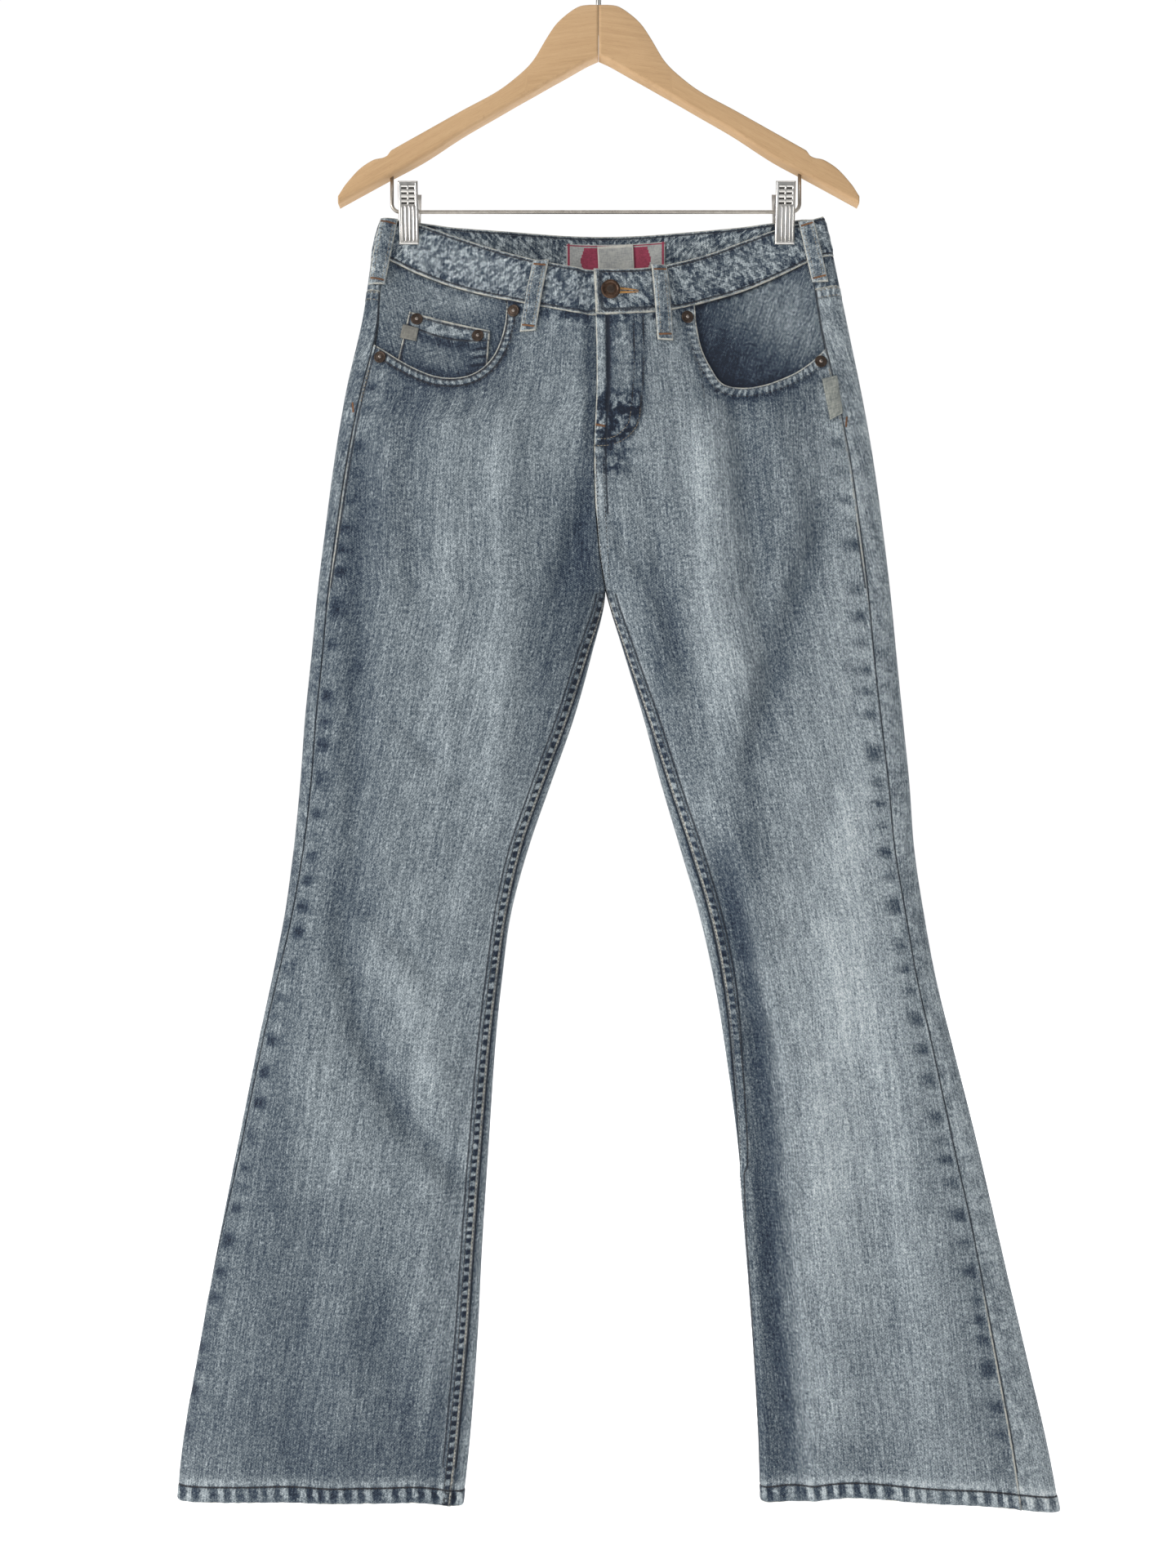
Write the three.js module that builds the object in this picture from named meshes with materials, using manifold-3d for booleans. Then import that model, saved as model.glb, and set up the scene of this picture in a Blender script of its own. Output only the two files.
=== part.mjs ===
// Flared jeans that hang from a wooden clip hanger.
// Millimetres. The origin is the hook's inner crown, +X is to the right as seen from the front,
// the front faces -Y and +Z is up. A drop is a distance below the origin, so z is minus the drop.
import * as THREE from "three";
import { mergeVertices } from "three/addons/utils/BufferGeometryUtils.js";
import Module from "manifold-3d";

const wasm = await Module();
wasm.setup();

// Cloth sizes
const PANEL_WALL = 1.4;
const HEM_WALL = 3.2;
const HEM_HEIGHT = 14;
const BAND_WALL = 2.8;
const BAND_PROUD = 0.6;
const FACING_DEPTH = 2;
const FACING_WALL = 1.2;
const PATCH_WALL = 1.2;
const SEAM_GAP = 0.3;
const TIP_GAP = 0.8;
const BODY_MIDDLE = 3;
const CROTCH_DROP = 558;
const SPLIT_START = 466;
const PARTING_START = 430;
const PARTING_END = 700;
const PARTING_REACH = 75;
const CREASE_POWER = 0.4;
const BACK_CENTRE = 6;

// Waist form
const PINCH_HALF_DEPTH = 3;
const BOW_HALF_WIDTH = 146;
const SIDE_FOLD_WIDTH = 8;
const SIDE_FOLD_DEPTH = 5.5;
const WAIST_BLEND = 130;

// Fly and waistband ends
const FLY_UNDERLAP = 12;
const FLY_UNDERLAP_END = 424;
const FLY_END_DROP = 464;
const FLY_SINK = PANEL_WALL + SEAM_GAP + 0.6;
const BAND_END_X = -6;
const BAND_UNDERLAP = 42;

// Outline of the hanging garment at each drop: outer and inner edge of each leg, and the half depths
const SECTIONS = [
  { drop: 236, rightOuter: -183, rightInner: -6, leftInner: -6, leftOuter: 190, front: 24, back: 24 },
  { drop: 263, rightOuter: -190.6, rightInner: -6, leftInner: -6, leftOuter: 196.8, front: 24, back: 24 },
  { drop: 326, rightOuter: -200.2, rightInner: -3, leftInner: -3, leftOuter: 209.8, front: 25, back: 27 },
  { drop: 388, rightOuter: -214.1, rightInner: -2, leftInner: -2, leftOuter: 222.5, front: 26, back: 32 },
  { drop: 450, rightOuter: -224.5, rightInner: -4, leftInner: -4, leftOuter: 233.5, front: 27, back: 34 },
  { drop: 513, rightOuter: -232.8, rightInner: -1, leftInner: -1, leftOuter: 241.9, front: 27, back: 33 },
  { drop: 558, rightOuter: -238.3, rightInner: 6, leftInner: 6, leftOuter: 247.2, front: 27, back: 30 },
  { drop: 610, rightOuter: -243.2, rightInner: -5.5, leftInner: 21.5, leftOuter: 252.3, front: 26, back: 27 },
  { drop: 665, rightOuter: -248.8, rightInner: -20.8, leftInner: 38.1, leftOuter: 257.8, front: 25, back: 25 },
  { drop: 720, rightOuter: -252.9, rightInner: -40.2, leftInner: 52.7, leftOuter: 263.3, front: 23, back: 23 },
  { drop: 776, rightOuter: -258.5, rightInner: -59.6, leftInner: 69.3, leftOuter: 267.5, front: 22, back: 21 },
  { drop: 831, rightOuter: -266.1, rightInner: -74.2, leftInner: 85.2, leftOuter: 275.8, front: 21, back: 20 },
  { drop: 887, rightOuter: -277.2, rightInner: -81.8, leftInner: 97.7, leftOuter: 286.2, front: 20, back: 19 },
  { drop: 942, rightOuter: -289, rightInner: -87.3, leftInner: 106.7, leftOuter: 300.1, front: 19, back: 18 },
  { drop: 1025, rightOuter: -305.6, rightInner: -92.9, leftInner: 117.8, leftOuter: 320.9, front: 18, back: 17 },
  { drop: 1109, rightOuter: -322.2, rightInner: -98.4, leftInner: 124.7, leftOuter: 340.3, front: 17, back: 17 },
  { drop: 1192, rightOuter: -337.5, rightInner: -102.6, leftInner: 131, leftOuter: 359.7, front: 17, back: 17 },
  { drop: 1275, rightOuter: -352, rightInner: -108.8, leftInner: 135.8, leftOuter: 379.1, front: 17, back: 17 },
  { drop: 1340, rightOuter: -358.6, rightInner: -115.8, leftInner: 137.8, leftOuter: 392, front: 17, back: 17 },
];

// Where each seam lies inside the outline; a minus value is round the fold, on the back
const SEAMS = [
  { drop: 236, outRight: 10, outLeft: 18, inRight: 0, inLeft: 0 },
  { drop: 300, outRight: 12, outLeft: 22, inRight: 0, inLeft: 0 },
  { drop: 350, outRight: 16.5, outLeft: 25, inRight: 0, inLeft: 0 },
  { drop: 450, outRight: 13, outLeft: 23, inRight: 0, inLeft: 0 },
  { drop: 558, outRight: 11.8, outLeft: 22.4, inRight: 0.4, inLeft: 0.4 },
  { drop: 636, outRight: 12.3, outLeft: 22.8, inRight: 4, inLeft: 2 },
  { drop: 754, outRight: 11.5, outLeft: 20.4, inRight: 6, inLeft: 7 },
  { drop: 835, outRight: 8.5, outLeft: 18.7, inRight: 3.4, inLeft: 8 },
  { drop: 918, outRight: 5.6, outLeft: 20, inRight: 4, inLeft: 6 },
  { drop: 1032, outRight: 4.5, outLeft: 23.5, inRight: 5.8, inLeft: 0.5 },
  { drop: 1090, outRight: 2.6, outLeft: 23.6, inRight: 6.3, inLeft: -1 },
  { drop: 1160, outRight: 0, outLeft: 26.5, inRight: 7.4, inLeft: -2 },
  { drop: 1252, outRight: -1, outLeft: 31, inRight: 9.3, inLeft: -3 },
  { drop: 1340, outRight: -2, outLeft: 35.5, inRight: 9.6, inLeft: -4 },
];

// Waistband edges across the front: its top and the waist seam under it
const FRONT_WAIST = [
  { x: -195, top: 240.5, seam: 277 },
  { x: -177, top: 243, seam: 278 },
  { x: -154, top: 246.3, seam: 288.2 },
  { x: -120, top: 258.2, seam: 301.2 },
  { x: -76, top: 275, seam: 314.6 },
  { x: -40, top: 286.5, seam: 324.5 },
  { x: -6, top: 292.8, seam: 331.1 },
  { x: 33, top: 292, seam: 329.5 },
  { x: 63, top: 285.5, seam: 324.2 },
  { x: 94, top: 274.5, seam: 314.2 },
  { x: 125, top: 261, seam: 302.9 },
  { x: 156, top: 249.5, seam: 289 },
  { x: 180, top: 244, seam: 278 },
  { x: 200, top: 237.5, seam: 273.5 },
];

// Waistband edges and yoke seam across the back
const BACK_WAIST = [
  { x: -195, top: 240.5, seam: 277, yoke: 303 },
  { x: -153, top: 243.8, seam: 281, yoke: 311 },
  { x: -120, top: 247.5, seam: 285.5, yoke: 320 },
  { x: -60, top: 247, seam: 286, yoke: 336 },
  { x: 6, top: 246.5, seam: 286, yoke: 352 },
  { x: 60, top: 247, seam: 286, yoke: 336 },
  { x: 117, top: 247, seam: 285.5, yoke: 320 },
  { x: 152, top: 243.5, seam: 281, yoke: 309 },
  { x: 200, top: 237.5, seam: 273.5, yoke: 300 },
];

// Front pocket scoops, from the waist seam to the outseam
const SCOOP_RIGHT = [
  { x: -77, drop: 316.6 },
  { x: -78.5, drop: 334 },
  { x: -81.9, drop: 348.3 },
  { x: -88.3, drop: 362.6 },
  { x: -97.6, drop: 373.1 },
  { x: -109.1, drop: 379.3 },
  { x: -123.4, drop: 381.3 },
  { x: -137.7, drop: 379.3 },
  { x: -152, drop: 373.4 },
  { x: -166.3, drop: 365.6 },
  { x: -178.5, drop: 357.5 },
  { x: -188.6, drop: 351 },
];
const SCOOP_LEFT = [
  { x: 80.6, drop: 319 },
  { x: 81.2, drop: 330 },
  { x: 82.9, drop: 341.8 },
  { x: 86.3, drop: 356.8 },
  { x: 93, drop: 371.6 },
  { x: 103, drop: 386 },
  { x: 119.3, drop: 389.5 },
  { x: 135.9, drop: 388.1 },
  { x: 152.4, drop: 382.4 },
  { x: 167.2, drop: 375 },
  { x: 180.3, drop: 365 },
  { x: 190.6, drop: 355 },
];

// Hem bottom across each leg, from its inner edge at 0 to its outer edge at 1
const HEM = [
  { part: 0, right: 1331, left: 1327.6 },
  { part: 0.15, right: 1324, left: 1322.5 },
  { part: 0.3, right: 1322.5, left: 1317.8 },
  { part: 0.5, right: 1321.8, left: 1320.8 },
  { part: 0.75, right: 1322.3, left: 1325.5 },
  { part: 1, right: 1325.5, left: 1336 },
];
const BACK_HEM_RAISE = 2;
const HEM_LEVEL = 1325;
const HEM_STEP = 0.6;

// Largest folds: a line from one place to another, its half width, and how far it stands out
const FRONT_FOLDS = [
  { leg: "right", x0: -80, drop0: 400, x1: -80, drop1: 760, width: 15, out: 2.6 },
  { leg: "right", x0: -198, drop0: 443, x1: -203, drop1: 815, width: 10, out: -3.2 },
  { leg: "right", x0: -203, drop0: 815, x1: -182, drop1: 1014, width: 11, out: -2.6 },
  { leg: "right", x0: -158, drop0: 400, x1: -152, drop1: 560, width: 10, out: -2.2 },
  { leg: "right", x0: -10, drop0: 484, x1: -30, drop1: 552, width: 8, out: -3.4 },
  { leg: "right", x0: -240, drop0: 1080, x1: -262, drop1: 1310, width: 16, out: -2 },
  { leg: "left", x0: 116, drop0: 402, x1: 131, drop1: 546, width: 10, out: -3 },
  { leg: "left", x0: 182, drop0: 540, x1: 124, drop1: 709, width: 11, out: -4.6 },
  { leg: "left", x0: 46, drop0: 540, x1: 88, drop1: 700, width: 9, out: -3 },
  { leg: "left", x0: 110, drop0: 600, x1: 112, drop1: 760, width: 14, out: 2.6 },
  { leg: "left", x0: 98, drop0: 772, x1: 134, drop1: 930, width: 11, out: -4.4 },
  { leg: "left", x0: 136, drop0: 940, x1: 164, drop1: 1310, width: 12, out: -4.6 },
  { leg: "left", x0: 250, drop0: 900, x1: 290, drop1: 1300, width: 18, out: 2 },
];
const BACK_FOLDS = [
  { leg: "right", x0: -60, drop0: 572, x1: -110, drop1: 760, width: 13, out: -3.6 },
  { leg: "right", x0: -180, drop0: 580, x1: -190, drop1: 900, width: 13, out: -2.8 },
  { leg: "right", x0: -200, drop0: 960, x1: -250, drop1: 1310, width: 16, out: -3 },
  { leg: "left", x0: 64, drop0: 572, x1: 110, drop1: 760, width: 13, out: -3.4 },
  { leg: "left", x0: 190, drop0: 580, x1: 190, drop1: 880, width: 13, out: -3 },
  { leg: "left", x0: 200, drop0: 940, x1: 250, drop1: 1310, width: 16, out: -3.4 },
];
const FOLD_END_FADE = 45;

// Drops of the rows that every panel shares, below its own top rows
const TOP_ROW_PARTS = [0, 0.34, 0.67];
const PANEL_ROWS = [
  425, 465, 497, 520, 538, 550, 558, 569, 590, 625, 665, 710, 760, 810, 860, 912, 968, 1025, 1085, 1145, 1205, 1260,
];

// Colours
const DENIM = { color: 0x97a3b4, roughness: 0.95 };
const STEEL = { color: 0xb9bbbd, roughness: 0.3, metalness: 1 };
const COPPER = { color: 0x5b4236, roughness: 0.45, metalness: 1 };
const WOOD = { color: 0xd9b384, roughness: 0.55 };
const TAG = { color: 0xc9c5bb, roughness: 0.85 };

const group = new THREE.Group();

function clamp(value, low, high) {
  return Math.min(high, Math.max(low, value));
}

function blend(a, b, part) {
  return a + (b - a) * part;
}

function ease(start, end, value) {
  const part = clamp((value - start) / (end - start), 0, 1);
  return part * part * (3 - 2 * part);
}

// A smooth value from a table: key is the column that runs along it, column the one that is read
function read(table, key, column, at) {
  const last = table.length - 1;
  const place = clamp(at, table[0][key], table[last][key]);
  let i = 0;
  while (i < last - 1 && table[i + 1][key] < place) {
    i += 1;
  }
  const span = table[i + 1][key] - table[i][key];
  const part = (place - table[i][key]) / span;
  const slope = (a, b) => (table[b][column] - table[a][column]) / (table[b][key] - table[a][key]);
  const startSlope = slope(Math.max(0, i - 1), Math.min(last, i + 1)) * span;
  const endSlope = slope(i, Math.min(last, i + 2)) * span;
  const p2 = part * part;
  const p3 = p2 * part;
  return (
    (2 * p3 - 3 * p2 + 1) * table[i][column] +
    (p3 - 2 * p2 + part) * startSlope +
    (3 * p2 - 2 * p3) * table[i + 1][column] +
    (p3 - p2) * endSlope
  );
}

function outerX(leg, drop) {
  return read(SECTIONS, "drop", leg === "right" ? "rightOuter" : "leftOuter", drop);
}

// The inner edge: the fly or the back's middle seam above the crotch, the inside leg below it
function innerX(leg, face, drop) {
  const away = (leg === "right" ? -1 : 1) * (SEAM_GAP / 2 + 0.05);
  const column = leg === "right" && drop >= CROTCH_DROP ? "rightInner" : "leftInner";
  const edge = read(SECTIONS, "drop", column, drop) + away;
  if (drop >= CROTCH_DROP) {
    return edge;
  }
  if (face === "back") {
    return BACK_CENTRE + away;
  }
  if (leg === "right" && drop > 320) {
    return edge + FLY_UNDERLAP * (1 - ease(FLY_UNDERLAP_END - 28, FLY_UNDERLAP_END, drop));
  }
  return edge;
}

// How far the two legs have parted: 0 on the body, 1 on the legs. The middle edge turns in on a round
// curve to the crotch, and the cloth away from it changes over a longer way.
function parting(drop, fromInner) {
  const part = clamp((drop - SPLIT_START) / (CROTCH_DROP - SPLIT_START), 0, 1);
  const edge = 1 - Math.sqrt(1 - part * part);
  const away = ease(PARTING_START, PARTING_END, drop);
  return blend(edge, away, ease(0, PARTING_REACH, fromInner));
}

function waistDepth(fromMiddle, halfWidth, full) {
  const bow = fromMiddle < BOW_HALF_WIDTH ? Math.cos((Math.PI / 2) * (fromMiddle / BOW_HALF_WIDTH)) ** 2 : 0;
  const side = ease(168, halfWidth - SIDE_FOLD_WIDTH, fromMiddle);
  const base = blend(PINCH_HALF_DEPTH, SIDE_FOLD_DEPTH, side);
  const last = clamp((fromMiddle - (halfWidth - SIDE_FOLD_WIDTH)) / SIDE_FOLD_WIDTH, 0, 1);
  return (base + (full - PINCH_HALF_DEPTH) * bow) * Math.sqrt(1 - last * last);
}

function foldHeight(leg, face, x, drop) {
  let height = 0;
  for (const fold of face === "front" ? FRONT_FOLDS : BACK_FOLDS) {
    if (fold.leg !== leg) {
      continue;
    }
    const dx = fold.x1 - fold.x0;
    const dz = fold.drop1 - fold.drop0;
    const length = Math.hypot(dx, dz);
    const along = ((x - fold.x0) * dx + (drop - fold.drop0) * dz) / length;
    const across = ((x - fold.x0) * dz - (drop - fold.drop0) * dx) / length;
    const fade = ease(-FOLD_END_FADE, FOLD_END_FADE * 0.6, along) * ease(-FOLD_END_FADE, FOLD_END_FADE * 0.6, length - along);
    height += fold.out * fade * Math.exp(-0.5 * (across / fold.width) ** 2);
  }
  return height;
}

// How far the cloth stands from the garment's middle plane
function halfDepth(leg, face, x, drop) {
  const outer = outerX(leg, drop);
  const inner = innerX(leg, face, drop);
  const full = read(SECTIONS, "drop", face, drop);
  const halfWidth = Math.abs(outer - BODY_MIDDLE);
  const fromMiddle = clamp(Math.abs(x - BODY_MIDDLE), 0, halfWidth);
  const hip = full * Math.pow(1 - (fromMiddle / halfWidth) ** 2, CREASE_POWER);
  const seam = read(face === "front" ? FRONT_WAIST : BACK_WAIST, "x", "seam", x);
  const belowWaist = ease(seam - 4, seam + WAIST_BLEND, drop);
  const body = belowWaist < 1 ? blend(waistDepth(fromMiddle, halfWidth, full), hip, belowWaist) : hip;
  const legMiddle = (outer + inner) / 2;
  const legHalf = Math.abs(outer - inner) / 2;
  const across = clamp(Math.abs(x - legMiddle) / legHalf, 0, 1);
  const tube = full * Math.pow(1 - across * across, CREASE_POWER);
  const depth = blend(body, tube, parting(drop, Math.abs(x - inner)));
  const room = clamp(depth / 8, 0, 1);
  return depth + room * room * foldHeight(leg, face, x, drop);
}

// A point of the outer skin. Turn runs from the inner edge at 0 over the front to the outer edge at 1,
// and on over the back to the inner edge at 2.
function skinPoint(leg, turn, drop) {
  let place = turn;
  const closed = drop >= CROTCH_DROP;
  if (closed) {
    place = ((turn % 2) + 2) % 2;
  }
  place = clamp(place, 0, 2);
  const face = place <= 1 ? "front" : "back";
  const outer = outerX(leg, drop);
  const inner = innerX(leg, face, drop);
  const x = (outer + inner) / 2 + ((inner - outer) / 2) * Math.cos(Math.PI * place);
  const depth = halfDepth(leg, face, x, drop);
  return new THREE.Vector3(x, face === "front" ? -depth : depth, -drop);
}

function skinNormal(leg, turn, drop) {
  const step = 0.012;
  const low = drop >= CROTCH_DROP ? turn - step : clamp(turn - step, 0, 2);
  const high = drop >= CROTCH_DROP ? turn + step : clamp(turn + step, 0, 2);
  const across = skinPoint(leg, high, drop).sub(skinPoint(leg, low, drop));
  const same = drop < CROTCH_DROP ? Math.min(drop + 1.5, CROTCH_DROP - 0.01) : drop + 1.5;
  const back = drop < CROTCH_DROP ? drop - 1.5 : Math.max(drop - 1.5, CROTCH_DROP);
  const down = skinPoint(leg, turn, same).sub(skinPoint(leg, turn, back));
  const normal = across.cross(down).normalize();
  if (leg === "left") {
    normal.negate();
  }
  // At the open middle edges the wall never leans across the seam
  if (drop < CROTCH_DROP && (turn < 0.03 || turn > 1.97)) {
    normal.x = leg === "right" ? Math.max(normal.x, 0) : Math.min(normal.x, 0);
    normal.normalize();
  }
  return normal;
}

// A point lifted off the skin; a minus lift goes inwards
function skinAt(leg, turn, drop, lift) {
  return skinPoint(leg, turn, drop).addScaledVector(skinNormal(leg, turn, drop), lift);
}

function turnAt(leg, face, x, drop) {
  const outer = outerX(leg, drop);
  const inner = innerX(leg, face, drop);
  const cosine = clamp((x - (outer + inner) / 2) / ((inner - outer) / 2), -1, 1);
  const turn = Math.acos(cosine) / Math.PI;
  return face === "front" ? turn : 2 - turn;
}

function seamTurn(leg, kind, drop) {
  const column = (kind === "out" ? "out" : "in") + (leg === "right" ? "Right" : "Left");
  const offset = read(SEAMS, "drop", column, drop);
  const face = offset >= 0 ? "front" : "back";
  const half = Math.abs(outerX(leg, drop) - innerX(leg, face, drop)) / 2;
  const turn = Math.acos(clamp(1 - Math.abs(offset) / half, -1, 1)) / Math.PI;
  if (kind === "out") {
    return offset >= 0 ? 1 - turn : 1 + turn;
  }
  return offset >= 0 ? turn : -turn;
}

// Half the gap at a seam, wider where the seam runs along a fold's tip
function halfGap(turn) {
  const fromTip = Math.min(Math.abs(turn), Math.abs(turn - 1), Math.abs(turn - 2));
  return SEAM_GAP / 2 + TIP_GAP * (1 - ease(0.01, 0.07, fromTip));
}

// The turn that lies a given length of cloth away from another turn
function shifted(leg, turn, drop, length) {
  const sign = Math.sign(length);
  let place = turn;
  let left = Math.abs(length);
  let from = skinPoint(leg, place, drop);
  const step = 0.0004;
  for (let i = 0; i < 400 && left > 0; i += 1) {
    place += sign * step;
    const to = skinPoint(leg, place, drop);
    left -= to.distanceTo(from);
    from = to;
  }
  return place;
}

// Closed body between an outer and an inner grid of points, rows by columns
function shellMesh(outer, inner) {
  const rows = outer.length;
  const columns = outer[0].length;
  const positions = [];
  for (const grid of [outer, inner]) {
    for (const row of grid) {
      for (const point of row) {
        positions.push(point.x, point.y, point.z);
      }
    }
  }
  const size = rows * columns;
  const index = [];
  const quad = (a, b, c, d) => index.push(a, b, c, a, c, d);
  for (let r = 0; r < rows - 1; r += 1) {
    for (let c = 0; c < columns - 1; c += 1) {
      const a = r * columns + c;
      quad(a, a + columns, a + columns + 1, a + 1);
      quad(size + a, size + a + 1, size + a + columns + 1, size + a + columns);
    }
  }
  for (let c = 0; c < columns - 1; c += 1) {
    const last = (rows - 1) * columns + c;
    quad(c, c + 1, size + c + 1, size + c);
    quad(last + 1, last, size + last, size + last + 1);
  }
  for (let r = 0; r < rows - 1; r += 1) {
    const first = r * columns;
    const end = first + columns - 1;
    quad(first + columns, first, size + first, size + first + columns);
    quad(end, end + columns, size + end + columns, size + end);
  }
  return facingOut(positions, index);
}

function facingOut(positions, index) {
  let volume = 0;
  const point = (i) => new THREE.Vector3(positions[3 * i], positions[3 * i + 1], positions[3 * i + 2]);
  for (let i = 0; i < index.length; i += 3) {
    volume += point(index[i]).dot(point(index[i + 1]).cross(point(index[i + 2])));
  }
  if (volume < 0) {
    for (let i = 0; i < index.length; i += 3) {
      [index[i + 1], index[i + 2]] = [index[i + 2], index[i + 1]];
    }
  }
  const geometry = new THREE.BufferGeometry();
  geometry.setAttribute("position", new THREE.Float32BufferAttribute(positions, 3));
  geometry.setIndex(index);
  return geometry;
}

function add(name, geometry, look) {
  const mesh = new THREE.Mesh(geometry, new THREE.MeshStandardMaterial(look));
  mesh.name = name;
  group.add(mesh);
  return mesh;
}

// A piece of cloth from a grid of places, each with its leg, turn, drop, lift and wall
function clothPiece(name, places, look) {
  const outer = places.map((row) => row.map((p) => skinAt(p.leg, p.turn, p.drop, p.lift)));
  const inner = places.map((row) => row.map((p) => skinAt(p.leg, p.turn, p.drop, p.lift - p.wall)));
  return add(name, shellMesh(outer, inner), look);
}

function hemDrop(leg, x, drop) {
  const outer = outerX(leg, drop);
  const inner = innerX(leg, "front", drop);
  return read(HEM, "part", leg, clamp((x - inner) / (outer - inner), 0, 1));
}

function wallAt(drop, bottom) {
  return drop > bottom - HEM_HEIGHT ? HEM_WALL : PANEL_WALL;
}

// Drops of one column of a panel, from its own top to its own hem
function columnDrops(top, bottom) {
  const drops = [...TOP_ROW_PARTS.map((part) => blend(top, PANEL_ROWS[0], part)), ...PANEL_ROWS];
  drops.push(bottom - HEM_HEIGHT - HEM_STEP, bottom - HEM_HEIGHT + HEM_STEP, bottom);
  return drops;
}

// Front panels
function frontPanel(leg) {
  const scoop = leg === "right" ? SCOOP_RIGHT : SCOOP_LEFT;
  const start = innerX(leg, "front", 331);
  const seamPlaces = leg === "right" ? [start, -6, -15, -34, -56, -69] : [start, 14, 31, 48, 65];
  const tops = seamPlaces.map((x) => ({ x, drop: read(FRONT_WAIST, "x", "seam", x) + SEAM_GAP }));
  for (const place of scoop) {
    tops.push({ x: place.x, drop: place.drop + (place === scoop[0] ? SEAM_GAP : 0) });
  }
  const last = tops.length - 1;
  const columns = tops.map((top, j) => {
    const startIn = seamTurn(leg, "in", top.drop);
    const startOut = seamTurn(leg, "out", top.drop);
    const first = j === 0 ? startIn : j === last ? startOut : turnAt(leg, "front", top.x, top.drop);
    const share = (first - startIn) / (startOut - startIn);
    const bottomTurn = blend(seamTurn(leg, "in", HEM_LEVEL), seamTurn(leg, "out", HEM_LEVEL), j / last);
    const bottom = hemDrop(leg, skinPoint(leg, bottomTurn, HEM_LEVEL).x, HEM_LEVEL);
    return columnDrops(top.drop, bottom).map((drop) => {
      const inSeam = seamTurn(leg, "in", drop);
      const outSeam = seamTurn(leg, "out", drop);
      const inTurn = drop < CROTCH_DROP ? 0 : shifted(leg, inSeam, drop, halfGap(inSeam));
      const outTurn = shifted(leg, outSeam, drop, -halfGap(outSeam));
      const part = blend(share, j / last, ease(390, 640, drop));
      const turn = blend(inTurn, outTurn, part);
      const x = skinPoint(leg, turn, drop).x;
      const under = leg === "right" ? ease(-14.5, -6.5, x) : 0;
      const sink = under * (1 - ease(FLY_UNDERLAP_END + 1, FLY_END_DROP, drop)) * FLY_SINK;
      return { leg, turn, drop, lift: -sink, wall: wallAt(drop, bottom) };
    });
  });
  const places = columns[0].map((_, r) => columns.map((column) => column[r]));
  clothPiece("front_" + leg, places, DENIM);
}

// Back panels
const BACK_COLUMNS = 19;
function backPanel(leg) {
  const columns = [];
  for (let j = 0; j <= BACK_COLUMNS; j += 1) {
    const share = j / BACK_COLUMNS;
    let top = 320;
    for (let i = 0; i < 12; i += 1) {
      const x = skinPoint(leg, blend(seamTurn(leg, "out", top), 2, share), top).x;
      top = read(BACK_WAIST, "x", "yoke", x) + SEAM_GAP;
    }
    const bottomTurn = blend(seamTurn(leg, "out", HEM_LEVEL), 2 + seamTurn(leg, "in", HEM_LEVEL), share);
    const bottomPoint = skinPoint(leg, bottomTurn, HEM_LEVEL);
    const raise = bottomPoint.y > 0 ? BACK_HEM_RAISE * ease(0, 8, bottomPoint.y) : 0;
    const bottom = hemDrop(leg, bottomPoint.x, HEM_LEVEL) - raise;
    columns.push(
      columnDrops(top, bottom).map((drop) => {
        const outSeam = seamTurn(leg, "out", drop);
        const inSeam = 2 + seamTurn(leg, "in", drop);
        const outTurn = shifted(leg, outSeam, drop, halfGap(outSeam));
        const inTurn = drop < CROTCH_DROP ? 2 : shifted(leg, inSeam, drop, -halfGap(inSeam));
        return { leg, turn: blend(outTurn, inTurn, share), drop, lift: 0, wall: wallAt(drop, bottom) };
      }),
    );
  }
  const places = columns[0].map((_, r) => columns.map((column) => column[r]));
  clothPiece("back_" + leg, places, DENIM);
}

// Back yokes
const YOKE_COLUMNS = 15;
const YOKE_ROW_PARTS = [0, 0.35, 0.7, 1];
function yoke(leg) {
  const columns = [];
  for (let j = 0; j <= YOKE_COLUMNS; j += 1) {
    const share = j / YOKE_COLUMNS;
    const column = [];
    for (const part of YOKE_ROW_PARTS) {
      let drop = 300;
      let turn = 1;
      for (let i = 0; i < 12; i += 1) {
        const start = shifted(leg, seamTurn(leg, "out", drop), drop, SEAM_GAP / 2);
        turn = blend(start, 2, share);
        const point = skinPoint(leg, turn, drop);
        const table = turn < 1 ? FRONT_WAIST : BACK_WAIST;
        const seam = read(table, "x", "seam", point.x) + SEAM_GAP;
        drop = blend(seam, read(BACK_WAIST, "x", "yoke", point.x), part);
      }
      column.push({ leg, turn, drop, lift: 0, wall: PANEL_WALL });
    }
    columns.push(column);
  }
  const places = columns[0].map((_, r) => columns.map((column) => column[r]));
  clothPiece("yoke_" + leg, places, DENIM);
}

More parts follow.
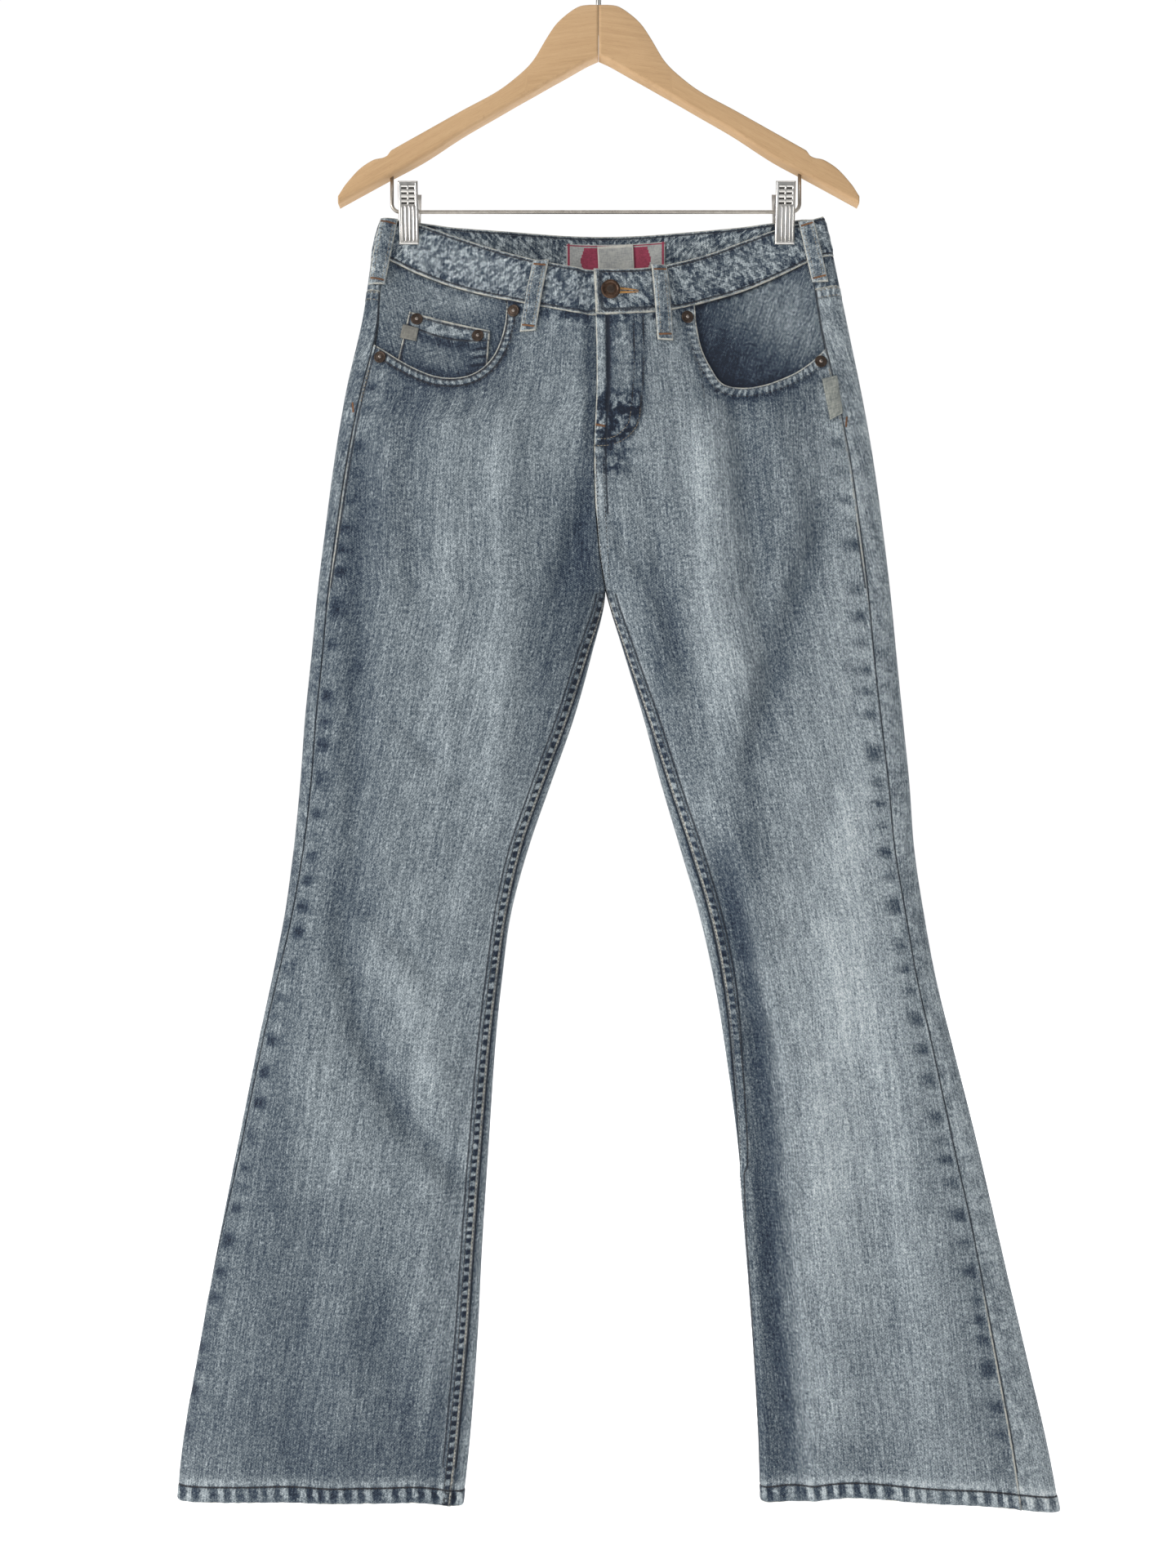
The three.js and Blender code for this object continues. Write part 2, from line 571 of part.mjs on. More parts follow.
// Waistband: one strip from its left end over the fly, round the body, to its right end under the fly
function waistband() {
  const stations = [];
  for (let j = 0; j <= 15; j += 1) {
    stations.push({ leg: "left", turn: j / 15, lift: BAND_PROUD });
  }
  for (let j = 1; j <= 14; j += 1) {
    stations.push({ leg: "left", turn: 1 + j / 14, lift: BAND_PROUD });
  }
  for (let j = 1; j <= 14; j += 1) {
    stations.push({ leg: "right", turn: 2 - j / 14, lift: BAND_PROUD });
  }
  for (let j = 1; j <= 13; j += 1) {
    stations.push({ leg: "right", turn: 1 - (j / 13) * 0.8, lift: BAND_PROUD });
  }
  const sunk = BAND_PROUD - BAND_WALL - SEAM_GAP;
  stations.push({ leg: "right", turn: 0.14, lift: blend(BAND_PROUD, sunk, 0.5) });
  stations.push({ leg: "right", turn: 0.08, lift: sunk });
  stations.push({ leg: "right", turn: 0.02, lift: sunk });
  const underEnd = turnAt("left", "front", BAND_END_X + BAND_UNDERLAP, 300);
  for (const part of [0.35, 0.7, 1]) {
    stations.push({ leg: "left", turn: underEnd * part, lift: sunk });
  }
  const ends = [0, 0.5, 1];
  const grids = [0, BAND_WALL].map((inwards) =>
    ends.map((part) =>
      stations.map((station) => {
        const table = station.turn <= 1 ? FRONT_WAIST : BACK_WAIST;
        let drop = 280;
        for (let i = 0; i < 16; i += 1) {
          const x = skinPoint(station.leg, station.turn, drop).x;
          drop = blend(read(table, "x", "top", x), read(table, "x", "seam", x), part);
        }
        return skinAt(station.leg, station.turn, drop, station.lift - inwards);
      }),
    ),
  );
  add("waistband", shellMesh(grids[0], grids[1]), DENIM);
}

// Pocket facings, behind the scoops
const FACING_COLUMNS = 9;
const FACING_REACH = 0.86;
const FACING_BOTTOM = { right: 396, left: 404 };
function facing(leg) {
  const scoop = leg === "right" ? SCOOP_RIGHT : SCOOP_LEFT;
  const columns = [];
  for (let j = 0; j <= FACING_COLUMNS; j += 1) {
    const share = j / FACING_COLUMNS;
    const column = [];
    for (const part of [0, 0.25, 0.5, 0.75, 1]) {
      let drop = 320;
      let turn = 0;
      for (let i = 0; i < 12; i += 1) {
        const start = turnAt(leg, "front", scoop[0].x * FACING_REACH, drop);
        const end = shifted(leg, seamTurn(leg, "out", drop), drop, -SEAM_GAP);
        turn = blend(start, end, share);
        const x = skinPoint(leg, turn, drop).x;
        drop = blend(read(FRONT_WAIST, "x", "seam", x) + SEAM_GAP, FACING_BOTTOM[leg], part);
      }
      const sunk = FACING_DEPTH * (1 - 0.75 * ease(0.6, 1, share) * (1 - ease(0.2, 0.8, part)));
      column.push({ leg, turn, drop, lift: -sunk, wall: FACING_WALL });
    }
    columns.push(column);
  }
  const places = columns[0].map((_, r) => columns.map((column) => column[r]));
  clothPiece("pocket_facing_" + leg, places, DENIM);
}

// A flat patch that lies on a panel, from the four corners of its outline in x and drop
function patch(name, leg, face, corners, sizes, look) {
  const places = [];
  for (let r = 0; r <= sizes.rows; r += 1) {
    const row = [];
    for (let c = 0; c <= sizes.columns; c += 1) {
      const down = r / sizes.rows;
      const over = c / sizes.columns;
      const top = [blend(corners[0][0], corners[1][0], over), blend(corners[0][1], corners[1][1], over)];
      const low = [blend(corners[3][0], corners[2][0], over), blend(corners[3][1], corners[2][1], over)];
      const point = sizes.bend ? sizes.bend(over, down) : 0;
      const x = blend(top[0], low[0], down);
      const drop = blend(top[1], low[1], down) + point;
      row.push({ leg, turn: turnAt(leg, face, x, drop), drop, lift: sizes.lift + sizes.wall, wall: sizes.wall });
    }
    places.push(row);
  }
  clothPiece(name, places, look);
}

// Belt loops, from the band's top to just below the waist seam
const LOOP_WIDTH = 13;
const LOOP_WALL = 2;
const LOOPS = [
  { leg: "right", face: "front", x0: -176.4, drop0: 243.6, x1: -187, drop1: 299 },
  { leg: "right", face: "front", x0: -47.8, drop0: 284.6, x1: -59.1, drop1: 343 },
  { leg: "left", face: "front", x0: 49.8, drop0: 288.6, x1: 55.2, drop1: 351 },
  { leg: "left", face: "front", x0: 175, drop0: 245, x1: 187, drop1: 297 },
  { leg: "left", face: "back", x0: 116, drop0: 247.2, x1: 117, drop1: 299 },
  { leg: "right", face: "back", x0: BACK_CENTRE - 7.5, drop0: 246.6, x1: BACK_CENTRE - 7.5, drop1: 300 },
  { leg: "right", face: "back", x0: -104, drop0: 247.2, x1: -105, drop1: 299 },
];
const LOOP_STATIONS = [
  { part: 0, lift: 0.9 },
  { part: 0.12, lift: 1.5 },
  { part: 0.4, lift: 2.4 },
  { part: 0.66, lift: 1.8 },
  { part: 0.8, lift: 0.9 },
  { part: 1, lift: 0.4 },
];
function beltLoop(number, row) {
  const places = LOOP_STATIONS.map((station) => {
    const x = blend(row.x0, row.x1, station.part);
    const drop = blend(row.drop0, row.drop1, station.part);
    return [-0.5, -0.17, 0.17, 0.5].map((over) => ({
      leg: row.leg,
      turn: turnAt(row.leg, row.face, x + over * LOOP_WIDTH, drop),
      drop,
      lift: station.lift + LOOP_WALL,
      wall: LOOP_WALL,
    }));
  });
  clothPiece("belt_loop_" + number, places, DENIM);
}

function revolved(geometry) {
  return facingOut(Array.from(geometry.getAttribute("position").array), Array.from(geometry.index.array));
}

// Turned metal, on the front face of the cloth
function turned(name, leg, face, x, drop, lift, profile, look) {
  const geometry = new THREE.LatheGeometry(
    profile.map((p) => new THREE.Vector2(p[0], p[1])),
    18,
  );
  const turn = turnAt(leg, face, x, drop);
  const mesh = add(name, revolved(geometry), look);
  mesh.position.copy(skinAt(leg, turn, drop, lift));
  mesh.quaternion.setFromUnitVectors(new THREE.Vector3(0, 1, 0), skinNormal(leg, turn, drop));
}
const RIVET_PROFILE = [
  [0, 0],
  [5.2, 0],
  [5.2, 0.5],
  [3.4, 1.2],
  [1.6, 1.1],
  [1, 1.7],
  [0, 1.8],
];
const BUTTON_PROFILE = [
  [0, 0],
  [3.2, 0],
  [3.2, 1.4],
  [7.6, 1.4],
  [8, 2.2],
  [7.4, 3.2],
  [5.6, 3],
  [0, 3.3],
];
const RIVETS = [
  { leg: "right", x: -71.2, drop: 324.4, lift: 0.6 },
  { leg: "right", x: -183.4, drop: 362.4, lift: 0.6 },
  { leg: "left", x: 74, drop: 330.2, lift: 1.1 },
  { leg: "left", x: 186, drop: 366.6, lift: 0.6 },
  { leg: "right", x: -153.3, drop: 328.6, lift: 0.4 },
  { leg: "right", x: -101.5, drop: 344, lift: 0.4 },
];

// The hanger's outline: top and underside at each distance from its middle
const ARM = [
  { x: 0.15, top: 62, low: 105.6 },
  { x: 9, top: 62, low: 109.6 },
  { x: 17, top: 63.5, low: 114 },
  { x: 27.5, top: 70.4, low: 120 },
  { x: 36.5, top: 79, low: 125 },
  { x: 44.5, top: 91, low: 129.5 },
  { x: 55, top: 108.5, low: 135.5 },
  { x: 66, top: 120, low: 141.6 },
  { x: 85, top: 134.6, low: 152.6 },
  { x: 115, top: 151, low: 170 },
  { x: 148, top: 169.5, low: 191.4 },
  { x: 180, top: 187.5, low: 208.6 },
  { x: 200, top: 199, low: 219.5 },
  { x: 214, top: 214, low: 227.2 },
  { x: 220, top: 223.5, low: 230.4 },
];
const ARM_HALF_THICKNESS = 6;
const ARM_ROUNDING = 3;
const WIRE_RADIUS = 1.5;
const WIRE_HOLE_RADIUS = 1.9;
const WIRE_X = { right: -175.3, left: 170.5 };
const WIRE_DROP = 235.2;
const WIRE_BEND = 7;
const WIRE_TOP_DROP = 196;
const HOOK_WIRE = 2.2;
const HOOK_RADIUS = 20;
const HOOK_SHANK_END = 84;

// A closed geometry with its shared corners joined, ready to be joined to or cut from another
function joined(geometry) {
  geometry.deleteAttribute("uv");
  geometry.deleteAttribute("normal");
  return mergeVertices(geometry, 1e-4);
}

function toSolid(geometry) {
  const mesh = new wasm.Mesh({
    numProp: 3,
    vertProperties: new Float32Array(geometry.getAttribute("position").array),
    triVerts: new Uint32Array(geometry.index.array),
  });
  mesh.merge();
  return new wasm.Manifold(mesh);
}

function fromSolid(solid) {
  const mesh = solid.getMesh();
  const positions = [];
  for (let i = 0; i < mesh.numVert; i += 1) {
    for (let k = 0; k < 3; k += 1) {
      positions.push(mesh.vertProperties[i * mesh.numProp + k]);
    }
  }
  return facingOut(positions, Array.from(mesh.triVerts));
}

// What an upright round hole takes away, from its low end to its high end
function hole(x, lowZ, highZ, radius) {
  const geometry = new THREE.CylinderGeometry(radius, radius, highZ - lowZ, 14);
  geometry.rotateX(Math.PI / 2);
  geometry.translate(x, 0, (lowZ + highZ) / 2);
  return toSolid(joined(geometry));
}

function arm(side) {
  const sign = side === "right" ? -1 : 1;
  const ring = (row) => {
    const round = Math.min(ARM_ROUNDING, (row.low - row.top) * 0.3);
    const cut = round * 0.3;
    const y = ARM_HALF_THICKNESS;
    return [
      [-y + round, row.top],
      [y - round, row.top],
      [y - cut, row.top + cut],
      [y, row.top + round],
      [y, row.low - round],
      [y - cut, row.low - cut],
      [y - round, row.low],
      [-y + round, row.low],
      [-y + cut, row.low - cut],
      [-y, row.low - round],
      [-y, row.top + round],
      [-y + cut, row.top + cut],
    ].map(([yy, drop]) => [sign * row.x, yy, -drop]);
  };
  const rings = ARM.map(ring);
  const count = rings[0].length;
  const positions = rings.flat(2);
  const index = [];
  for (let r = 0; r < rings.length - 1; r += 1) {
    for (let c = 0; c < count; c += 1) {
      const a = r * count + c;
      const b = r * count + ((c + 1) % count);
      index.push(a, b, b + count, a, b + count, a + count);
    }
  }
  const last = (rings.length - 1) * count;
  for (let c = 1; c < count - 1; c += 1) {
    index.push(0, c + 1, c);
    index.push(last, last + c, last + c + 1);
  }
  let solid = toSolid(facingOut(positions, index));
  solid = solid.subtract(hole(0, -HOOK_SHANK_END - 0.4, -50, HOOK_WIRE + 0.4));
  solid = solid.subtract(hole(WIRE_X[side], -240, -WIRE_TOP_DROP + 0.4, WIRE_HOLE_RADIUS));
  add("hanger_arm_" + side, fromSolid(solid), WOOD);
}

// A bent round wire with flat ends, along a chain of points in the X-Z plane
function wire(name, points, radius, sides, look) {
  const rings = points.map((point, i) => {
    const before = points[Math.max(0, i - 1)];
    const after = points[Math.min(points.length - 1, i + 1)];
    const along = after.clone().sub(before).normalize();
    const side = new THREE.Vector3(0, 1, 0);
    const up = side.clone().cross(along).normalize();
    const ring = [];
    for (let c = 0; c < sides; c += 1) {
      const angle = (2 * Math.PI * c) / sides;
      const spot = point.clone().addScaledVector(side, radius * Math.cos(angle));
      ring.push(spot.addScaledVector(up, radius * Math.sin(angle)).toArray());
    }
    return ring;
  });
  const positions = rings.flat(2);
  const index = [];
  for (let r = 0; r < rings.length - 1; r += 1) {
    for (let c = 0; c < sides; c += 1) {
      const a = r * sides + c;
      const b = r * sides + ((c + 1) % sides);
      index.push(a, b, b + sides, a, b + sides, a + sides);
    }
  }
  const last = (rings.length - 1) * sides;
  for (let c = 1; c < sides - 1; c += 1) {
    index.push(0, c + 1, c);
    index.push(last, last + c, last + c + 1);
  }
  add(name, facingOut(positions, index), look);
}

function arcPoints(centreX, centreDrop, radius, from, to, count) {
  const points = [];
  for (let i = 0; i <= count; i += 1) {
    const angle = blend(from, to, i / count) * (Math.PI / 180);
    points.push(new THREE.Vector3(centreX + radius * Math.cos(angle), 0, -centreDrop + radius * Math.sin(angle)));
  }
  return points;
}

// The hook bears on the rail at the origin, on the inner side of its crown
function hook() {
  const middle = HOOK_RADIUS + HOOK_WIRE;
  const points = arcPoints(0, HOOK_RADIUS, middle, 170, -52, 24);
  const neck = points[points.length - 1];
  points.push(new THREE.Vector3(neck.x * 0.55, 0, neck.z - 4.5));
  points.push(new THREE.Vector3(neck.x * 0.18, 0, neck.z - 8.2));
  points.push(new THREE.Vector3(0, 0, neck.z - 13));
  points.push(new THREE.Vector3(0, 0, -HOOK_SHANK_END));
  wire("hanger_hook", points, HOOK_WIRE, 10, STEEL);
}

function clipWire() {
  const points = [new THREE.Vector3(WIRE_X.right, 0, -WIRE_TOP_DROP)];
  points.push(...arcPoints(WIRE_X.right + WIRE_BEND, WIRE_DROP - WIRE_BEND, WIRE_BEND, 180, 270, 6));
  points.push(...arcPoints(WIRE_X.left - WIRE_BEND, WIRE_DROP - WIRE_BEND, WIRE_BEND, 270, 360, 6));
  points.push(new THREE.Vector3(WIRE_X.left, 0, -WIRE_TOP_DROP));
  wire("clip_wire", points, WIRE_RADIUS, 10, STEEL);
}

// Clips: two jaws that pinch the waistband, on a spring round the wire
const JAW_WIDTH = 16.6;
const JAW_WALL = 1.1;
const JAW_TIP_GAP = 4.4;
const CLIPS = { right: { x: -160.2 }, left: { x: 157 } };
const JAW_SIDE = [
  { y: 12, drop: 214.8 },
  { y: 11.4, drop: 220 },
  { y: 8.2, drop: 236 },
  { y: 5.4, drop: 250 },
  { y: JAW_TIP_GAP, drop: 258 },
  { y: JAW_TIP_GAP, drop: 264.8 },
];
const EAR_WALL = 0.9;
function jaw(name, x, face) {
  const outerSide = JAW_SIDE.map((p) => [p.y + JAW_WALL, -p.drop]);
  const innerSide = JAW_SIDE.map((p) => [p.y, -p.drop]).reverse();
  const profile = [...innerSide, ...outerSide];
  const earX = face === "front" ? JAW_WIDTH / 2 - EAR_WALL : JAW_WIDTH / 2 - 2 * EAR_WALL - 0.35;
  // The side view is drawn flat and pushed along the jaw's width
  const pushed = (outline, width, middle) => {
    const shape = new THREE.Shape(outline.map((p) => new THREE.Vector2(p[0], p[1])));
    const geometry = new THREE.ExtrudeGeometry(shape, { depth: width, bevelEnabled: false });
    geometry.translate(0, 0, middle - width / 2);
    return toSolid(joined(geometry));
  };
  let solid = pushed(profile, JAW_WIDTH, 0);
  const ear = [
    [8.9, -229],
    [10.4, -229],
    [7.4, -245],
    [5.4, -241.4],
    [-2.6, -238.6],
    [-2.6, -231.8],
  ];
  const pinGeometry = new THREE.CylinderGeometry(WIRE_RADIUS + 0.35, WIRE_RADIUS + 0.35, JAW_WIDTH * 2, 14);
  pinGeometry.rotateX(Math.PI / 2);
  pinGeometry.translate(0, -WIRE_DROP, 0);
  const pin = toSolid(joined(pinGeometry));
  for (const sign of [-1, 1]) {
    const piece = pushed(ear, EAR_WALL, sign * (earX + EAR_WALL / 2 - 0.02));
    solid = solid.add(piece.subtract(pin));
  }
  const geometry = fromSolid(solid);
  const turn = face === "front" ? -1 : 1;
  const position = geometry.getAttribute("position");
  const positions = [];
  for (let i = 0; i < position.count; i += 1) {
    positions.push(x + position.getZ(i), turn * position.getX(i), position.getY(i));
  }
  add(name, facingOut(positions, Array.from(geometry.index.array)), STEEL);
}

function spring(name, x) {
  const inner = WIRE_RADIUS + 0.35;
  const outer = inner + 1.6;
  const half = JAW_WIDTH / 2 - 2 * EAR_WALL - 0.9;
  const profile = [];
  const waves = 5;
  profile.push([inner, -half], [inner, half]);
  for (let i = 0; i < waves; i += 1) {
    const start = half - (2 * half * i) / waves;
    const end = half - (2 * half * (i + 1)) / waves;
    profile.push([outer - 0.5, start], [outer, (start * 2 + end) / 3], [outer, (start + end * 2) / 3]);
  }
  profile.push([outer - 0.5, -half], [inner, -half]);
  const geometry = new THREE.LatheGeometry(
    profile.map((p) => new THREE.Vector2(p[0], p[1])),
    12,
  );
  const mesh = add(name, revolved(geometry), STEEL);
  mesh.rotation.z = Math.PI / 2;
  mesh.position.set(x, 0, -WIRE_DROP);
}

for (const leg of ["right", "left"]) {
  frontPanel(leg);
  backPanel(leg);
  yoke(leg);
  facing(leg);
  arm(leg);
  jaw("clip_" + leg + "_front_jaw", CLIPS[leg].x, "front");
  jaw("clip_" + leg + "_back_jaw", CLIPS[leg].x, "back");
  spring("clip_" + leg + "_spring", CLIPS[leg].x);
}
waistband();
LOOPS.forEach((row, i) => beltLoop(i + 1, row));
RIVETS.forEach((row, i) =>
  turned("rivet_" + (i + 1), row.leg, "front", row.x, row.drop, row.lift, RIVET_PROFILE, COPPER),
);
turned("waist_button", "left", "front", 9.6, 311.6, BAND_PROUD + 0.35, BUTTON_PROFILE, COPPER);

// Coin pocket on the right facing, and what is sewn on
const ON_FACING = -FACING_DEPTH + 0.6;
patch(
  "coin_pocket",
  "right",
  "front",
  [
    [-159.8, 321.7],
    [-91.5, 339.7],
    [-93.5, 360],
    [-168.5, 352],
  ],
  {
    rows: 4,
    columns: 5,
    lift: ON_FACING,
    wall: PATCH_WALL,
    bend: (over, down) => down * (over > 0.05 && over < 0.95 ? 14 * Math.sin(Math.PI * over) + 3 : 0),
  },
  DENIM,
);
patch(
  "coin_tag",
  "right",
  "front",
  [
    [-164.8, 333.5],
    [-151.5, 337],
    [-153.5, 348.5],
    [-167, 345.5],
  ],
  { rows: 1, columns: 1, lift: ON_FACING + PATCH_WALL + SEAM_GAP, wall: 0.9 },
  TAG,
);
patch(
  "side_label",
  "left",
  "front",
  [
    [187.2, 382.6],
    [196.4, 380.8],
    [201, 415],
    [191.6, 417],
  ],
  { rows: 3, columns: 1, lift: SEAM_GAP, wall: 1 },
  TAG,
);

// Back patch pockets, five-sided
const BACK_POCKETS = [
  { leg: "right", corners: [[-166, 372], [-44, 356], [-50, 494], [-158, 500]] },
  { leg: "left", corners: [[56, 356], [178, 372], [170, 500], [62, 494]] },
];
for (const row of BACK_POCKETS) {
  patch("back_pocket_" + row.leg, row.leg, "back", row.corners, {
    rows: 7,
    columns: 6,
    lift: SEAM_GAP + 0.1,
    wall: PATCH_WALL,
    bend: (over, down) => 15 * down * (1 - Math.abs(over - 0.5) * 2),
  }, DENIM);
}

// Labels on the inner side of the back waistband
const BAND_INSIDE = BAND_PROUD - BAND_WALL;
const INNER_LABEL_X = [-28, 58];
function innerPatch(name, spans, corners, lift, wall, look) {
  const outer = [];
  const inner = [];
  for (let r = 0; r <= spans.rows; r += 1) {
    const rowOut = [];
    const rowIn = [];
    for (let c = 0; c <= spans.columns; c += 1) {
      const over = c / spans.columns;
      const down = r / spans.rows;
      const topX = blend(corners[0][0], corners[1][0], over);
      const lowX = blend(corners[3][0], corners[2][0], over);
      const x = blend(topX, lowX, down);
      const topDrop = blend(corners[0][1], corners[1][1], over);
      const lowDrop = blend(corners[3][1], corners[2][1], over);
      const drop = blend(topDrop, lowDrop, down);
      const leg = x < BACK_CENTRE ? "right" : "left";
      const turn = turnAt(leg, "back", x, drop);
      rowOut.push(skinAt(leg, turn, drop, BAND_INSIDE - lift));
      rowIn.push(skinAt(leg, turn, drop, BAND_INSIDE - lift - wall));
    }
    outer.push(rowOut);
    inner.push(rowIn);
  }
  add(name, shellMesh(outer, inner), look);
}
innerPatch(
  "inner_label",
  { rows: 2, columns: 8 },
  [
    [INNER_LABEL_X[0], 254],
    [INNER_LABEL_X[1], 254],
    [INNER_LABEL_X[1], 282],
    [INNER_LABEL_X[0], 282],
  ],
  SEAM_GAP,
  0.8,
  TAG,
);
innerPatch(
  "care_label",
  { rows: 4, columns: 3 },
  [
    [-1, 256],
    [30.5, 254.8],
    [33, 306],
    [1.5, 308],
  ],
  2 * SEAM_GAP + 0.9,
  0.8,
  TAG,
);

hook();
clipWire();

export default group;
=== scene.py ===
# Flared jeans on a clip hanger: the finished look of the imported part.
# Sizes are in millimetres until a mesh is made.
# A drop is a distance below the origin, so z is minus the drop.
import math

import bpy
import numpy as np
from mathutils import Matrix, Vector


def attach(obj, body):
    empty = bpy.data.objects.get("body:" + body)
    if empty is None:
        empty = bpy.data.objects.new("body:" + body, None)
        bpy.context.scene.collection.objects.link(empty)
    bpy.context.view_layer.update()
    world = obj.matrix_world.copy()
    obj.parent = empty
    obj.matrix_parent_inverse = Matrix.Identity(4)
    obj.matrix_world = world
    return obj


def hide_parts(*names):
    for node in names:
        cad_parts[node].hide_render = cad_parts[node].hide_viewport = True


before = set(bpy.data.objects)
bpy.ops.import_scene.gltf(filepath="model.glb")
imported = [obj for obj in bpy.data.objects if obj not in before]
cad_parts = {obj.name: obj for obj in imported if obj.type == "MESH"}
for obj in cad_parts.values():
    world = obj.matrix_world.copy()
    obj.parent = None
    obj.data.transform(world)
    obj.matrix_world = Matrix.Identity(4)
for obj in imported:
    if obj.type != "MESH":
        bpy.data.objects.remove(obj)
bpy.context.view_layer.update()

METRES = 0.001

# Cloth sizes, as in the part's source
PANEL_WALL = 1.4
HEM_WALL = 3.2
HEM_HEIGHT = 14
BAND_WALL = 2.8
BAND_PROUD = 0.6
FACING_DEPTH = 2
PATCH_WALL = 1.2
SEAM_GAP = 0.3
BODY_MIDDLE = 3
CROTCH_DROP = 558
SPLIT_START = 466
PARTING_START = 430
PARTING_END = 700
PARTING_REACH = 75
CREASE_POWER = 0.4
BACK_CENTRE = 6
PINCH_HALF_DEPTH = 3
BOW_HALF_WIDTH = 146
SIDE_FOLD_WIDTH = 8
SIDE_FOLD_DEPTH = 5.5
WAIST_BLEND = 130
FLY_UNDERLAP = 12
FLY_UNDERLAP_END = 424
FLY_END_DROP = 464
FLY_SINK = PANEL_WALL + SEAM_GAP + 0.6
BAND_END_X = -6
BAND_UNDERLAP = 42
BACK_HEM_RAISE = 2
HEM_LEVEL = 1325
FOLD_END_FADE = 45
TOP_END = 425


def table(columns, rows):
    values = np.array(rows, dtype=object)
    made = {}
    for i, name in enumerate(columns.split()):
        column = list(values[:, i])
        made[name] = column if isinstance(column[0], str) else np.array(column, dtype=float)
    return made


# Outline of the hanging garment: outer and inner edge of each leg, and the half depths
SECTIONS = table(
    "drop right_outer right_inner left_inner left_outer front back",
    [
        (236, -183, -6, -6, 190, 24, 24),
        (263, -190.6, -6, -6, 196.8, 24, 24),
        (326, -200.2, -3, -3, 209.8, 25, 27),
        (388, -214.1, -2, -2, 222.5, 26, 32),
        (450, -224.5, -4, -4, 233.5, 27, 34),
        (513, -232.8, -1, -1, 241.9, 27, 33),
        (558, -238.3, 6, 6, 247.2, 27, 30),
        (610, -243.2, -5.5, 21.5, 252.3, 26, 27),
        (665, -248.8, -20.8, 38.1, 257.8, 25, 25),
        (720, -252.9, -40.2, 52.7, 263.3, 23, 23),
        (776, -258.5, -59.6, 69.3, 267.5, 22, 21),
        (831, -266.1, -74.2, 85.2, 275.8, 21, 20),
        (887, -277.2, -81.8, 97.7, 286.2, 20, 19),
        (942, -289, -87.3, 106.7, 300.1, 19, 18),
        (1025, -305.6, -92.9, 117.8, 320.9, 18, 17),
        (1109, -322.2, -98.4, 124.7, 340.3, 17, 17),
        (1192, -337.5, -102.6, 131, 359.7, 17, 17),
        (1275, -352, -108.8, 135.8, 379.1, 17, 17),
        (1340, -358.6, -115.8, 137.8, 392, 17, 17),
    ],
)

# Where each seam lies inside the outline; a minus value is round the fold, on the back
SEAMS = table(
    "drop out_right out_left in_right in_left",
    [
        (236, 10, 18, 0, 0),
        (300, 12, 22, 0, 0),
        (350, 16.5, 25, 0, 0),
        (450, 13, 23, 0, 0),
        (558, 11.8, 22.4, 0.4, 0.4),
        (636, 12.3, 22.8, 4, 2),
        (754, 11.5, 20.4, 6, 7),
        (835, 8.5, 18.7, 3.4, 8),
        (918, 5.6, 20, 4, 6),
        (1032, 4.5, 23.5, 5.8, 0.5),
        (1090, 2.6, 23.6, 6.3, -1),
        (1160, 0, 26.5, 7.4, -2),
        (1252, -1, 31, 9.3, -3),
        (1340, -2, 35.5, 9.6, -4),
    ],
)

# Waistband edges across the front: its top and the waist seam under it
FRONT_WAIST = table(
    "x top seam",
    [
        (-195, 240.5, 277),
        (-177, 243, 278),
        (-154, 246.3, 288.2),
        (-120, 258.2, 301.2),
        (-76, 275, 314.6),
        (-40, 286.5, 324.5),
        (-6, 292.8, 331.1),
        (33, 292, 329.5),
        (63, 285.5, 324.2),
        (94, 274.5, 314.2),
        (125, 261, 302.9),
        (156, 249.5, 289),
        (180, 244, 278),
        (200, 237.5, 273.5),
    ],
)

# Waistband edges and yoke seam across the back
BACK_WAIST = table(
    "x top seam yoke",
    [
        (-195, 240.5, 277, 303),
        (-153, 243.8, 281, 311),
        (-120, 247.5, 285.5, 320),
        (-60, 247, 286, 336),
        (6, 246.5, 286, 352),
        (60, 247, 286, 336),
        (117, 247, 285.5, 320),
        (152, 243.5, 281, 309),
        (200, 237.5, 273.5, 300),
    ],
)

# Front pocket scoops, from the waist seam to the outseam
SCOOPS = {
    "right": table(
        "x drop",
        [
            (-77, 316.6),
            (-78.5, 334),
            (-81.9, 348.3),
            (-88.3, 362.6),
            (-97.6, 373.1),
            (-109.1, 379.3),
            (-123.4, 381.3),
            (-137.7, 379.3),
            (-152, 373.4),
            (-166.3, 365.6),
            (-178.5, 357.5),
            (-188.6, 351),
        ],
    ),
    "left": table(
        "x drop",
        [
            (80.6, 319),
            (81.2, 330),
            (82.9, 341.8),
            (86.3, 356.8),
            (93, 371.6),
            (103, 386),
            (119.3, 389.5),
            (135.9, 388.1),
            (152.4, 382.4),
            (167.2, 375),
            (180.3, 365),
            (190.6, 355),
        ],
    ),
}

# Hem bottom across each leg, from its inner edge at 0 to its outer edge at 1
HEM = table(
    "part right left",
    [
        (0, 1331, 1327.6),
        (0.15, 1324, 1322.5),
        (0.3, 1322.5, 1317.8),
        (0.5, 1321.8, 1320.8),
        (0.75, 1322.3, 1325.5),
        (1, 1325.5, 1336),
    ],
)

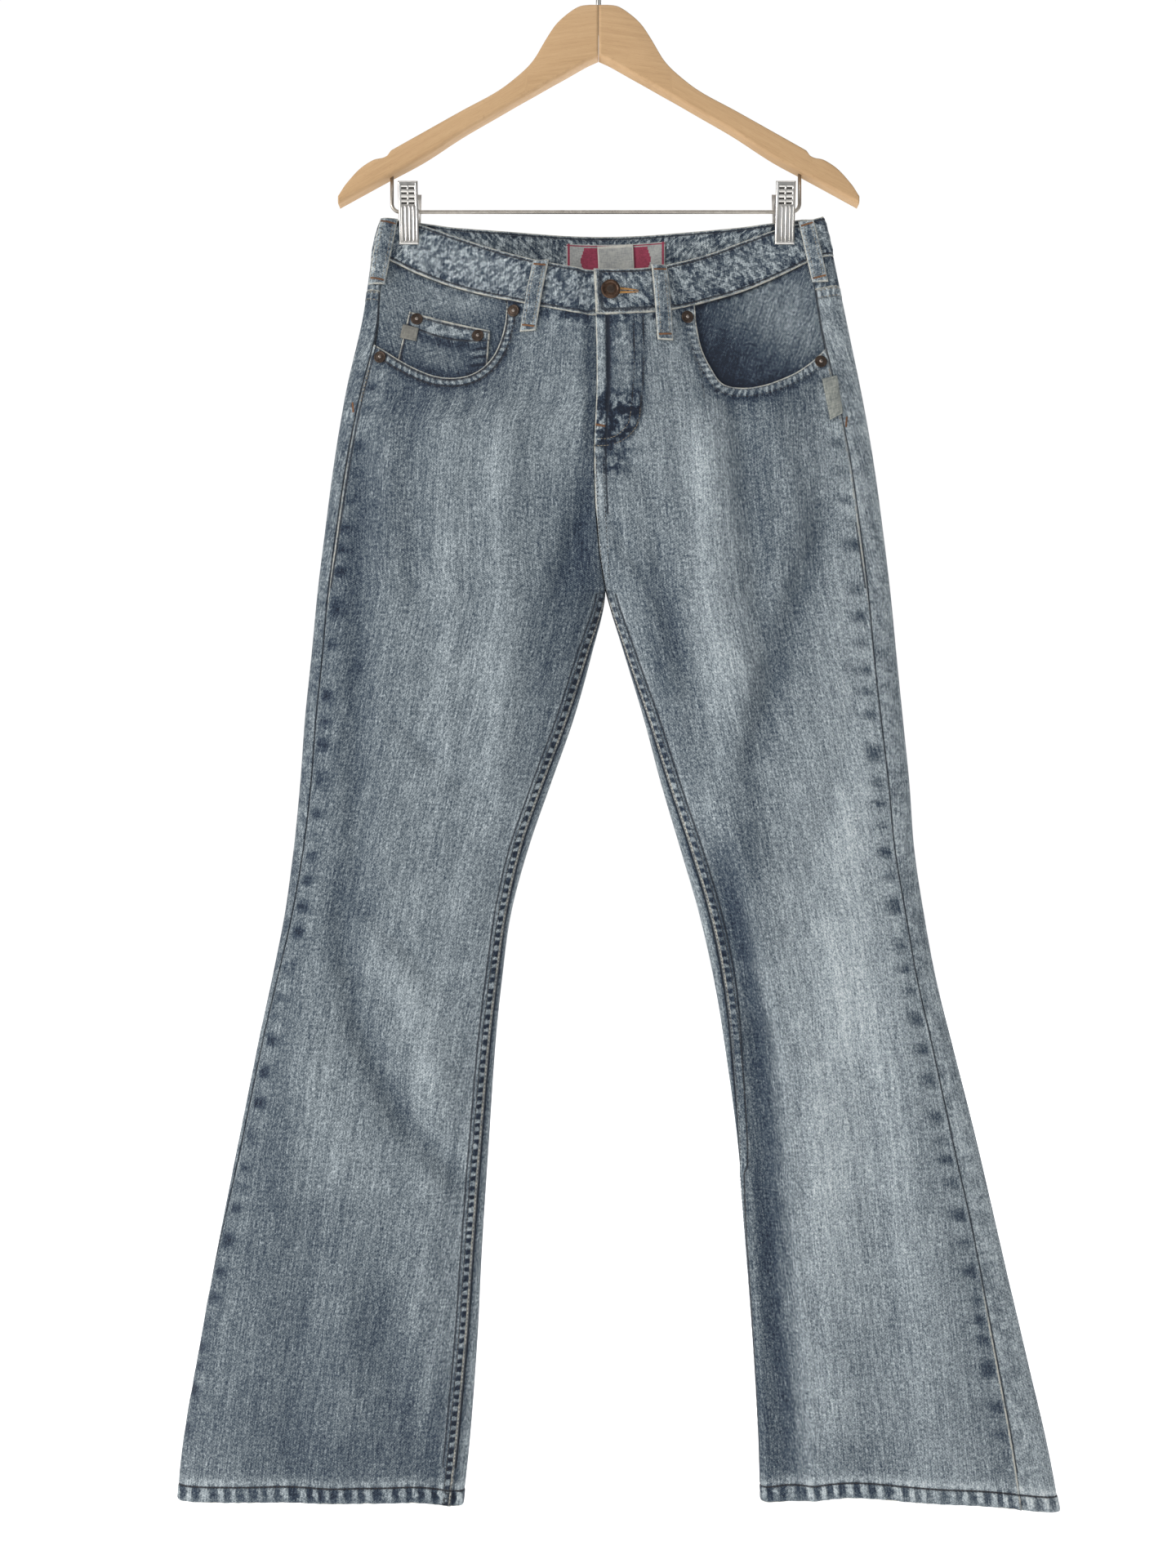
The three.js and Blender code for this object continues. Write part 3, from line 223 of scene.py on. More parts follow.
# Folds: a line from one place to another, its half width, and how far it stands out
FOLD_COLUMNS = "leg x0 drop0 x1 drop1 width out"
FRONT_FOLDS = table(
    FOLD_COLUMNS,
    [
        ("right", -80, 400, -80, 760, 15, 4.2),
        ("right", -198, 443, -203, 815, 10, -5),
        ("right", -218, 815, -200, 921, 9, -5),
        ("right", -200, 921, -165, 998, 9, -6),
        ("right", -165, 998, -118, 1052, 8, -5),
        ("right", -172, 864, -130, 977, 12, 3.8),
        ("right", -250, 935, -214, 1034, 14, 2.8),
        ("right", -158, 400, -152, 560, 10, -3.2),
        ("right", -10, 484, -30, 552, 8, -4.6),
        ("right", -240, 1080, -262, 1310, 16, -3),
        ("right", -118, 420, -126, 700, 9, 1.8),
        ("right", -162, 675, -125, 714, 4.5, -2.2),
        ("right", -128, 700, -96, 730, 4, -1.4),
        ("right", -190, 828, -140, 880, 5.5, -2.2),
        ("right", -212, 873, -160, 921, 6, -2),
        ("right", -190, 1150, -145, 1300, 16, -2.6),
        ("right", -232, 900, -262, 1060, 10, 2),
        ("right", -140, 960, -150, 1250, 13, 2.4),
        ("right", -210, 1150, -222, 1310, 12, 1.8),
        ("right", -60, 640, -92, 820, 8, -1.8),
        ("left", 116, 402, 131, 546, 10, -4.8),
        ("left", 131, 546, 138, 640, 8, -3.4),
        ("left", 187, 500, 124, 709, 11, -6.2),
        ("left", 46, 520, 88, 700, 9, -4.6),
        ("left", 110, 600, 112, 760, 14, 4),
        ("left", 98, 772, 134, 930, 10, -6),
        ("left", 114, 770, 150, 930, 5, 2.4),
        ("left", 134, 940, 160, 1310, 10, -6.4),
        ("left", 150, 930, 180, 1300, 5, 3),
        ("left", 250, 900, 290, 1300, 18, 3),
        ("left", 90, 420, 96, 600, 10, 3.2),
        ("left", 150, 420, 168, 520, 9, 2.4),
        ("left", 12, 506, 40, 554, 5, -2.4),
        ("left", 19, 443, 46, 485, 5, -1.6),
        ("left", 176, 880, 124, 942, 8, -2.6),
        ("left", 206, 797, 164, 838, 6.5, -2),
        ("left", 214, 660, 176, 800, 9, -2.6),
        ("left", 130, 780, 166, 960, 12, 3.4),
        ("left", 176, 980, 196, 1280, 13, 3.6),
        ("left", 222, 960, 244, 1200, 11, -2.4),
        ("left", 70, 640, 110, 800, 8, 2.2),
    ],
)
BACK_FOLDS = table(
    FOLD_COLUMNS,
    [
        ("right", -60, 572, -110, 760, 13, -5),
        ("right", -180, 580, -190, 900, 13, -4),
        ("right", -200, 960, -250, 1310, 16, -4.4),
        ("right", -124, 560, -140, 820, 13, 3),
        ("right", -24, 520, -90, 575, 7, -3),
        ("right", -190, 860, -140, 920, 7, -2.4),
        ("right", -230, 900, -176, 960, 7, -2),
        ("right", -160, 960, -190, 1250, 13, 3),
        ("right", -110, 760, -140, 950, 10, -3),
        ("left", 64, 572, 110, 760, 13, -5),
        ("left", 190, 580, 190, 880, 13, -4.2),
        ("left", 200, 940, 250, 1310, 16, -4.8),
        ("left", 134, 560, 150, 820, 13, 3),
        ("left", 34, 520, 96, 580, 7, -3),
        ("left", 196, 850, 150, 910, 7, -2.4),
        ("left", 170, 960, 200, 1250, 13, 3),
        ("left", 112, 760, 146, 950, 10, -3),
    ],
)


def blend(a, b, part):
    return a + (b - a) * part


def ease(start, end, value):
    part = np.clip((value - start) / (end - start), 0, 1)
    return part * part * (3 - 2 * part)


def bump_at(value, middle, width):
    return np.exp(-0.5 * ((value - middle) / width) ** 2)


def read(rows, key, column, at):
    """A smooth value from a table: key is the column that runs along it, column the one that is read."""
    keys = rows[key]
    values = rows[column]
    last = len(keys) - 1
    place = np.clip(at, keys[0], keys[-1])
    i = np.searchsorted(keys[1:-1], place, side="left")
    before = np.maximum(0, i - 1)
    after = np.minimum(last, i + 2)
    span = keys[i + 1] - keys[i]
    part = (place - keys[i]) / span
    start_slope = (values[i + 1] - values[before]) / (keys[i + 1] - keys[before]) * span
    end_slope = (values[after] - values[i]) / (keys[after] - keys[i]) * span
    p2 = part * part
    p3 = p2 * part
    low = (2 * p3 - 3 * p2 + 1) * values[i] + (p3 - 2 * p2 + part) * start_slope
    high = (3 * p2 - 2 * p3) * values[i + 1] + (p3 - p2) * end_slope
    return low + high


def outer_x(leg, drop):
    return read(SECTIONS, "drop", leg + "_outer", drop)


def inner_x(leg, front, drop):
    """The inner edge: the fly or the back's middle seam above the crotch, the inside leg below it."""
    away = (-1 if leg == "right" else 1) * (SEAM_GAP / 2 + 0.05)
    shared = read(SECTIONS, "drop", "left_inner", drop)
    own = read(SECTIONS, "drop", leg + "_inner", drop)
    above = drop < CROTCH_DROP
    edge = np.where(above, shared, own) + away
    if leg == "right":
        under = FLY_UNDERLAP * (1 - ease(FLY_UNDERLAP_END - 28, FLY_UNDERLAP_END, drop))
        edge = edge + np.where(front & above, under, 0)
    return np.where(~front & above, BACK_CENTRE + away, edge)


def parting(drop, from_inner):
    part = np.clip((drop - SPLIT_START) / (CROTCH_DROP - SPLIT_START), 0, 1)
    edge = 1 - np.sqrt(1 - part * part)
    away = ease(PARTING_START, PARTING_END, drop)
    return blend(edge, away, ease(0, PARTING_REACH, from_inner))


def waist_depth(from_middle, half_width, full):
    bow = np.cos(np.pi / 2 * np.minimum(from_middle / BOW_HALF_WIDTH, 1)) ** 2
    side = ease(168, half_width - SIDE_FOLD_WIDTH, from_middle)
    base = blend(PINCH_HALF_DEPTH, SIDE_FOLD_DEPTH, side)
    last = np.clip((from_middle - (half_width - SIDE_FOLD_WIDTH)) / SIDE_FOLD_WIDTH, 0, 1)
    return (base + (full - PINCH_HALF_DEPTH) * bow) * np.sqrt(1 - last * last)


def fold_height(folds, leg, x, drop):
    height = np.zeros(np.shape(x))
    for i, owner in enumerate(folds["leg"]):
        if owner != leg:
            continue
        dx = folds["x1"][i] - folds["x0"][i]
        dz = folds["drop1"][i] - folds["drop0"][i]
        length = math.hypot(dx, dz)
        from_x = x - folds["x0"][i]
        from_drop = drop - folds["drop0"][i]
        along = (from_x * dx + from_drop * dz) / length
        across = (from_x * dz - from_drop * dx) / length
        start = ease(-FOLD_END_FADE, FOLD_END_FADE * 0.6, along)
        end = ease(-FOLD_END_FADE, FOLD_END_FADE * 0.6, length - along)
        height += folds["out"][i] * start * end * bump_at(across, 0, folds["width"][i])
    return height


def half_depth(leg, front, x, drop):
    """How far the cloth stands from the garment's middle plane."""
    outer = outer_x(leg, drop)
    inner = inner_x(leg, front, drop)
    full = np.where(front, read(SECTIONS, "drop", "front", drop), read(SECTIONS, "drop", "back", drop))
    half_width = np.abs(outer - BODY_MIDDLE)
    from_middle = np.clip(np.abs(x - BODY_MIDDLE), 0, half_width)
    hip = full * (1 - (from_middle / half_width) ** 2) ** CREASE_POWER
    seam = np.where(front, read(FRONT_WAIST, "x", "seam", x), read(BACK_WAIST, "x", "seam", x))
    below_waist = ease(seam - 4, seam + WAIST_BLEND, drop)
    body = blend(waist_depth(from_middle, half_width, full), hip, below_waist)
    leg_middle = (outer + inner) / 2
    leg_half = np.abs(outer - inner) / 2
    across = np.clip(np.abs(x - leg_middle) / leg_half, 0, 1)
    tube = full * (1 - across * across) ** CREASE_POWER
    depth = blend(body, tube, parting(drop, np.abs(x - inner)))
    room = np.clip(depth / 8, 0, 1)
    on_front = fold_height(FRONT_FOLDS, leg, x, drop)
    on_back = fold_height(BACK_FOLDS, leg, x, drop)
    return depth + room * room * np.where(front, on_front, on_back)


def skin(leg, turn, drop):
    """Points of the outer skin. Turn runs from the inner edge at 0 over the front to the outer edge at 1,
    and on over the back to the inner edge at 2."""
    turn, drop = np.broadcast_arrays(np.asarray(turn, float), np.asarray(drop, float))
    place = np.where(drop >= CROTCH_DROP, turn % 2.0, turn)
    place = np.clip(place, 0, 2)
    front = place <= 1
    outer = outer_x(leg, drop)
    inner = inner_x(leg, front, drop)
    x = (outer + inner) / 2 + (inner - outer) / 2 * np.cos(np.pi * place)
    depth = half_depth(leg, front, x, drop)
    return np.stack([x, np.where(front, -depth, depth), -drop], axis=-1)


def skin_normal(leg, turn, drop):
    turn, drop = np.broadcast_arrays(np.asarray(turn, float), np.asarray(drop, float))
    step = 0.012
    closed = drop >= CROTCH_DROP
    low = np.where(closed, turn - step, np.clip(turn - step, 0, 2))
    high = np.where(closed, turn + step, np.clip(turn + step, 0, 2))
    across = skin(leg, high, drop) - skin(leg, low, drop)
    below = np.where(closed, drop + 1.5, np.minimum(drop + 1.5, CROTCH_DROP - 0.01))
    above = np.where(closed, np.maximum(drop - 1.5, CROTCH_DROP), drop - 1.5)
    down = skin(leg, turn, below) - skin(leg, turn, above)
    normal = np.cross(across, down)
    if leg == "left":
        normal = -normal
    # Where the spans vanish at a corner, the wall stands straight out from the middle plane
    straight = np.stack([0 * turn, np.where((turn % 2) <= 1, -1.0, 1.0), 0 * turn], axis=-1)
    size = np.linalg.norm(normal, axis=-1, keepdims=True)
    normal = np.where(size > 1e-6, normal / np.maximum(size, 1e-6), straight)
    # At the open middle edges the wall never leans across the seam
    edge = ~closed & ((turn < 0.03) | (turn > 1.97))
    clear = np.maximum(normal[..., 0], 0) if leg == "right" else np.minimum(normal[..., 0], 0)
    normal[..., 0] = np.where(edge, clear, normal[..., 0])
    return normal / np.linalg.norm(normal, axis=-1, keepdims=True)


def skin_at(leg, turn, drop, lift):
    lift = np.asarray(lift, float)
    return skin(leg, turn, drop) + skin_normal(leg, turn, drop) * lift[..., None]


def turn_at(leg, front, x, drop):
    x, drop = np.broadcast_arrays(np.asarray(x, float), np.asarray(drop, float))
    face = np.full(x.shape, front)
    outer = outer_x(leg, drop)
    inner = inner_x(leg, face, drop)
    cosine = np.clip((x - (outer + inner) / 2) / ((inner - outer) / 2), -1, 1)
    turn = np.arccos(cosine) / np.pi
    return turn if front else 2 - turn


def seam_turn(leg, kind, drop):
    drop = np.asarray(drop, float)
    offset = read(SEAMS, "drop", kind + "_" + leg, drop)
    half = np.abs(outer_x(leg, drop) - inner_x(leg, offset >= 0, drop)) / 2
    turn = np.arccos(np.clip(1 - np.abs(offset) / half, -1, 1)) / np.pi
    if kind == "out":
        return np.where(offset >= 0, 1 - turn, 1 + turn)
    return np.where(offset >= 0, turn, -turn)


def hem_drop(leg, x, drop):
    outer = outer_x(leg, drop)
    inner = inner_x(leg, np.full(np.shape(x), True), drop)
    return read(HEM, "part", leg, np.clip((x - inner) / (outer - inner), 0, 1))


def smooth_path(x, drop, count):
    """A polyline through places, resampled evenly along its length."""
    x = np.asarray(x, float)
    drop = np.asarray(drop, float)
    along = np.concatenate([[0], np.cumsum(np.hypot(np.diff(x), np.diff(drop)))])
    rows = {"along": along, "x": x, "drop": drop}
    at = np.linspace(0, along[-1], count)
    return read(rows, "along", "x", at), read(rows, "along", "drop", at), at


def near_path(path, x, drop):
    """Distance to a path, and the place along it, for every point."""
    px, pd, along = path
    flat = np.stack([x.ravel(), drop.ravel()], axis=1)
    best = np.full(len(flat), 1e9)
    where = np.zeros(len(flat))
    for i in range(len(px) - 1):
        ax, ad = px[i], pd[i]
        bx, bd = px[i + 1] - ax, pd[i + 1] - ad
        size = bx * bx + bd * bd
        part = np.clip(((flat[:, 0] - ax) * bx + (flat[:, 1] - ad) * bd) / size, 0, 1)
        gap = np.hypot(flat[:, 0] - ax - part * bx, flat[:, 1] - ad - part * bd)
        closer = gap < best
        best[closer] = gap[closer]
        where[closer] = along[i] + part[closer] * (along[i + 1] - along[i])
    return best.reshape(x.shape), where.reshape(x.shape)


def wobble(at, seed):
    """Uneven but repeatable waves between about -1 and 1, for spacing and depth that aren't regular."""
    first = np.sin(1.7 * at + seed)
    second = np.sin(0.61 * at + 2.3 * seed)
    third = np.sin(3.1 * at + 0.7 * seed)
    return 0.45 * first + 0.3 * second + 0.25 * third


# Looks that every cloth vertex carries for the denim material
LOOK_NAMES = ("tone", "edge", "groove")
LOOK_VECTORS = ("rope", "mottle")


def plain_look(shape, tone=0.0):
    look = {name: np.zeros(shape) for name in LOOK_NAMES}
    look["tone"] += tone
    look["edge"] += 30
    look["groove"] += 30
    look["rope"] = np.zeros((*shape, 3))
    look["mottle"] = np.zeros((*shape, 3))
    return look


def mesh_object(name, positions, faces, smooth=True):
    mesh = bpy.data.meshes.new(name)
    mesh.from_pydata((np.asarray(positions) * METRES).tolist(), [], faces)
    mesh.update()
    mesh.polygons.foreach_set("use_smooth", [smooth] * len(mesh.polygons))
    made = bpy.data.objects.new(name, mesh)
    bpy.context.scene.collection.objects.link(made)
    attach(made, "root")
    return made


def grid_faces(rows, columns, start, flip):
    r, c = np.meshgrid(np.arange(rows - 1), np.arange(columns - 1), indexing="ij")
    a = (start + r * columns + c).ravel()
    quads = np.stack([a, a + columns, a + columns + 1, a + 1], axis=1)
    return quads[:, ::-1] if flip else quads


def closed_faces(rows, columns, flip):
    """Faces of a thin form between two grids of points: both sides and the rim that joins them."""
    size = rows * columns
    ring = list(range(columns))
    ring += [r * columns + columns - 1 for r in range(1, rows)]
    ring += [(rows - 1) * columns + c for c in range(columns - 2, -1, -1)]
    ring += [r * columns for r in range(rows - 2, 0, -1)]
    ring = np.array(ring)
    after = np.roll(ring, -1)
    rim = np.stack([ring, after, after + size, ring + size], axis=1)
    sides = [grid_faces(rows, columns, 0, flip), grid_faces(rows, columns, size, not flip)]
    return np.concatenate([*sides, rim[:, ::-1] if flip else rim]).tolist()


# Points, outward directions and measured distances of each cloth piece's outer side, to sew on
GRIDS = {}


def keep_grid(name, outer, inner, fields):
    across = np.gradient(outer, axis=1)
    down = np.gradient(outer, axis=0)
    normals = np.cross(across, down)
    normals /= np.linalg.norm(normals, axis=-1, keepdims=True) + 1e-9
    rows, columns = outer.shape[:2]
    middle = (rows // 2, columns // 2)
    if np.dot(normals[middle], outer[middle] - inner[middle]) < 0:
        normals = -normals
    GRIDS[name] = {"points": outer, "normals": normals, **fields}


def shell(name, outer, inner, look, weave, outside, inside, **fields):
    """A closed cloth shell between two grids of points, with its look and its weave in metres."""
    keep_grid(name, outer, inner, fields)
    rows, columns = outer.shape[:2]
    middle = (rows // 2, columns // 2)
    across = outer[middle[0], middle[1] + 1] - outer[middle]
    down = outer[middle[0] + 1, middle[1]] - outer[middle]
    flip = np.dot(np.cross(down, across), outer[middle] - inner[middle]) < 0
    positions = np.concatenate([outer.reshape(-1, 3), inner.reshape(-1, 3)])
    made = mesh_object(name, positions, closed_faces(rows, columns, flip))
    mesh = made.data
    inside_faces = np.zeros(len(mesh.polygons), dtype=np.int32)
    count = (rows - 1) * (columns - 1)
    inside_faces[count : 2 * count] = 1
    mesh.polygons.foreach_set("material_index", inside_faces)
    mesh.materials.append(outside)
    mesh.materials.append(inside)
    for key in LOOK_NAMES:
        attribute = mesh.attributes.new(key, "FLOAT", "POINT")
        attribute.data.foreach_set("value", np.tile(look[key].ravel(), 2).astype(np.float32))
    for key in LOOK_VECTORS:
        attribute = mesh.attributes.new(key, "FLOAT_VECTOR", "POINT")
        flat = look[key].reshape(-1, 3)
        attribute.data.foreach_set("vector", np.concatenate([flat, flat]).ravel().astype(np.float32))
    layer = mesh.uv_layers.new(name="weave")
    corners = np.empty(len(mesh.loops), dtype=np.int32)
    mesh.loops.foreach_get("vertex_index", corners)
    flat = np.tile(weave.reshape(-1, 2) * METRES, (2, 1))
    layer.data.foreach_set("uv", flat[corners].ravel().astype(np.float32))
    return made


# Shader building
class Graph:
    """Adds nodes to a material and joins them."""

    def __init__(self, name):
        self.material = bpy.data.materials.new(name)
        self.material.use_nodes = True
        self.tree = self.material.node_tree
        self.tree.nodes.clear()
        self.out = self.tree.nodes.new("ShaderNodeOutputMaterial")
        self.surface = self.tree.nodes.new("ShaderNodeBsdfPrincipled")
        self.tree.links.new(self.surface.outputs["BSDF"], self.out.inputs["Surface"])

    def put(self, socket, value):
        if isinstance(value, bpy.types.NodeSocket):
            self.tree.links.new(value, socket)
        else:
            socket.default_value = value

    def node(self, kind, values=(), **settings):
        made = self.tree.nodes.new(kind)
        for key, value in settings.items():
            setattr(made, key, value)
        for key, value in dict(values).items():
            self.put(made.inputs[key], value)
        return made

    def math(self, operation, a, b=0.0, c=0.0):
        made = self.node("ShaderNodeMath", {0: a, 1: b, 2: c}, operation=operation)
        return made.outputs[0]

    def scaled(self, value, factor, add=0.0):
        return self.math("MULTIPLY_ADD", value, factor, add)

    def total(self, *values):
        result = values[0]
        for value in values[1:]:
            result = self.math("ADD", result, value)
        return result

    def window(self, value, low, high, from_value=0.0, to_value=1.0):
        made = self.node(
            "ShaderNodeMapRange",
            {0: value, 1: low, 2: high, 3: from_value, 4: to_value},
            interpolation_type="SMOOTHSTEP",
        )
        return made.outputs[0]

    def vector(self, coordinates, scale, angle=0.0):
        made = self.node("ShaderNodeMapping", {"Vector": coordinates, "Scale": scale})
        made.inputs["Rotation"].default_value = (0, 0, angle)
        return made.outputs[0]

    def noise(self, coordinates, scale=1.0, detail=2.0, rough=0.5, distortion=0.0):
        values = {"Vector": coordinates, "Scale": scale, "Detail": detail, "Roughness": rough}
        made = self.node("ShaderNodeTexNoise", {**values, "Distortion": distortion})
        return made.outputs[0]

    def attribute(self, name, output="Fac"):
        return self.node("ShaderNodeAttribute", attribute_name=name).outputs[output]

    def shades(self, value, stops):
        made = self.node("ShaderNodeValToRGB", {0: value})
        ramp = made.color_ramp
        while len(ramp.elements) < len(stops):
            ramp.elements.new(0.5)
        for element, (place, colour) in zip(ramp.elements, stops):
            element.position = place
            element.color = (*colour, 1)
        return made.outputs[0]

    def mix(self, part, a, b):
        made = self.node("ShaderNodeMix", data_type="RGBA")
        self.put(made.inputs[0], part)
        self.put(made.inputs[6], a)
        self.put(made.inputs[7], b)
        return made.outputs[2]

    def bump(self, height, distance, strength=1.0, normal=None):
        made = self.node("ShaderNodeBump", {"Height": height, "Distance": distance, "Strength": strength})
        if normal is not None:
            self.put(made.inputs["Normal"], normal)
        return made.outputs[0]


# Denim: navy where it stayed dyed, grey blue where it is washed, cream where it is worn through
DENIM_SHADES = [
    (0.0, (0.006, 0.011, 0.023)),
    (0.2, (0.020, 0.035, 0.062)),
    (0.4, (0.078, 0.103, 0.127)),
    (0.58, (0.190, 0.222, 0.243)),
    (0.8, (0.385, 0.438, 0.47)),
    (1.0, (0.63, 0.67, 0.67)),
]
INSIDE_SHADES = [
    (0.0, (0.08, 0.10, 0.13)),
    (0.5, (0.28, 0.31, 0.34)),
    (1.0, (0.58, 0.60, 0.60)),
]
CREAM = (0.52, 0.51, 0.45, 1)
# Near black: painted shade in the grooves of seams and stitch rows
GROOVE_PAINTED_SHADE = (0.012, 0.017, 0.028, 1)


def denim(name, shades, base, twill_side=1):
    g = Graph(name)
    weave = g.node("ShaderNodeUVMap", uv_map="weave").outputs[0]
    # Yarns: fine grain, slubs that run with the warp, and broad streaks
    grain = g.noise(g.vector(weave, (900, 520, 1)), 1.0, 2.0, 0.6)
    slub = g.noise(g.vector(weave, (820, 60, 1)), 1.0, 2.0, 0.55)
    streak = g.noise(g.vector(weave, (240, 14, 1)), 1.0, 3.0, 0.6)
    weft = g.noise(g.vector(weave, (70, 700, 1)), 1.0, 1.0, 0.5)
    speck = g.noise(g.vector(weave, (560, 330, 1)), 1.0, 2.0, 0.65)
    cloud = g.noise(g.vector(weave, (26, 15, 1)), 1.0, 3.0, 0.55)
    drape = g.noise(g.vector(weave, (95, 3.6, 1)), 1.0, 2.0, 0.5)
    # Twill lines climb across the weave, a little under a millimetre apart
    slant = g.vector(weave, (1, 1, 1), twill_side * math.radians(62))
    lines = g.node("ShaderNodeTexWave", {"Vector": slant, "Scale": 235, "Distortion": 0.8, "Detail": 1})
    lines.inputs["Detail Scale"].default_value = 900
    twill = lines.outputs[1]
    # Ropes: light and dark steps along a seam
    rope = g.node("ShaderNodeSeparateXYZ", {0: g.attribute("rope", "Vector")})
    rope_noise = g.noise(g.vector(g.attribute("rope", "Vector"), (1.3, 0.16, 0)), 1.0, 2.0, 0.6)
    rope_phase = g.total(rope.outputs[0], g.scaled(rope_noise, 0.5))
    rope_wave = g.math("SINE", g.scaled(rope_phase, 2 * math.pi))
    rope_step = g.window(g.total(rope_wave, g.scaled(rope_noise, 1.6, -0.8)), -0.7, 0.75, -1, 0.8)
    roping = g.math("MULTIPLY", rope_step, rope.outputs[2])
    # Mottle: uneven patches of dye
    mottle = g.node("ShaderNodeSeparateXYZ", {0: g.attribute("mottle", "Vector")})
    flat_mottle = g.vector(g.attribute("mottle", "Vector"), (1, 1, 0))
    patches = g.noise(flat_mottle, 1.0, 2.5, 0.55, 0.4)
    patch_step = g.window(patches, 0.40, 0.60, -1, 0.7)
    mottling = g.math("MULTIPLY", patch_step, mottle.outputs[2])
    parts = [
        g.scaled(g.attribute("tone"), 1.0, base),
        g.scaled(grain, 0.84, -0.42),
        g.scaled(slub, 0.60, -0.30),
        g.scaled(speck, 0.78, -0.39),
        g.scaled(drape, 0.22, -0.11),
        g.scaled(streak, 0.30, -0.15),
        g.scaled(weft, 0.18, -0.09),
        g.scaled(cloud, 0.24, -0.12),
        g.scaled(twill, 0.17, -0.085),
        g.scaled(roping, 0.22),
        g.scaled(mottling, 0.29),
    ]
    wash = g.total(*parts)
    # Worn folded edges, and near-black painted shade in the grooves of seams and stitch rows
    edge_noise = g.noise(g.vector(weave, (420, 420, 1)), 1.0, 2.0, 0.6)
    edge_at = g.total(g.attribute("edge"), g.scaled(edge_noise, 1.6, -0.8))
    rubbed = g.noise(g.vector(weave, (110, 110, 1)), 1.0, 2.0, 0.6)
    worn = g.math("MULTIPLY", g.window(edge_at, 0.5, 1.5, 0.95, 0), g.window(rubbed, 0.36, 0.56, 0.35, 1))
    groove_at = g.math("ABSOLUTE", g.attribute("groove"))
    groove_at = g.total(groove_at, g.scaled(edge_noise, 0.9, -0.45))
    groove = g.window(groove_at, 0.25, 1.15, 0.85, 0)
    colour = g.shades(wash, shades)
    colour = g.mix(worn, colour, CREAM)
    colour = g.mix(groove, colour, GROOVE_PAINTED_SHADE)
    height = g.total(g.scaled(slub, 0.9), g.scaled(twill, 0.45), g.scaled(grain, 0.9), g.scaled(streak, 0.3))
    fine = g.bump(height, 0.00035, 0.75)
    height = g.total(g.scaled(roping, 0.5), g.scaled(mottling, 0.35), g.scaled(groove, -0.8))
    rough = g.bump(height, 0.0011, 0.8, fine)
    g.put(g.surface.inputs["Base Color"], colour)
    g.put(g.surface.inputs["Normal"], rough)
    g.surface.inputs["Roughness"].default_value = 0.92
    g.surface.inputs["Specular IOR Level"].default_value = 0.18
    g.surface.inputs["Sheen Weight"].default_value = 0.12
    g.surface.inputs["Sheen Roughness"].default_value = 0.6
    return g.material


DENIM = denim("denim", DENIM_SHADES, 0.5)
DENIM_INSIDE = denim("denim_inside", INSIDE_SHADES, 0.5, -1)


def thread(name, colour, dark):
    g = Graph(name)
    place = g.node("ShaderNodeTexCoord").outputs["Object"]
    fibres = g.noise(g.vector(place, (2600, 2600, 2600)), 1.0, 2.0, 0.6)
    worn = g.noise(g.vector(place, (55, 55, 55)), 1.0, 2.0, 0.6)
    shade = g.window(g.total(g.scaled(fibres, 0.5), g.scaled(worn, 0.5)), 0.3, 0.7)
    g.put(g.surface.inputs["Base Color"], g.mix(shade, (*dark, 1), (*colour, 1)))
    g.put(g.surface.inputs["Normal"], g.bump(fibres, 0.0002, 0.6))
    g.surface.inputs["Roughness"].default_value = 0.8
    return g.material


THREADS = {
    "dark": thread("thread_dark", (0.045, 0.035, 0.034), (0.012, 0.013, 0.018)),
    "tan": thread("thread_tan", (0.42, 0.35, 0.24), (0.16, 0.13, 0.10)),
    "rust": thread("thread_rust", (0.30, 0.145, 0.065), (0.10, 0.045, 0.025)),
    "gold": thread("thread_gold", (0.66, 0.36, 0.12), (0.26, 0.12, 0.035)),
}


# Distances from a seam at which a grid has its columns, close together where thin edges need them
SEAM_STEPS = [0, 0.45, 1, 1.6, 2.3, 3.2, 4.4, 5.8, 7.2, 8.2, 8.8, 9.5, 10.2, 10.8, 12, 14]
SIDE_STEPS = [0, 0.45, 1, 1.6, 2.3, 3.2, 4.6, 6.4, 8.6, 11]
LEVELS = np.arange(270, 1346, 2.0)


class Measured:
    """Lengths of cloth across one panel at every level, to place its columns by."""

    def __init__(self, first_turn, last_turn, leg):
        part = np.linspace(0, 1, 261)
        # Points crowd at both ends, where the skin turns most
        part = 0.5 - 0.5 * np.cos(np.pi * part)
        self.turns = blend(first_turn[:, None], last_turn[:, None], part[None, :])
        points = skin(leg, self.turns, np.broadcast_to(LEVELS[:, None], self.turns.shape))
        steps = np.linalg.norm(np.diff(points, axis=1), axis=-1)
        self.lengths = np.concatenate([np.zeros((len(LEVELS), 1)), np.cumsum(steps, axis=1)], axis=1)

    def width(self):
        return self.lengths[:, -1]

    def turns_for(self, places):
        """Turns at each level for places given in millimetres, one column each."""
        return np.stack([np.interp(places[i], self.lengths[i], self.turns[i]) for i in range(len(LEVELS))])

    def places_of(self, turns):
        return np.stack([np.interp(turns[i], self.turns[i], self.lengths[i]) for i in range(len(LEVELS))])


def at_levels(values, drops):
    """Reads a table of levels by columns at the drops of a grid of rows by columns."""
    return np.stack([np.interp(drops[:, j], LEVELS, values[:, j]) for j in range(drops.shape[1])], axis=1)


def spread_places(width, count, first_steps, last_steps):
    """Places in millimetres across a width: steps near both edges, even in the middle."""
    middle = count - len(first_steps) - len(last_steps)
    start = first_steps[-1]
    end = width - last_steps[-1]
    inner = blend(start, end, np.arange(1, middle + 1) / (middle + 1))
    return np.concatenate([first_steps, inner, width - np.array(last_steps[::-1])])


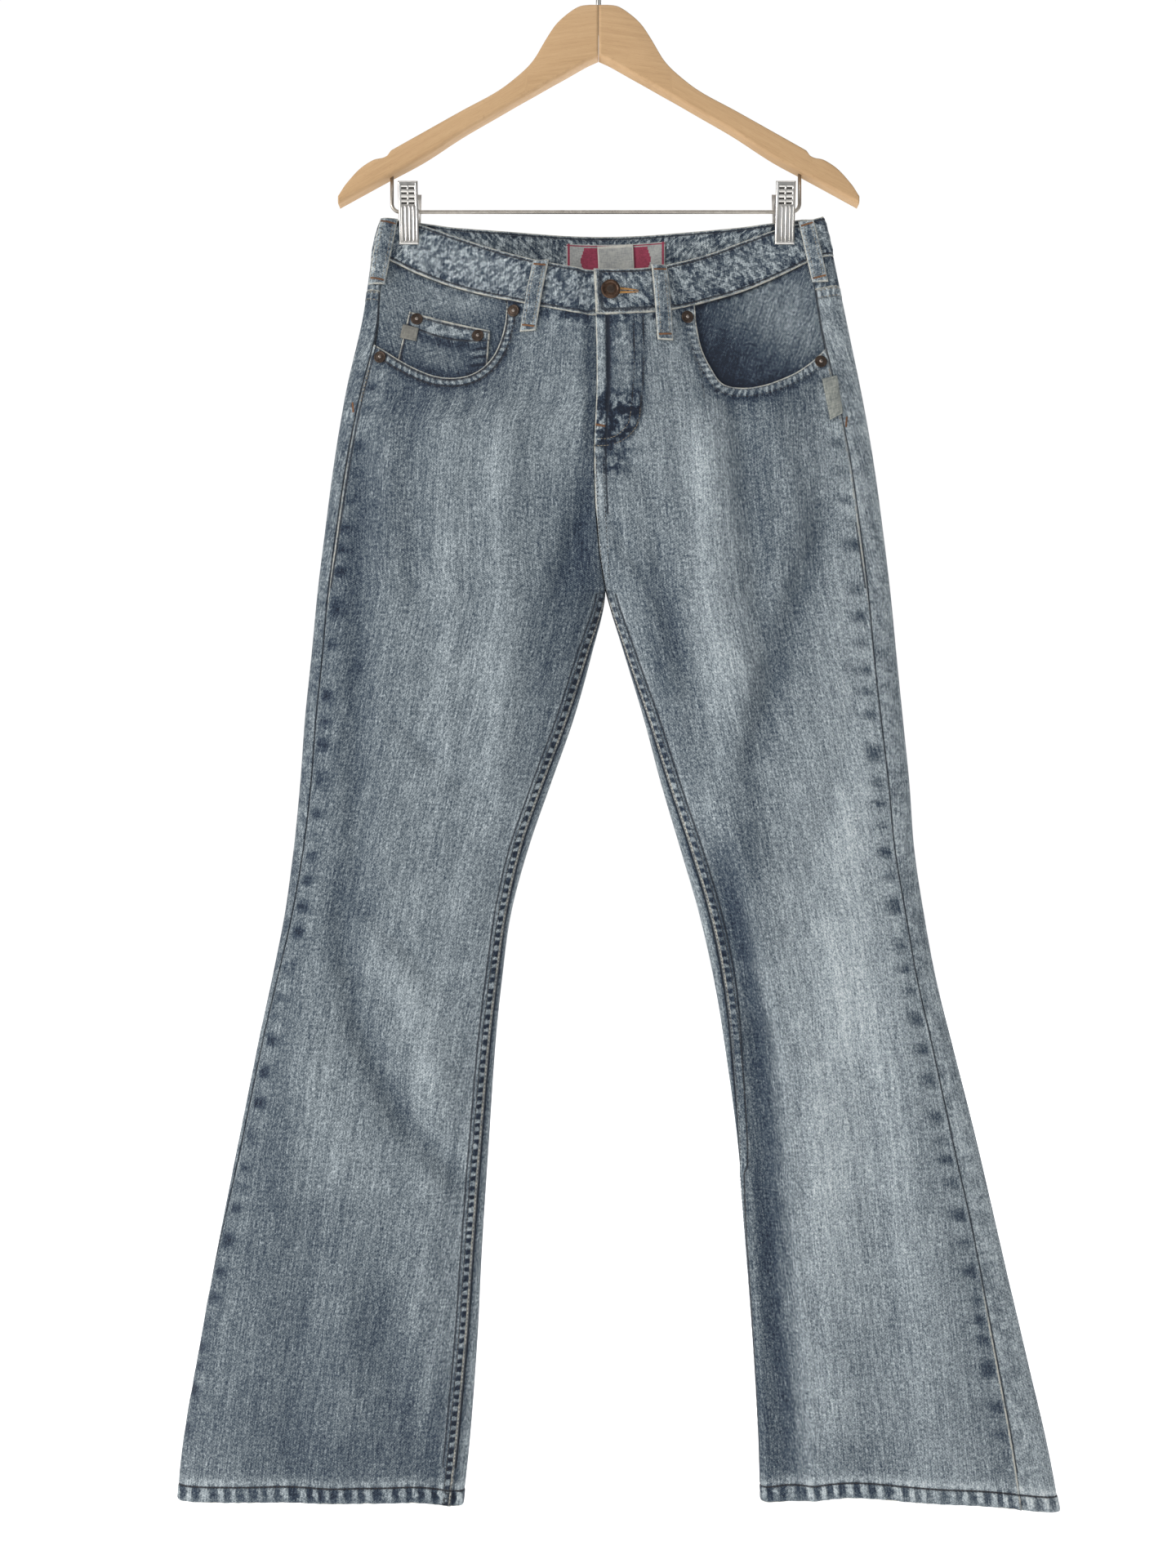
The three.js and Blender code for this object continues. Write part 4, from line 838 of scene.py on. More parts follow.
ROWS_TOP = 56
ROWS_LEG = 214
HEM_STEPS = np.array(
    [0, 0.5, 1.1, 2, 3.2, 4.6, 6, 7.4, 8.8, 10.2, 11.6, 12.6, 13.4, 14.2, 15.2, 17, 20, 25, 32, 42]
)


def panel_rows(tops, bottoms):
    """Drops of a panel's rows by columns, from each column's top to its hem."""
    top_part = np.linspace(0, 1, ROWS_TOP) ** 1.25
    top = blend(tops[None, :], TOP_END, top_part[:, None])
    leg_part = np.linspace(0, 1, ROWS_LEG)[1:]
    leg_end = bottoms - 52
    leg = blend(np.full(len(tops), float(TOP_END))[None, :], leg_end[None, :], leg_part[:, None])
    hem = bottoms[None, :] - HEM_STEPS[::-1][:, None]
    return np.concatenate([top, leg, hem])


def rolled(distance, depth, reach):
    """How far a folded edge turns down, at a distance from it."""
    part = np.clip(1 - distance / reach, 0, 1)
    return -depth * part * part


def hem_shape(look, lift, from_hem, along):
    """The turned hem: a band as deep as its stitches, with slanting ropes."""
    band = 1 - ease(HEM_HEIGHT - 2.2, HEM_HEIGHT - 0.4, from_hem)
    phase = (along + 0.12 * from_hem) / 11.8 + 0.34 * wobble(along / 19, 1.0)
    lift += band * (0.35 + 0.28 * np.sin(2 * np.pi * phase)) + rolled(from_hem, 0.9, 1.8)
    lift -= 0.35 * bump_at(from_hem, HEM_HEIGHT - 0.9, 0.8)
    amount = 1.35 * bump_at(from_hem, 8.4, 4.6) * (0.9 + 0.4 * wobble(along / 31, 2.0))
    look["rope"] = np.where((amount > look["rope"][..., 2])[..., None],
                            np.stack([phase, from_hem, amount], axis=-1), look["rope"])
    look["edge"] = np.minimum(look["edge"], from_hem + 0.5 + 0.6 * wobble(along / 9, 3.0))
    look["tone"] += 0.22 * bump_at(from_hem, HEM_HEIGHT + 3, 2.4) + 0.03 * band
    # Painted shade in the groove along the hem's stitch row
    look["groove"] = np.where(from_hem < 26, from_hem - HEM_HEIGHT + 0.9, look["groove"])


def panel_wall(from_hem):
    """A panel's thickness, which is greater where the hem is turned."""
    return PANEL_WALL + (HEM_WALL - PANEL_WALL) * (1 - ease(HEM_HEIGHT - 1, HEM_HEIGHT + 1, from_hem))


# Fading of the cloth, with painted shade and painted highlight where light falls: soft places, as wide and as
# high as given, lighter or darker
FADES_AND_PAINTED_SHADE = {
    ("front", "right"): table(
        "x drop wide high amount",
        [
            (-150, 800, 400, 900, -0.03),
            (-6, 400, 3.5, 52, -0.20),
            (-24, 395, 16, 60, 0.09),
            (-46, 345, 26, 10, 0.05),
            (-120, 840, 60, 110, 0.03),
            (-276, 1010, 18, 110, -0.07),
            (-198, 975, 34, 90, 0.10),
            (-120, 990, 26, 130, 0.06),
            (-52, 430, 22, 70, 0.05),
            (-96, 640, 30, 150, 0.07),
            (-78, 470, 20, 60, -0.05),
            (-150, 520, 30, 120, 0.05),
            (-205, 480, 16, 120, -0.07),
            (-10, 512, 13, 60, -0.13),
            (-30, 350, 30, 22, -0.08),
            (-140, 397, 46, 12, -0.10),
            (-196, 430, 16, 26, 0.04),
            (-30, 590, 22, 70, -0.08),
            (-170, 760, 40, 130, 0.05),
            (-200, 980, 26, 120, -0.03),
            (-250, 1120, 26, 160, 0.03),
            (-230, 1280, 60, 50, -0.08),
            (-150, 1290, 30, 60, -0.04),
        ],
    ),
    ("front", "left"): table(
        "x drop wide high amount",
        [
            (160, 800, 400, 900, 0.03),
            (214, 470, 22, 160, 0.08),
            (192, 803, 34, 120, 0.13),
            (198, 985, 20, 150, 0.07),
            (238, 1010, 26, 130, 0.05),
            (104, 860, 16, 150, -0.10),
            (140, 1150, 14, 170, -0.15),
            (60, 640, 14, 90, -0.08),
            (92, 520, 30, 130, 0.07),
            (30, 480, 20, 60, 0.04),
            (115, 560, 22, 90, 0.05),
            (60, 420, 16, 40, 0.03),
            (150, 440, 18, 60, -0.04),
            (119, 806, 13, 60, -0.20),
            (128, 398, 38, 9, -0.12),
            (132, 470, 26, 50, -0.05),
            (220, 620, 16, 120, 0.05),
            (40, 600, 16, 60, -0.05),
            (90, 760, 18, 120, 0.04),
            (220, 860, 34, 150, 0.05),
            (230, 1100, 40, 150, 0.06),
            (113, 1085, 8, 190, 0.10),
            (180, 1290, 60, 50, -0.04),
        ],
    ),
    ("back", "right"): table(
        "x drop wide high amount",
        [
            (-105, 430, 60, 80, 0.08),
            (-150, 640, 50, 120, 0.06),
            (-230, 1150, 40, 140, 0.04),
            (-20, 560, 26, 60, -0.1),
        ],
    ),
    ("back", "left"): table(
        "x drop wide high amount",
        [
            (117, 430, 60, 80, 0.08),
            (160, 640, 50, 120, 0.06),
            (250, 1150, 40, 140, 0.04),
            (34, 560, 26, 60, -0.1),
        ],
    ),
}


# How much paler a ridge and how much darker a trough is made, for each millimetre of its height: partly wear,
# partly painted highlight and painted shade
FOLD_SHADE = 0.022


def tone_of(face, leg, x, drop):
    rows = FADES_AND_PAINTED_SHADE[(face, leg)]
    tone = np.zeros(x.shape)
    for i in range(len(rows["x"])):
        tone += rows["amount"][i] * bump_at(x, rows["x"][i], rows["wide"][i]) * bump_at(
            drop, rows["drop"][i], rows["high"][i]
        )
    folds = FRONT_FOLDS if face == "front" else BACK_FOLDS
    # The folds add wear and painted shade: ridges paler, troughs darker
    return tone + FOLD_SHADE * fold_height(folds, leg, x, drop)


def lay_mottle(look, x, drop, amount, size=8.0):
    bigger = amount > look["mottle"][..., 2]
    coordinates = np.stack([x / size, drop / size, amount], axis=-1)
    look["mottle"] = np.where(bigger[..., None], coordinates, look["mottle"])


BLOT_GAP = 23


def seam_blots(drop, seed):
    """Puckers beside a seam, about the same distance apart but each a little higher or lower and bigger."""
    shift = 0.5 * wobble(drop / 37, seed)
    phase = drop / BLOT_GAP + shift
    size = 0.68 + 0.6 * wobble(np.floor(phase + 0.5) * 1.7, seed + 1)
    return np.clip(np.cos(2 * np.pi * phase) * size, 0, 1) ** 0.8


def lay_rope(look, along, across, amount, period, seed, slant=0.0):
    phase = (along + slant * across) / period + 0.25 * wobble(along / period, seed)
    bigger = amount > look["rope"][..., 2]
    coordinates = np.stack([phase, across, amount], axis=-1)
    look["rope"] = np.where(bigger[..., None], coordinates, look["rope"])
    return phase


# Front panels
ROW_EDGE = 1.7
ROW_INNER = 7.6
FLY_INNER = [(29, 331), (28.8, 384), (26.5, 411.6), (24.3, 422), (16.3, 431), (7.5, 434.6), (-2.3, 435)]
FLY_OUTER = [
    (36.9, 331), (36.7, 384), (34.4, 409), (32.2, 422),
    (25.2, 432), (15.4, 438), (6.6, 440.4), (-3.1, 441),
]
FLY_STRIP = 8.2
RIDGE_WIDTH = 10
SCOOP_BAND = 9


def front_panel(leg):
    scoop = SCOOPS[leg]
    start = float(inner_x(leg, np.array(True), np.array(331.0)))
    sign = -1 if leg == "right" else 1
    corner = scoop["x"][0]
    steps = np.array(SEAM_STEPS)
    rest = np.linspace(steps[-1], abs(corner - start), 26)[1:]
    waist_x = start + sign * np.concatenate([steps, rest])
    waist_drop = read(FRONT_WAIST, "x", "seam", waist_x) + SEAM_GAP
    scoop_path = smooth_path(scoop["x"], scoop["drop"], 74)
    top_x = np.concatenate([waist_x, scoop_path[0][1:]])
    top_drop = np.concatenate([waist_drop, scoop_path[1][1:]])
    count = len(top_x)
    in_turn = seam_turn(leg, "in", LEVELS)
    in_turn = np.where(LEVELS < CROTCH_DROP, 0, in_turn + 0.0006)
    out_turn = seam_turn(leg, "out", LEVELS) - 0.0006
    measured = Measured(in_turn, out_turn, leg)
    width = measured.width()
    first = turn_at(leg, True, top_x, top_drop)
    first[0] = 0
    first[-1] = seam_turn(leg, "out", top_drop[-1]) - 0.0006
    top_in = np.interp(top_drop, LEVELS, in_turn)
    top_out = np.interp(top_drop, LEVELS, out_turn)
    share = (first - top_in) / (top_out - top_in)
    high = blend(in_turn[:, None], out_turn[:, None], share[None, :])
    places = np.stack([spread_places(w, count, SEAM_STEPS, SIDE_STEPS) for w in width])
    low = measured.turns_for(places)
    turns = blend(high, low, ease(390, 640, LEVELS)[:, None])
    places = measured.places_of(turns)
    hem_turns = np.array([np.interp(HEM_LEVEL, LEVELS, turns[:, j]) for j in range(count)])
    hem_x = skin(leg, hem_turns, np.full(count, float(HEM_LEVEL)))[:, 0]
    bottoms = hem_drop(leg, hem_x, float(HEM_LEVEL))
    drops = panel_rows(top_drop, bottoms)
    turn = at_levels(turns, drops)
    from_in = at_levels(places, drops)
    from_out = at_levels(np.broadcast_to(width[:, None], places.shape), drops) - from_in
    x = skin(leg, turn, drops)[..., 0]
    look = plain_look(x.shape)
    # Fading with painted shade and painted highlight, from the tone table and the folds
    look["tone"] += tone_of("front", leg, x, drops)
    lift = np.zeros(x.shape)
    # Pocket opening: a turned band with two rows of stitches, its edge worn pale; painted shade in its stitch
    # rows and along its inner edge, and a painted shadow just beyond it
    from_scoop, along_scoop = near_path(scoop_path, x, drops)
    in_reach = (drops < 420) & (np.abs(x) > abs(corner) - 14)
    from_scoop = np.where(in_reach, from_scoop, 40)
    band = 1 - ease(SCOOP_BAND - 1, SCOOP_BAND + 0.6, from_scoop)
    phase = lay_rope(look, along_scoop, from_scoop, 0.75 * band * ease(1.2, 2.4, from_scoop), 5.2, 2.0, 0.3)
    look["tone"] += 0.07 * band * in_reach
    lift += band * (0.45 + 0.12 * np.sin(2 * np.pi * phase)) + rolled(from_scoop, 0.5, 1.4)
    lift -= 0.25 * bump_at(from_scoop, SCOOP_BAND + 0.4, 0.7)
    look["edge"] = np.minimum(look["edge"], from_scoop)
    look["tone"] -= 0.10 * bump_at(from_scoop, SCOOP_BAND + 2, 2.4) * in_reach
    rows = np.minimum(np.abs(from_scoop - ROW_EDGE - 0.4), np.abs(from_scoop - ROW_INNER))
    look["groove"] = np.minimum(look["groove"], rows / 1.3)
    look["tone"] -= 0.20 * bump_at(from_scoop, SCOOP_BAND - 0.6, 1.3) * in_reach
    # Waist seam: navy patches under the band, and painted shade just under the band's edge
    from_waist = np.maximum(drops - read(FRONT_WAIST, "x", "seam", x), 0)
    lay_mottle(look, x, drops, 0.8 * (1 - ease(3, 17, from_waist)))
    look["tone"] -= 0.22 * (1 - ease(0, 9, from_waist))
    lift += 0.35 * (1 - ease(1, 5, from_waist)) * wobble(x / 3.2, 4.0)
    # Outseam: pale ridge at its edge with painted shade in the groove beside it, navy patches beside it at
    # uneven intervals
    lift += rolled(from_out, 0.5, 1.2) + 0.35 * (1 - ease(1.6, 3.2, from_out))
    blot_seed, blot_middle, blot_width = (3.0, 8, 6) if leg == "left" else (8.0, 7, 5)
    blots = seam_blots(drops, blot_seed) * bump_at(from_out, blot_middle, blot_width)
    blots *= ease(2.4, 4.2, from_out) * (0.65 + 0.35 * ease(470, 560, drops))
    look["tone"] -= 0.40 * blots
    lift -= 0.35 * blots
    hidden = ease(520, 600, drops) * (1 - ease(1110, 1180, drops))
    look["edge"] = np.minimum(look["edge"], np.abs(from_out - 0.9) + 0.2 + 1.1 * hidden)
    look["groove"] = np.where(from_out < 6, from_out - 2.6 + 1.6 * hidden, look["groove"])
    # Inseam: a felled ridge with its ladder of dark steps, and painted shade in the groove at its foot
    below = ease(CROTCH_DROP - 6, CROTCH_DROP + 8, drops)
    ridge = (1 - ease(RIDGE_WIDTH - 0.8, RIDGE_WIDTH + 0.5, from_in)) * below
    turned = ease(860, 1000, drops) if leg == "left" else np.zeros(drops.shape)
    ladder = ridge * ease(2.2, 3.2, from_in) * (1 - ease(6.4, 8.2, from_in)) * (1 - 0.85 * turned)
    ladder *= 1.0 if leg == "left" else 1.5
    phase = lay_rope(look, drops, from_in, ladder, 7.6, 6.0)
    lift += ridge * (0.55 + 0.13 * np.sin(2 * np.pi * phase)) + below * rolled(from_in, 0.5, 1.2)
    look["edge"] = np.minimum(look["edge"], np.abs(from_in - 1.9) + 0.3 + 30 * (1 - below) + turned)
    seam_line = np.where(drops > CROTCH_DROP, from_in - RIDGE_WIDTH - 0.6 + 3 * turned, 30)
    seam_line = np.where((drops > CROTCH_DROP) & (from_in < 3), from_in / 1.2, seam_line)
    look["groove"] = np.where(drops > CROTCH_DROP, seam_line, look["groove"])
    look["tone"] += 0.10 * bump_at(from_in, RIDGE_WIDTH + 2.6, 1.6) * below
    look["tone"] -= (0.10 if leg == "left" else 0.16) * bump_at(from_in, 4, 2) * ridge * (1 - 0.7 * turned)
    if leg == "left":
        # Fly: a worn strip at its edge, a crease beside it darkened with painted shade, dark patches near its
        # end
        strip = (1 - ease(FLY_STRIP - 0.8, FLY_STRIP + 0.4, from_in)) * (1 - ease(488, 506, drops))
        lift += strip * 0.8 + rolled(from_in, 0.5, 1.4) * (1 - below)
        crease = bump_at(from_in, FLY_STRIP + 1.6, 1.5) * (1 - ease(405, 425, drops))
        look["tone"] += 0.10 * strip - 0.5 * crease - 0.1 * bump_at(from_in, FLY_STRIP + 3, 3) * strip
        lift -= 0.5 * crease
        look["edge"] = np.minimum(look["edge"], from_in + 0.2 + 30 * below)
        wide = 1 + 1.6 * (1 - ease(395, 412, drops))
        look["groove"] = np.where(drops < 500, (from_in - FLY_STRIP - 1.5) / wide, look["groove"])
        reach = np.interp(drops, [p[1] for p in FLY_OUTER], [p[0] for p in FLY_OUTER])
        fly = (1 - ease(-0.5, 1.5, x - reach)) * (1 - ease(438, 442, drops))
        dark = ease(384, 408, drops) * fly
        look["tone"] -= 0.22 * dark
        lay_mottle(look, x, drops, 1.25 * dark)
        placket = bump_at(x, 20, 7) * fly * (1 - dark)
        look["tone"] += 0.05 * placket - 0.06 * fly * ease(9, 12, from_in)
        lay_mottle(look, x, drops, 0.25 * fly)
        below_fly = bump_at(x, 8, 14) * ease(436, 444, drops) * (1 - ease(456, 474, drops))
        look["tone"] -= 0.20 * below_fly
        lay_mottle(look, x, drops, 0.8 * below_fly)
        # Painted shade along the fly's rows of stitches
        for places in (FLY_INNER, FLY_OUTER):
            path = smooth_path([p[0] for p in places], [p[1] for p in places], 60)
            from_row = near_path(path, x, drops)[0]
            look["groove"] = np.minimum(np.abs(look["groove"]), from_row + 0.1)
            look["tone"] -= 0.22 * bump_at(from_row, 0, 1.5)
        lift += 0.5 * fly * ease(9, 12, from_in)
        middle = ease(455, 475, drops) * (1 - ease(CROTCH_DROP, CROTCH_DROP + 12, drops))
        look["edge"] = np.minimum(look["edge"], from_in + 0.4 + 30 * (1 - middle))
    else:
        under = ease(-14.5, -6.5, x)
        lift -= under * (1 - ease(FLY_UNDERLAP_END + 1, FLY_END_DROP, drops)) * FLY_SINK
    from_hem = bottoms[None, :] - drops
    hem_shape(look, lift, from_hem, x)
    outer = skin_at(leg, turn, drops, lift)
    wall = panel_wall(from_hem)
    inner = skin_at(leg, turn, drops, np.minimum(lift, 0.3) - wall)
    weave = np.stack([from_in - (from_in + from_out) / 2, drops], axis=-1)
    fields = {"x": x, "drop": drops, "lift": lift, "from_in": from_in, "from_out": from_out}
    fields.update({"from_hem": from_hem, "from_scoop": from_scoop})
    return shell("denim_front_" + leg, outer, inner, look, weave, DENIM, DENIM_INSIDE, **fields)


BACK_COUNT = 112


def back_panel(leg):
    out_turn = seam_turn(leg, "out", LEVELS) + 0.0006
    in_turn = np.where(LEVELS < CROTCH_DROP, 2, 2 + seam_turn(leg, "in", LEVELS) - 0.0006)
    measured = Measured(out_turn, in_turn, leg)
    width = measured.width()
    places = np.stack([spread_places(w, BACK_COUNT, SIDE_STEPS, SEAM_STEPS) for w in width])
    turns = measured.turns_for(places)
    tops = np.full(BACK_COUNT, 320.0)
    for _ in range(12):
        at = np.array([np.interp(tops[j], LEVELS, turns[:, j]) for j in range(BACK_COUNT)])
        tops = read(BACK_WAIST, "x", "yoke", skin(leg, at, tops)[:, 0]) + SEAM_GAP
    hem_turns = np.array([np.interp(HEM_LEVEL, LEVELS, turns[:, j]) for j in range(BACK_COUNT)])
    hem_points = skin(leg, hem_turns, np.full(BACK_COUNT, float(HEM_LEVEL)))
    raised = np.where(hem_points[:, 1] > 0, BACK_HEM_RAISE * ease(0, 8, hem_points[:, 1]), 0)
    bottoms = hem_drop(leg, hem_points[:, 0], float(HEM_LEVEL)) - raised
    drops = panel_rows(tops, bottoms)
    turn = at_levels(turns, drops)
    from_out = at_levels(places, drops)
    from_in = at_levels(np.broadcast_to(width[:, None], places.shape), drops) - from_out
    x = skin(leg, turn, drops)[..., 0]
    look = plain_look(x.shape)
    # Fading with painted shade and painted highlight, from the tone table and the folds
    look["tone"] += tone_of("back", leg, x, drops)
    lift = np.zeros(x.shape)
    from_top = drops - (tops[None, :] - SEAM_GAP)
    lift += rolled(from_top, 0.5, 1.4) + 0.4 * (1 - ease(7.5, 9, from_top))
    lay_rope(look, x, from_top, 0.6 * (1 - ease(7.5, 9.5, from_top)), 6.0, 7.0)
    look["edge"] = np.minimum(look["edge"], from_top + 0.3)
    # Outseam: painted shade beside the front's ridge, with navy patches down to the hip's bar tack and on
    lift += rolled(from_out, 0.6, 1.4)
    side = 1 - ease(14, 26, from_out)
    lay_mottle(look, x, drops, 0.28 * side, 11.0)
    look["tone"] += (0.16 * (1 - ease(30, 60, from_out)) if leg == "left" else 0) - 0.05 * side
    look["groove"] = np.where(from_out < 6, from_out - 0.3, look["groove"])
    # Inseam and seat seam, with painted shade in the seam's groove and on the cloth beside it
    below = ease(CROTCH_DROP - 6, CROTCH_DROP + 8, drops)
    lift += rolled(from_in, 0.5, 1.2) * below
    look["groove"] = np.where((from_in < 6) & (drops > CROTCH_DROP), from_in - 0.2, look["groove"])
    look["tone"] += (0.05 - 0.22 * (1 - ease(1, 5, from_in))) * (1 - ease(14, 24, from_in)) * below
    if leg == "left":
        seat = (1 - ease(9, 10.4, from_in)) * (1 - below)
        lift += 0.5 * seat
        lay_rope(look, drops, from_in, 0.8 * seat, 6.0, 9.0)
        look["edge"] = np.minimum(look["edge"], from_in + 0.3 + 30 * below)
    from_hem = bottoms[None, :] - drops
    hem_shape(look, lift, from_hem, x)
    outer = skin_at(leg, turn, drops, lift)
    wall = panel_wall(from_hem)
    inner = skin_at(leg, turn, drops, np.minimum(lift, 0.3) - wall)
    weave = np.stack([from_out - (from_in + from_out) / 2, drops], axis=-1)
    fields = {"x": x, "drop": drops, "lift": lift, "from_in": from_in, "from_out": from_out}
    fields.update({"from_hem": from_hem, "from_top": from_top})
    return shell("denim_back_" + leg, outer, inner, look, weave, DENIM, DENIM_INSIDE, **fields)


def yoke(leg):
    columns = 90
    parts = [0, 0.015, 0.035, 0.06, 0.1, 0.2, 0.3, 0.4, 0.5, 0.6, 0.7, 0.8, 0.88, 0.93, 0.96, 0.98, 1.0]
    share = np.linspace(0, 1, columns)[None, :]
    part = np.array(parts)[:, None] * np.ones((1, columns))
    drop = np.full(part.shape, 300.0)
    for _ in range(14):
        turn = blend(seam_turn(leg, "out", drop) + 0.0006, 2.0, share)
        x = skin(leg, turn, drop)[..., 0]
        on_front = read(FRONT_WAIST, "x", "seam", x)
        on_back = read(BACK_WAIST, "x", "seam", x)
        seam = np.where(turn < 1, on_front, on_back) + SEAM_GAP
        low = read(BACK_WAIST, "x", "yoke", x)
        drop = blend(seam, low, part)
    look = plain_look(x.shape)
    from_low = low - drop
    from_top = drop - seam
    lift = rolled(from_low, 0.5, 1.4) + 0.15 * np.sin(x / 2.1) * (1 - ease(0, 6, from_top))
    look["edge"] = np.minimum(look["edge"], from_low + 0.3)
    # Painted shade just under the band's edge
    look["tone"] -= 0.16 * (1 - ease(0, 6, from_top)) + 0.02
    lay_mottle(look, x, drop, np.full(x.shape, 0.3))
    lay_rope(look, x, from_low, 0.6 * (1 - ease(5, 8, from_low)), 6.0, 3.0)
    outer = skin_at(leg, turn, drop, lift)
    inner = skin_at(leg, turn, drop, np.minimum(lift, 0) - PANEL_WALL)
    weave = np.stack([x, drop], axis=-1)
    fields = {"x": x, "drop": drop, "lift": lift, "from_low": from_low, "from_top": from_top}
    return shell("denim_yoke_" + leg, outer, inner, look, weave, DENIM, DENIM_INSIDE, **fields)


# Where the band's buttonhole end starts to cover its other end, and where that end lies fully under it
SINK_START_X = -20
SINK_END_X = -9


def band_stations():
    """Leg, turn and lift of places round the band, from its end over the fly to its end beneath it."""
    steps = np.concatenate([np.array([0, 0.003, 0.008, 0.015, 0.022, 0.03]), np.linspace(0.04, 1, 96)])
    stations = [("left", t, BAND_PROUD) for t in steps]
    stations += [("left", t, BAND_PROUD) for t in np.linspace(1, 2, 96)[1:]]
    stations += [("right", t, BAND_PROUD) for t in np.linspace(2, 1, 96)]
    sunk = BAND_PROUD - BAND_WALL - SEAM_GAP
    proud_end = float(turn_at("right", True, SINK_START_X, 300.0))
    stations += [("right", t, BAND_PROUD) for t in np.linspace(1, proud_end, 84)[1:]]
    for x in np.linspace(SINK_START_X + 1, BAND_END_X + 2, 16):
        turn = float(turn_at("right", True, x, 300.0))
        stations.append(("right", turn, blend(BAND_PROUD, sunk, ease(SINK_START_X, SINK_END_X, x))))
    for x in np.linspace(BAND_END_X + 5, BAND_END_X + BAND_UNDERLAP, 12):
        stations.append(("left", float(turn_at("left", True, x, 300.0)), sunk))
    return stations


BAND_PARTS = np.array(
    [0, 0.012, 0.03, 0.05, 0.075, 0.11, 0.17, 0.24, 0.32, 0.4, 0.5, 0.6, 0.68, 0.76,
     0.83, 0.89, 0.925, 0.95, 0.97, 0.988, 1]
)


def waistband():
    stations = band_stations()
    count = len(stations)
    rows = len(BAND_PARTS)
    drop = np.full((rows, count), 280.0)
    outer = np.zeros((rows, count, 3))
    inner = np.zeros((rows, count, 3))
    x = np.zeros((rows, count))
    edges = {}
    for leg in ("left", "right"):
        mine = np.array([s[0] == leg for s in stations])
        turn = np.array([s[1] for s in stations])[mine][None, :] * np.ones((rows, 1))
        place = drop[:, mine]
        part = BAND_PARTS[:, None] * np.ones(turn.shape)
        on_front = turn <= 1
        for _ in range(16):
            at = skin(leg, turn, place)[..., 0]
            top = np.where(on_front, read(FRONT_WAIST, "x", "top", at), read(BACK_WAIST, "x", "top", at))
            low = np.where(on_front, read(FRONT_WAIST, "x", "seam", at), read(BACK_WAIST, "x", "seam", at))
            place = blend(top, low, part)
        edges[leg] = (mine, turn, place, top, low, at)
        drop[:, mine] = place
        x[:, mine] = at
    along = np.zeros((rows, count))
    middle = np.zeros((count, 3))
    for leg, (mine, turn, place, top, low, at) in edges.items():
        middle[mine] = skin(leg, turn, place)[rows // 2]
    lengths = np.concatenate([[0], np.cumsum(np.linalg.norm(np.diff(middle, axis=0), axis=1))])
    along += lengths[None, :]
    look = plain_look(x.shape)
    from_tops = np.zeros(x.shape)
    from_lows = np.zeros(x.shape)
    for leg, (mine, turn, place, top, low, at) in edges.items():
        from_tops[:, mine] = place - top
        from_lows[:, mine] = low - place
        base = np.array([s[2] for s in stations])[mine][None, :]
        from_top = place - top
        from_low = low - place
        here = along[:, mine]
        from_end = here if leg == "left" else np.full(here.shape, 60.0)
        slant = np.where(np.array(turn) <= 1, 1.0, -1.0) * (1 if leg == "left" else -1)
        p = (at + slant * (place - top)) / 9.5
        q = (at - slant * (place - top)) / 4.6
        near_fly = ease(-12, -4, at) * (1 - ease(60, 68, at))
        edge = np.minimum(np.minimum(from_top, from_low * (1 - 0.4 * near_fly)), 0.45 * from_end)
        pucker = 0.5 * np.sin(q * 2 * np.pi * 0.55 + 1.4 * wobble(p * 2.2, 1.0)) * ease(1, 6, edge)
        lift = base + rolled(edge, 0.8, 1.7) + 0.32 * pucker + 0.25 * ease(2.4, 7, edge)
        lift -= 0.3 * bump_at(edge, 2.5, 0.7)
        outer[:, mine] = skin_at(leg, turn, place, lift)
        inside = base - BAND_WALL + 0.5 * np.clip(1 - edge / 1.6, 0, 1) ** 2
        inner[:, mine] = skin_at(leg, turn, place, inside)
        look["edge"][:, mine] = edge + 0.15
        # Painted shade in the grooves of the stitch rows
        look["groove"][:, mine] = np.where(edge < 5, edge - 2.5, 30)
        strength = 0.66 - 0.1 * (at > -6) * (at < 40) + 0.3 * bump_at(edge, 4.5, 2.4)
        look["mottle"][:, mine] = np.stack([p, q, strength * ease(0.6, 2.2, edge)], axis=-1)
        look["tone"][:, mine] = 0.07 + 0.05 * bump_at(at, 14, 16) - 0.13 * bump_at(edge, 4, 1.6)
        folds = np.clip(np.cos(2 * np.pi * (at - 0.9 * (place - top) + 4 * wobble(at / 30, 5.0)) / 23), 0, 1)
        look["tone"][:, mine] -= 0.16 * folds * bump_at(edge, 12, 8) * (1 - ease(110, 150, np.abs(at - 60)))
    weave = np.stack([along, drop - drop[:1]], axis=-1)
    fields = {"x": x, "drop": drop, "from_top": from_tops, "from_low": from_lows, "along": along}
    return shell("denim_waistband", outer, inner, look, weave, DENIM, DENIM, **fields)


FACING_REACH = 0.86
FACING_BOTTOM = {"right": 396, "left": 404}
FACING_WALL = 1.2


def scoop_shadow(leg, x, drop):
    """Painted shadow on the cloth just inside a pocket's opening, deepest along the opening's lower edge."""
    scoop = SCOOPS[leg]
    path = smooth_path(scoop["x"], scoop["drop"], 74)
    return 1 - ease(0, 11, near_path(path, x, drop)[0])


